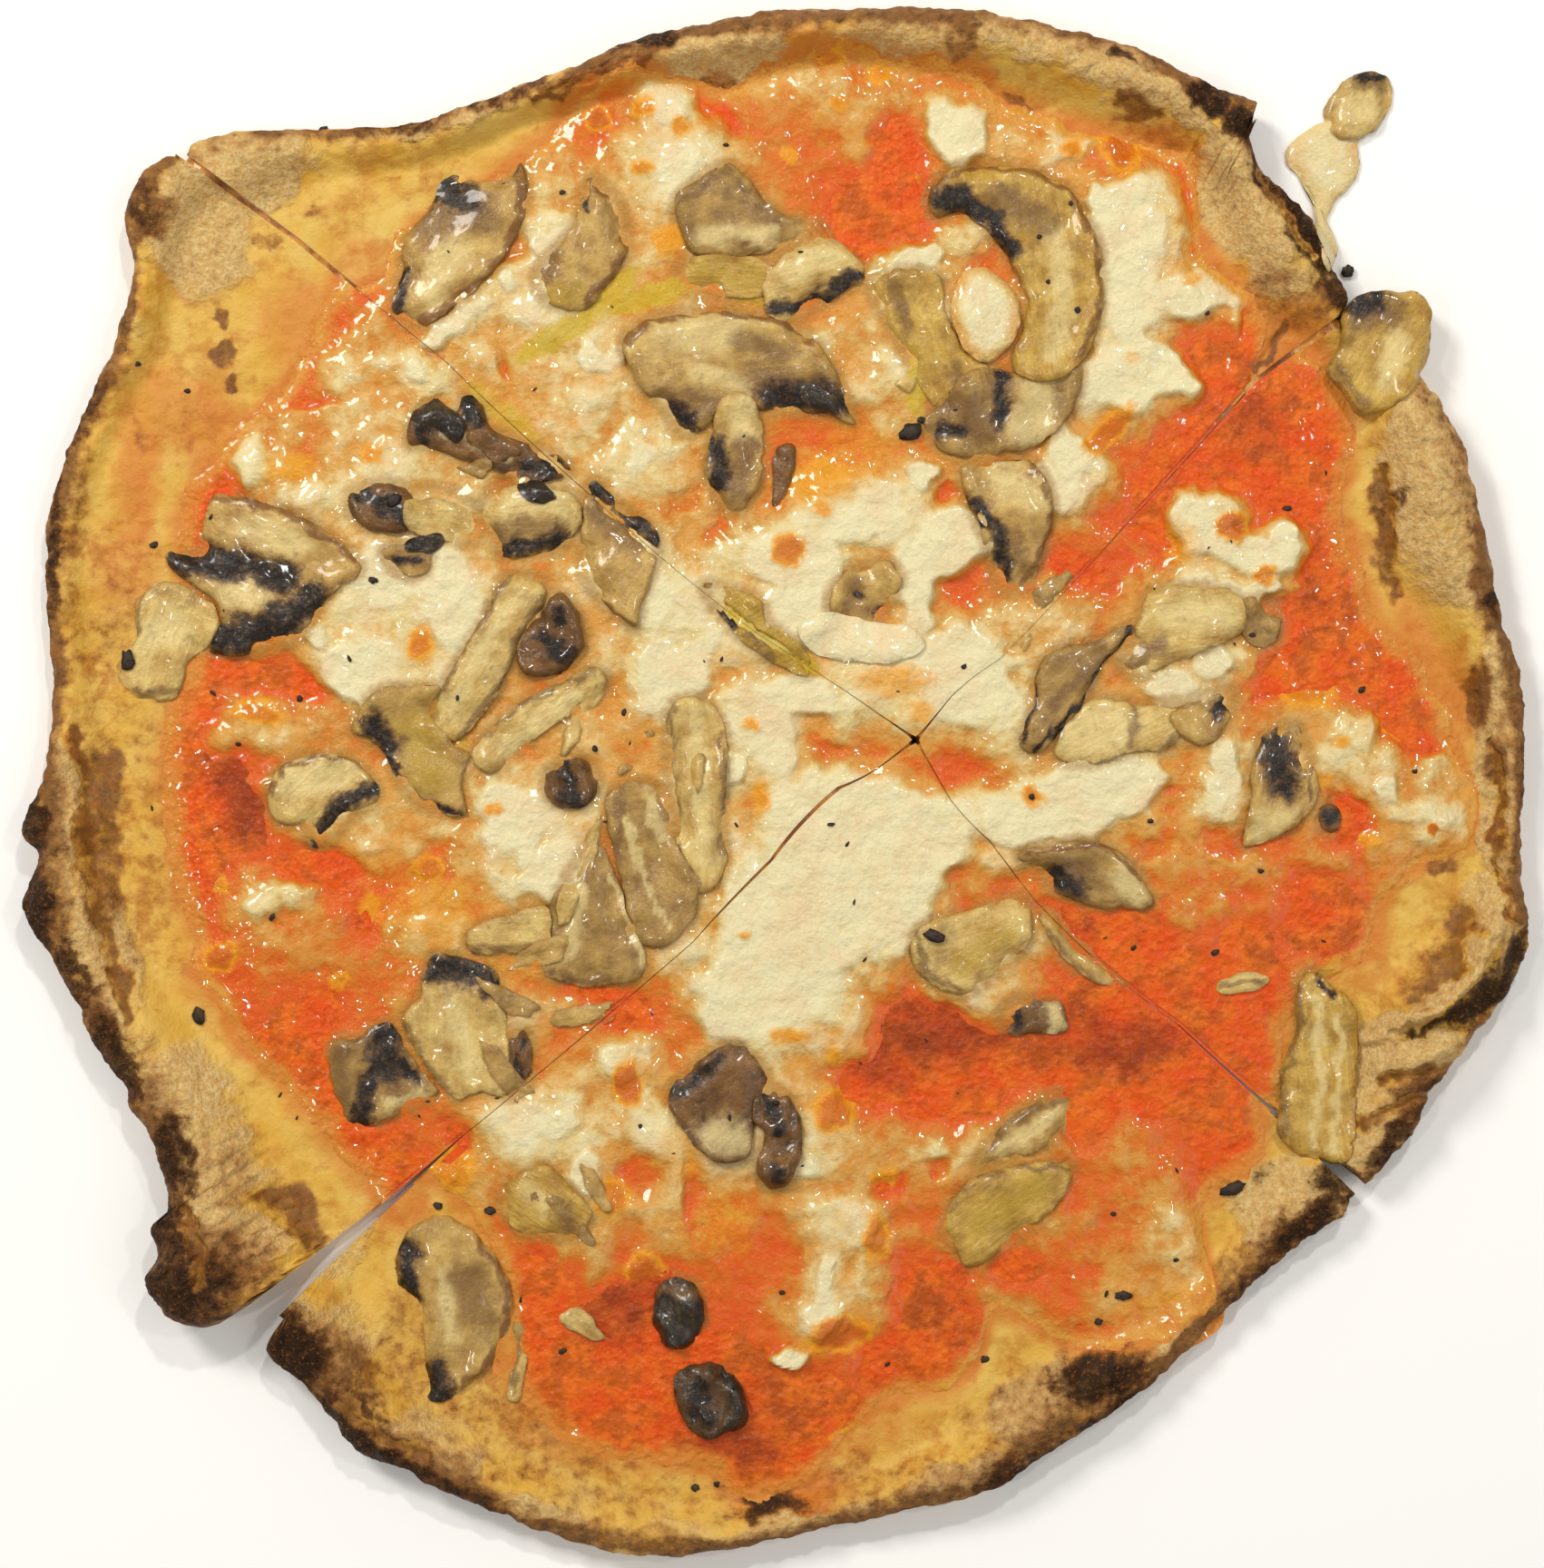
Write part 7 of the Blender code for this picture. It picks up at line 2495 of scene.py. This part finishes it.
class Outline:
    """A closed line round a piece, and the grid of places that fills it."""

    TRIES = 36  # places tried for the grid's first corner
    RATIOS = (1.0, 1.5, 2.2, 3.2)  # grid's length against its width
    TRIAL_FACES = 9  # along each side of a grid that is tried
    FEWEST_FACES = 8  # along each side of the grid that is kept
    BEND = 0.005  # from one bend of the roughened line to the next
    STEPS = 10  # places on the smooth line, between two of its points

    def __init__(self, points: Sequence[tuple[float, float]], wander: float, grain: Noise) -> None:
        """Smooths and roughens the line.

        Args:
            points: the line's points, in pixels.
            wander: how uneven it is, in metres.
            grain: the noise that makes it uneven.
        """
        line = smooth_line(points, self.STEPS, closed=True)
        right = grain.layered(line[:, 0], line[:, 1] + 0.4, self.BEND, 3, 0.6)
        up = grain.layered(line[:, 0] + 0.4, line[:, 1], self.BEND, 3, 0.6)
        line = line + wander * np.column_stack((right, up))
        self.line = np.vstack((line, line[:1]))
        steps = np.hypot(*np.diff(self.line, axis=0).T)
        self.length = steps.sum()
        self.shares = np.concatenate(([0], np.cumsum(steps))) / self.length

    def at(self, share: Array) -> Array:
        """Places at shares of the way round."""
        share = np.mod(share, 1)
        return np.column_stack([np.interp(share, self.shares, self.line[:, k]) for k in (0, 1)])

    def patch(self, columns: int, rows: int, start: float, ratio: float) -> Array:
        """A grid that fills the line.

        Args:
            columns: faces along it.
            rows: faces across it.
            start: share of the way round at the grid's first corner.
            ratio: length of its long side against its short one.

        Returns:
            Places in rows and columns.
        """
        long_side = ratio / (2 * (1 + ratio))
        u, v = np.linspace(0, 1, columns + 1), np.linspace(0, 1, rows + 1)
        low, high = self.at(start + long_side * u), self.at(start + 0.5 + long_side * (1 - u))
        right = self.at(start + long_side + (0.5 - long_side) * v)
        left = self.at(start + 1 - (0.5 - long_side) * v)
        u, v = u[None, :, None], v[:, None, None]
        straight = (1 - v) * low[None] + v * high[None] + (1 - u) * left[:, None] + u * right[:, None]
        near = (1 - u) * (1 - v) * low[0] + u * (1 - v) * low[-1]
        return straight - (near + (1 - u) * v * high[0] + u * v * high[-1])

    def best_patch(self, spacing: float) -> Array:
        """The least squeezed of the grids that fill the line.

        Args:
            spacing: from one corner of it to the next, in metres.

        Returns:
            Places in rows and columns.
        """
        best, choice = -FAR, (0.0, 1.0)
        for ratio in self.RATIOS:
            for k in range(self.TRIES):
                grid = self.patch(self.TRIAL_FACES, self.TRIAL_FACES, k / self.TRIES, ratio)
                along, across = grid[:-1, 1:] - grid[:-1, :-1], grid[1:, :-1] - grid[:-1, :-1]
                areas = along[..., 0] * across[..., 1] - along[..., 1] * across[..., 0]
                areas = areas * np.sign(areas.mean())
                score = areas.min() / areas.mean()
                if score > best:
                    best, choice = score, (k / self.TRIES, ratio)
        start, ratio = choice
        long_side = self.length * ratio / (2 * (1 + ratio))
        columns = max(self.FEWEST_FACES, round(long_side / spacing))
        rows = max(self.FEWEST_FACES, round((self.length / 2 - long_side) / spacing))
        return self.patch(columns, rows, start, ratio)

    def inside(self, x: Array, y: Array) -> Array:
        """How far places inside the line are from it.

        Args:
            x: places, in metres, in rows and columns.
            y: the same.

        Returns:
            The distances, in metres.
        """
        line_x, line_y = self.line.T[:, None, :]
        gaps = np.hypot(x.ravel()[:, None] - line_x, y.ravel()[:, None] - line_y)
        return gaps.min(axis=1).reshape(x.shape)


@dataclass
class MushroomSlice:
    """One cooked piece of mushroom, draped over what lies under it."""

    cutting: Cutting
    spacing: float = 0.00072
    wander: float = 0.00045
    drape: float = 0.0026  # how softly it follows what is under it
    sag: float = 0.0030  # how far it hangs below the highest thing under it
    edge_share: float = 0.16  # thickness at its edge against its middle
    rounding: float = 0.0018  # how far in from its edge it is rounded
    dip: float = 0.0015  # how deep parts of its edge go into what is under it
    sink: float = 0.0004  # how far its underside goes into what is under it
    bed: float = 0.0007  # how deep it lies in what is under it
    thinnest: float = 0.0006
    gill_depth: float = 0.0005
    fibre_height: float = 0.00022  # height of the wrinkles along its fibres
    wrinkle_height: float = 0.0004  # height of its broad wrinkles
    crumple_height: float = 0.0005
    crease: float = 65.0  # edges sharper than this many degrees stay sharp

    def build(self, heights: Raster, baking: Baking, finishes: Finishes) -> bpy.types.Object:
        """Makes the piece's mesh, lays it down and dresses it.

        Args:
            heights: what lies there already, to which the piece is added.
            baking: the pizza's chance.
            finishes: the pizza's finishes.

        Returns:
            The piece's object.
        """
        cutting, grain = self.cutting, baking.grain
        outline = Outline(cutting.outline, self.wander, grain)
        grid = outline.best_patch(self.spacing)
        x, y = grid[..., 0], grid[..., 1]
        edge = outline.inside(x, y)
        under = heights.read(x, y)
        soft = heights.softly(x, y, self.drape)
        rest = np.maximum(soft, max(under.max() - self.sag, 0)) - self.bed
        rounded = np.sqrt(1 - (1 - np.clip(edge / self.rounding, 0, 1)) ** 2)
        thick = cutting.thickness * (self.edge_share + (1 - self.edge_share) * rounded)
        turn = math.radians(cutting.grain)
        lengthwise = x * math.cos(turn) + y * math.sin(turn)
        crosswise = y * math.cos(turn) - x * math.sin(turn)
        tags = {tone.value: np.zeros(x.shape) for tone in Tone}
        wx, wy = baking.drifted(x, y, 0.0012, 0.0042)
        for mark in cutting.marks:
            found = stroked(mark.line, mark.width, wx, wy)
            tags[mark.tone.value] = np.maximum(tags[mark.tone.value], found)
        fibres = self.fibre_height * grain.layered(lengthwise * 0.3, crosswise, 0.0020, 3)
        wrinkles = fibres + self.wrinkle_height * grain.layered(x, y, 0.007, 2)
        wrinkles += (cutting.crumple - 1) * self.crumple_height * grain.layered(x, y + 0.2, 0.0045, 2, 0.4)
        curled = smoothstep(grain.layered(x, y + 0.7, 0.016, 2), -0.2, 0.6)
        curl = cutting.curl * MM * (1 - smoothstep(edge, 0, 0.005)) * curled
        top = rest + thick + wrinkles * rounded + curl - self.gill_depth * tags["gill"]
        lowered = smoothstep(grain.layered(x + 0.3, y, 0.013, 2), 0.0, 0.5)
        dipped = self.dip * (1 - smoothstep(edge, 0.0005, 0.0045)) * lowered
        top = np.maximum(top, under + 0.0003 + 0.3 * thick) - dipped
        top = np.maximum(top, LOWEST_TOP)
        bottom = np.maximum(np.minimum(under - self.sink, top - self.thinnest), 0)
        tags["along"], tags["across"] = lengthwise, crosswise
        # The band just inside the outline that is darkened: the skin's rim together with painted edge shade.
        tags["rind"] = 1 - smoothstep(edge, 0, 0.0012)
        name = f"mushroom_slice_{cutting.name}"
        mesh = slab_mesh(name, np.dstack((x, y, bottom)), np.dstack((x, y, top)), tags)
        heights.lay(x, y, top)
        return finished(name, mesh, finishes.flesh[cutting.flesh], self.crease, cutting.node)


# Small pieces ---------------------------------------------------------------------------------
@dataclass
class CheesePool:
    """A thick drop of cheese that lies on top of something else."""

    name: str
    outline: tuple[tuple[float, float], ...]  # pixels
    thickness: float = 0.0016
    milk: float = 1.0
    rim: float = 0.0  # how orange its edge is
    spacing: float = 0.0007
    node: str = ""  # the solid that it stands for, or "" where it has none
    drape: float = 0.0016  # how softly it follows what is under it
    wander: float = 0.0004  # how uneven its outline is
    rounding: float = 0.0028  # how far in from its edge it is rounded
    relief_height: float = 0.00025
    sink: float = 0.0005  # how far its underside goes into what is under it
    crease: float = 65.0  # edges sharper than this many degrees stay sharp

    def build(self, heights: Raster, baking: Baking, finishes: Finishes) -> bpy.types.Object:
        """Makes the drop's mesh, lays it down and dresses it.

        Args:
            heights: what lies there already, to which the drop is added.
            baking: the pizza's chance.
            finishes: the pizza's finishes.

        Returns:
            The drop's object.
        """
        outline = Outline(self.outline, self.wander, baking.grain)
        grid = outline.best_patch(self.spacing)
        x, y = grid[..., 0], grid[..., 1]
        edge = outline.inside(x, y)
        under = heights.read(x, y)
        rest = heights.softly(x, y, self.drape)
        dome = np.sqrt(1 - (1 - np.clip(edge / self.rounding, 0, 1)) ** 2)
        relief = self.relief_height * baking.grain.layered(x, y, 0.004, 3)
        top = np.maximum(rest, under) + self.thickness * (0.25 + 0.75 * dome) + relief * dome
        bottom = np.maximum(np.minimum(under, top) - self.sink, 0)
        tags = {
            "milk": self.milk - self.rim * (1 - smoothstep(edge, 0.0008, 0.0035)),
            "inside": np.ones(x.shape),
            "brown": np.zeros(x.shape),
            "oil": 0.8 * self.rim * (1 - smoothstep(edge, 0.001, 0.003)),
        }
        mesh = slab_mesh(self.name, np.dstack((x, y, bottom)), np.dstack((x, y, top)), tags)
        heights.lay(x, y, top)
        return finished(self.name, mesh, finishes.cheese, self.crease, self.node)


POOLS = (
    CheesePool("cheese_drop_on_cap", (
        (1078, 294), (1100, 305), (1118, 325), (1124, 352), (1112, 380), (1092, 400), (1070, 392), (1054, 370),
        (1048, 340), (1056, 310),
    ), 0.0022, 1.0, 0.35),
    CheesePool("cheese_on_olive", (
        (880, 690), (912, 676), (960, 684), (1000, 690), (1020, 712), (985, 730), (930, 728), (892, 716),
    ), 0.0012),
)

# The cheese that has run off the rim onto the table.
STRAND = CheesePool("strand_on_table", (
    (1466, 300), (1475, 284), (1478, 262), (1468, 240), (1474, 222), (1492, 202), (1502, 178), (1500, 152),
    (1508, 128), (1480, 122), (1448, 136), (1428, 152), (1422, 172), (1438, 196), (1450, 214), (1454, 240),
    (1452, 262), (1456, 290),
), 0.0016, 0.88, 0.1, node="cheese_strand", drape=0.004)

# Burnt bits and herb flakes: pixel of the middle, half length, half width and turn.
BITS = spots(
    (140, 727, 8, 11), (218, 1120, 7, 10, 20), (1238, 1428, 10, 5), (1211, 1457, 5, 4),
    (1030, 1031, 12, 7, -20), (688, 785, 3, 5), (656, 825, 4, 4), (1282, 1120, 4, 4), (1155, 312, 3, 3),
    (1187, 343, 4, 4), (1145, 262, 3, 3), (1250, 1045, 4, 3, 30), (1228, 1338, 4, 3), (152, 401, 4, 4),
    (205, 430, 4, 3), (168, 600, 5, 4, 40), (855, 1215, 4, 3), (766, 1642, 5, 4), (790, 1638, 4, 4),
    (1360, 1310, 15, 7, 20), (540, 1335, 6, 5), (1490, 295, 7, 7), (330, 142, 5, 4), (352, 138, 6, 4, 30),
    (368, 143, 5, 3), (1137, 878, 4, 4), (1004, 476, 13, 10, 20), (1016, 463, 5, 4), (436, 552, 9, 6, 30),
    (1296, 1388, 4, 3), (706, 1240, 3, 3), (1062, 735, 4, 3, 50), (934, 930, 4, 2, 60), (1268, 905, 4, 3),
    (1390, 960, 4, 3), (1340, 1050, 5, 3, 20), (482, 1330, 5, 4), (620, 1490, 5, 3, 30), (862, 1425, 4, 3),
    (1086, 1500, 5, 4), (300, 1010, 5, 3, 70), (262, 820, 4, 3), (330, 770, 4, 4), (412, 640, 5, 4),
    (620, 212, 4, 3), (800, 160, 4, 3), (1180, 225, 3, 3), (1330, 345, 4, 3), (1420, 560, 5, 3),
    (1502, 760, 5, 3, 40), (1560, 850, 4, 3), (1380, 700, 4, 3),
)


@dataclass
class CutOil:
    """Golden oil and melted cheese that have run back into a knife cut."""

    name: str
    cut: Sequence[Cut]
    overlap: float = 0.0007  # how far it goes under each side
    reach: float = 0.0014  # how far off its surroundings' height is taken
    below: float = 0.0003  # how far it stays under them
    dip: float = 0.0003  # how far its middle sinks
    depth: float = 0.0012
    columns: int = 6  # faces across it
    finer: int = 24  # faces along it, between two of the cut's points
    crease: float = 60.0  # edges sharper than this many degrees stay sharp

    def build(self, heights: Raster, finishes: Finishes) -> bpy.types.Object:
        """Makes the run and lays it into its cut.

        Args:
            heights: what lies there already.
            finishes: the pizza's finishes.

        Returns:
            The run's object.
        """
        left, right = (self.finely(offset_line(self.cut, side)) for side in (1, -1))
        way = left - right
        gap = np.hypot(way[:, 0], way[:, 1])[:, None]
        way = way / gap
        share = np.linspace(0, 1, self.columns + 1)[None, :]
        apart = (gap + 2 * self.overlap) * share - self.overlap
        x, y = right[:, :1] + way[:, :1] * apart, right[:, 1:] + way[:, 1:] * apart
        sides = []
        for start, turn in ((left, 1), (right, -1)):
            off = start + turn * self.reach * way
            sides.append(heights.read(off[:, 0], off[:, 1]))
        top = np.minimum(*sides)[:, None] - self.below - self.dip * np.sin(math.pi * share)
        top = np.maximum(top, self.depth + 0.0004)
        lower, upper = np.dstack((x, y, top - self.depth)), np.dstack((x, y, top))
        mesh = slab_mesh(self.name, lower, upper, {})
        return finished(self.name, mesh, finishes.oil, self.crease)

    def finely(self, line: Array) -> Array:
        """The line with more places on it."""
        steps = np.linspace(0, len(line) - 1, self.finer * (len(line) - 1) + 1)
        return np.column_stack([np.interp(steps, np.arange(len(line)), line[:, k]) for k in (0, 1)])


# The lower two stop short of the rim, where the slices stand apart.
RUNS = (
    CutOil("run_upper_right", CUT_UPPER_RIGHT),
    CutOil("run_upper_left", CUT_UPPER_LEFT),
    CutOil("run_lower_left", CUT_LOWER_LEFT[:5]),
    CutOil("run_lower_right", CUT_LOWER_RIGHT[:4]),
)


@dataclass
class Crumbs:
    """Burnt bits and herb flakes lying on the pizza, as one mesh."""

    scattered: int = 46
    middle: tuple[float, float] = (860.0, 865.0)  # the pixel that they are scattered round
    reach: float = 700.0  # how far from it they lie, in pixels
    smallest: float = 0.9  # half width, in pixels
    largest: float = 2.2
    long: float = 2.2  # a flake's length against its width
    uneven: float = 0.25  # how far a crumb's corners stray, as a share of its size
    flatness: float = 0.5  # height against the smaller of its two half widths
    fine_from: float = 5.0  # half length, in pixels, from which a crumb has more faces
    lift: float = 0.5  # how high a crumb's middle stands, against its half height
    lift_on_table: float = 1.3
    seed: int = 5

    def build(self, heights: Raster, finishes: Finishes) -> bpy.types.Object:
        """Makes the crumbs, lays each on what is under it and dresses them.

        Args:
            heights: what lies there already.
            finishes: the pizza's finishes.

        Returns:
            The crumbs' object.
        """
        chance = np.random.default_rng(self.seed)
        work = bmesh.new()
        for spot in BITS:
            self.add(work, spot, heights, chance)
        for _ in range(self.scattered):
            angle, far = chance.uniform(0, 2 * math.pi), self.reach * math.sqrt(chance.uniform(0, 1))
            size = chance.uniform(self.smallest, self.largest)
            x, y = self.middle[0] + far * math.cos(angle), self.middle[1] + far * math.sin(angle)
            flake = Spot(x, y, size * self.long, size, chance.uniform(0, 180))
            self.add(work, flake, heights, chance)
        mesh = bpy.data.meshes.new("burnt_crumbs")
        work.to_mesh(mesh)
        work.free()
        mesh.materials.append(finishes.char)
        mesh.shade_smooth()
        return ridden("burnt_crumbs", mesh)

    def add(self, work: bmesh.types.BMesh, spot: Spot, heights: Raster, chance: np.random.Generator) -> None:
        """Adds one flattened, uneven ball.

        Args:
            work: the crumbs so far.
            spot: where it lies, and its size.
            heights: what lies there already.
            chance: draws its unevenness.
        """
        x, y = place(spot.x, spot.y)
        z = float(heights.read(np.array(x), np.array(y)))
        rounds = 1 if spot.rx < self.fine_from else 2
        ball = bmesh.ops.create_icosphere(work, subdivisions=rounds, radius=1)["verts"]
        for corner in ball:
            corner.co *= 1 + chance.uniform(-self.uneven, self.uneven)
        thick = min(spot.rx, spot.ry) * PIXEL * self.flatness
        bmesh.ops.scale(work, verts=ball, vec=(spot.rx * PIXEL, spot.ry * PIXEL, thick))
        turn = Matrix.Rotation(math.radians(spot.turn), 3, "Z")
        bmesh.ops.rotate(work, verts=ball, cent=(0, 0, 0), matrix=turn)
        lift = self.lift if z > MM else self.lift_on_table
        bmesh.ops.translate(work, verts=ball, vec=(x, y, z + thick * lift))


# The picture ----------------------------------------------------------------------------------
class Lamp(NamedTuple):
    """A square lamp that points at the pizza."""

    name: str
    at: Triple  # metres
    size: float  # length of its side
    watts: float
    colour: Triple


@dataclass
class Studio:
    """A plain pale floor, soft light, and a camera that looks straight down."""

    camera_pixel: tuple[float, float] = (851.0, 864.0)  # the picture's middle
    distance: float = 0.75  # from the lens to the plane of focus
    focus_height: float = 0.006
    sensor: float = 36.0
    sky: float = 0.35
    sky_colour: Colour = (1.0, 0.98, 0.94, 1.0)
    floor_size: float = 3.0  # from its middle to a side
    floor_colour: Colour = (0.97, 0.965, 0.95, 1.0)
    floor_roughness: float = 0.85
    lamps: tuple[Lamp, ...] = (
        Lamp("window", (-0.7, 0.75, 1.0), 0.32, 10.4, (1.0, 0.965, 0.90)),
        Lamp("far_lamp", (0.25, 0.8, 1.1), 0.06, 4.2, (1.0, 0.97, 0.92)),
        Lamp("left_lamp", (-0.55, -0.15, 1.1), 0.05, 1.4, (1.0, 0.97, 0.92)),
        Lamp("right_lamp", (0.6, 0.25, 1.1), 0.05, 1.4, (1.0, 0.97, 0.92)),
        Lamp("fill", (0.9, -0.3, 1.1), 1.0, 2.6, (0.99, 0.98, 0.96)),
    )

    def build(self) -> None:
        """Makes the floor, the lights and the camera."""
        self.lay_floor()
        world = bpy.data.worlds.new("soft_sky")
        world.use_nodes = True
        backdrop = world.node_tree.nodes["Background"]
        backdrop.inputs["Color"].default_value = self.sky_colour
        backdrop.inputs["Strength"].default_value = self.sky
        bpy.context.scene.world = world
        for lamp in self.lamps:
            self.hang(lamp)
        self.set_camera()

    def set_camera(self) -> None:
        """Sets the camera over the pizza, with the photograph's frame."""
        bpy.context.scene.view_settings.view_transform = "Standard"
        camera = bpy.data.cameras.new("camera")
        camera.sensor_width = self.sensor
        camera.lens = self.sensor * self.distance / (FRAME_PIXELS[1] * PIXEL)
        seen = bpy.data.objects.new("camera", camera)
        seen.location = (*place(*self.camera_pixel), self.focus_height + self.distance)
        bpy.context.scene.collection.objects.link(seen)
        bpy.context.scene.camera = seen

    def lay_floor(self) -> None:
        """Makes the floor that the pizza lies on."""
        work = bmesh.new()
        bmesh.ops.create_grid(work, x_segments=2, y_segments=2, size=self.floor_size)
        mesh = bpy.data.meshes.new("floor")
        work.to_mesh(mesh)
        work.free()
        paint = Paint("floor")
        paint.feed("Base Color", self.floor_colour)
        paint.feed("Roughness", self.floor_roughness)
        mesh.materials.append(paint.material)
        floor = bpy.data.objects.new("floor", mesh)
        bpy.context.scene.collection.objects.link(floor)

    def hang(self, lamp: Lamp) -> None:
        """Adds one lamp.

        Args:
            lamp: the lamp.
        """
        light = bpy.data.lights.new(lamp.name, "AREA")
        light.size, light.energy, light.color = lamp.size, lamp.watts, lamp.colour
        made = bpy.data.objects.new(lamp.name, light)
        made.location = lamp.at
        made.rotation_euler = (-Vector(lamp.at)).to_track_quat("-Z", "Y").to_euler()
        bpy.context.scene.collection.objects.link(made)


def main() -> None:
    """Builds the pizza from its dough up, and the picture round it."""
    logging.basicConfig(level=logging.INFO, format="%(name)s: %(message)s")
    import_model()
    Studio().build()
    finishes, baking, heights = Finishes(), Baking(), Raster(HEIGHT_CELL)
    for quarter in QUARTERS:
        slice_ = Slice(quarter, baking)
        for made in slice_.build(finishes):
            LOG.info("%s: %d faces", made.name, len(made.data.polygons))
        slice_.mark(heights)
    for run in RUNS:
        LOG.info("%s is laid", run.build(heights, finishes).name)
    LOG.info("%s is laid", STRAND.build(heights, baking, finishes).name)
    shreds = [shred(number, *given) for number, given in enumerate(SHREDS, 1)]
    for cutting in (*CUTTINGS, *shreds):
        made = MushroomSlice(cutting).build(heights, baking, finishes)
        LOG.info("%s: %d faces", made.name, len(made.data.polygons))
    for pool in POOLS:
        LOG.info("%s is laid", pool.build(heights, baking, finishes).name)
    LOG.info("%s are scattered", Crumbs().build(heights, finishes).name)


if __name__ == "__main__":
    main()
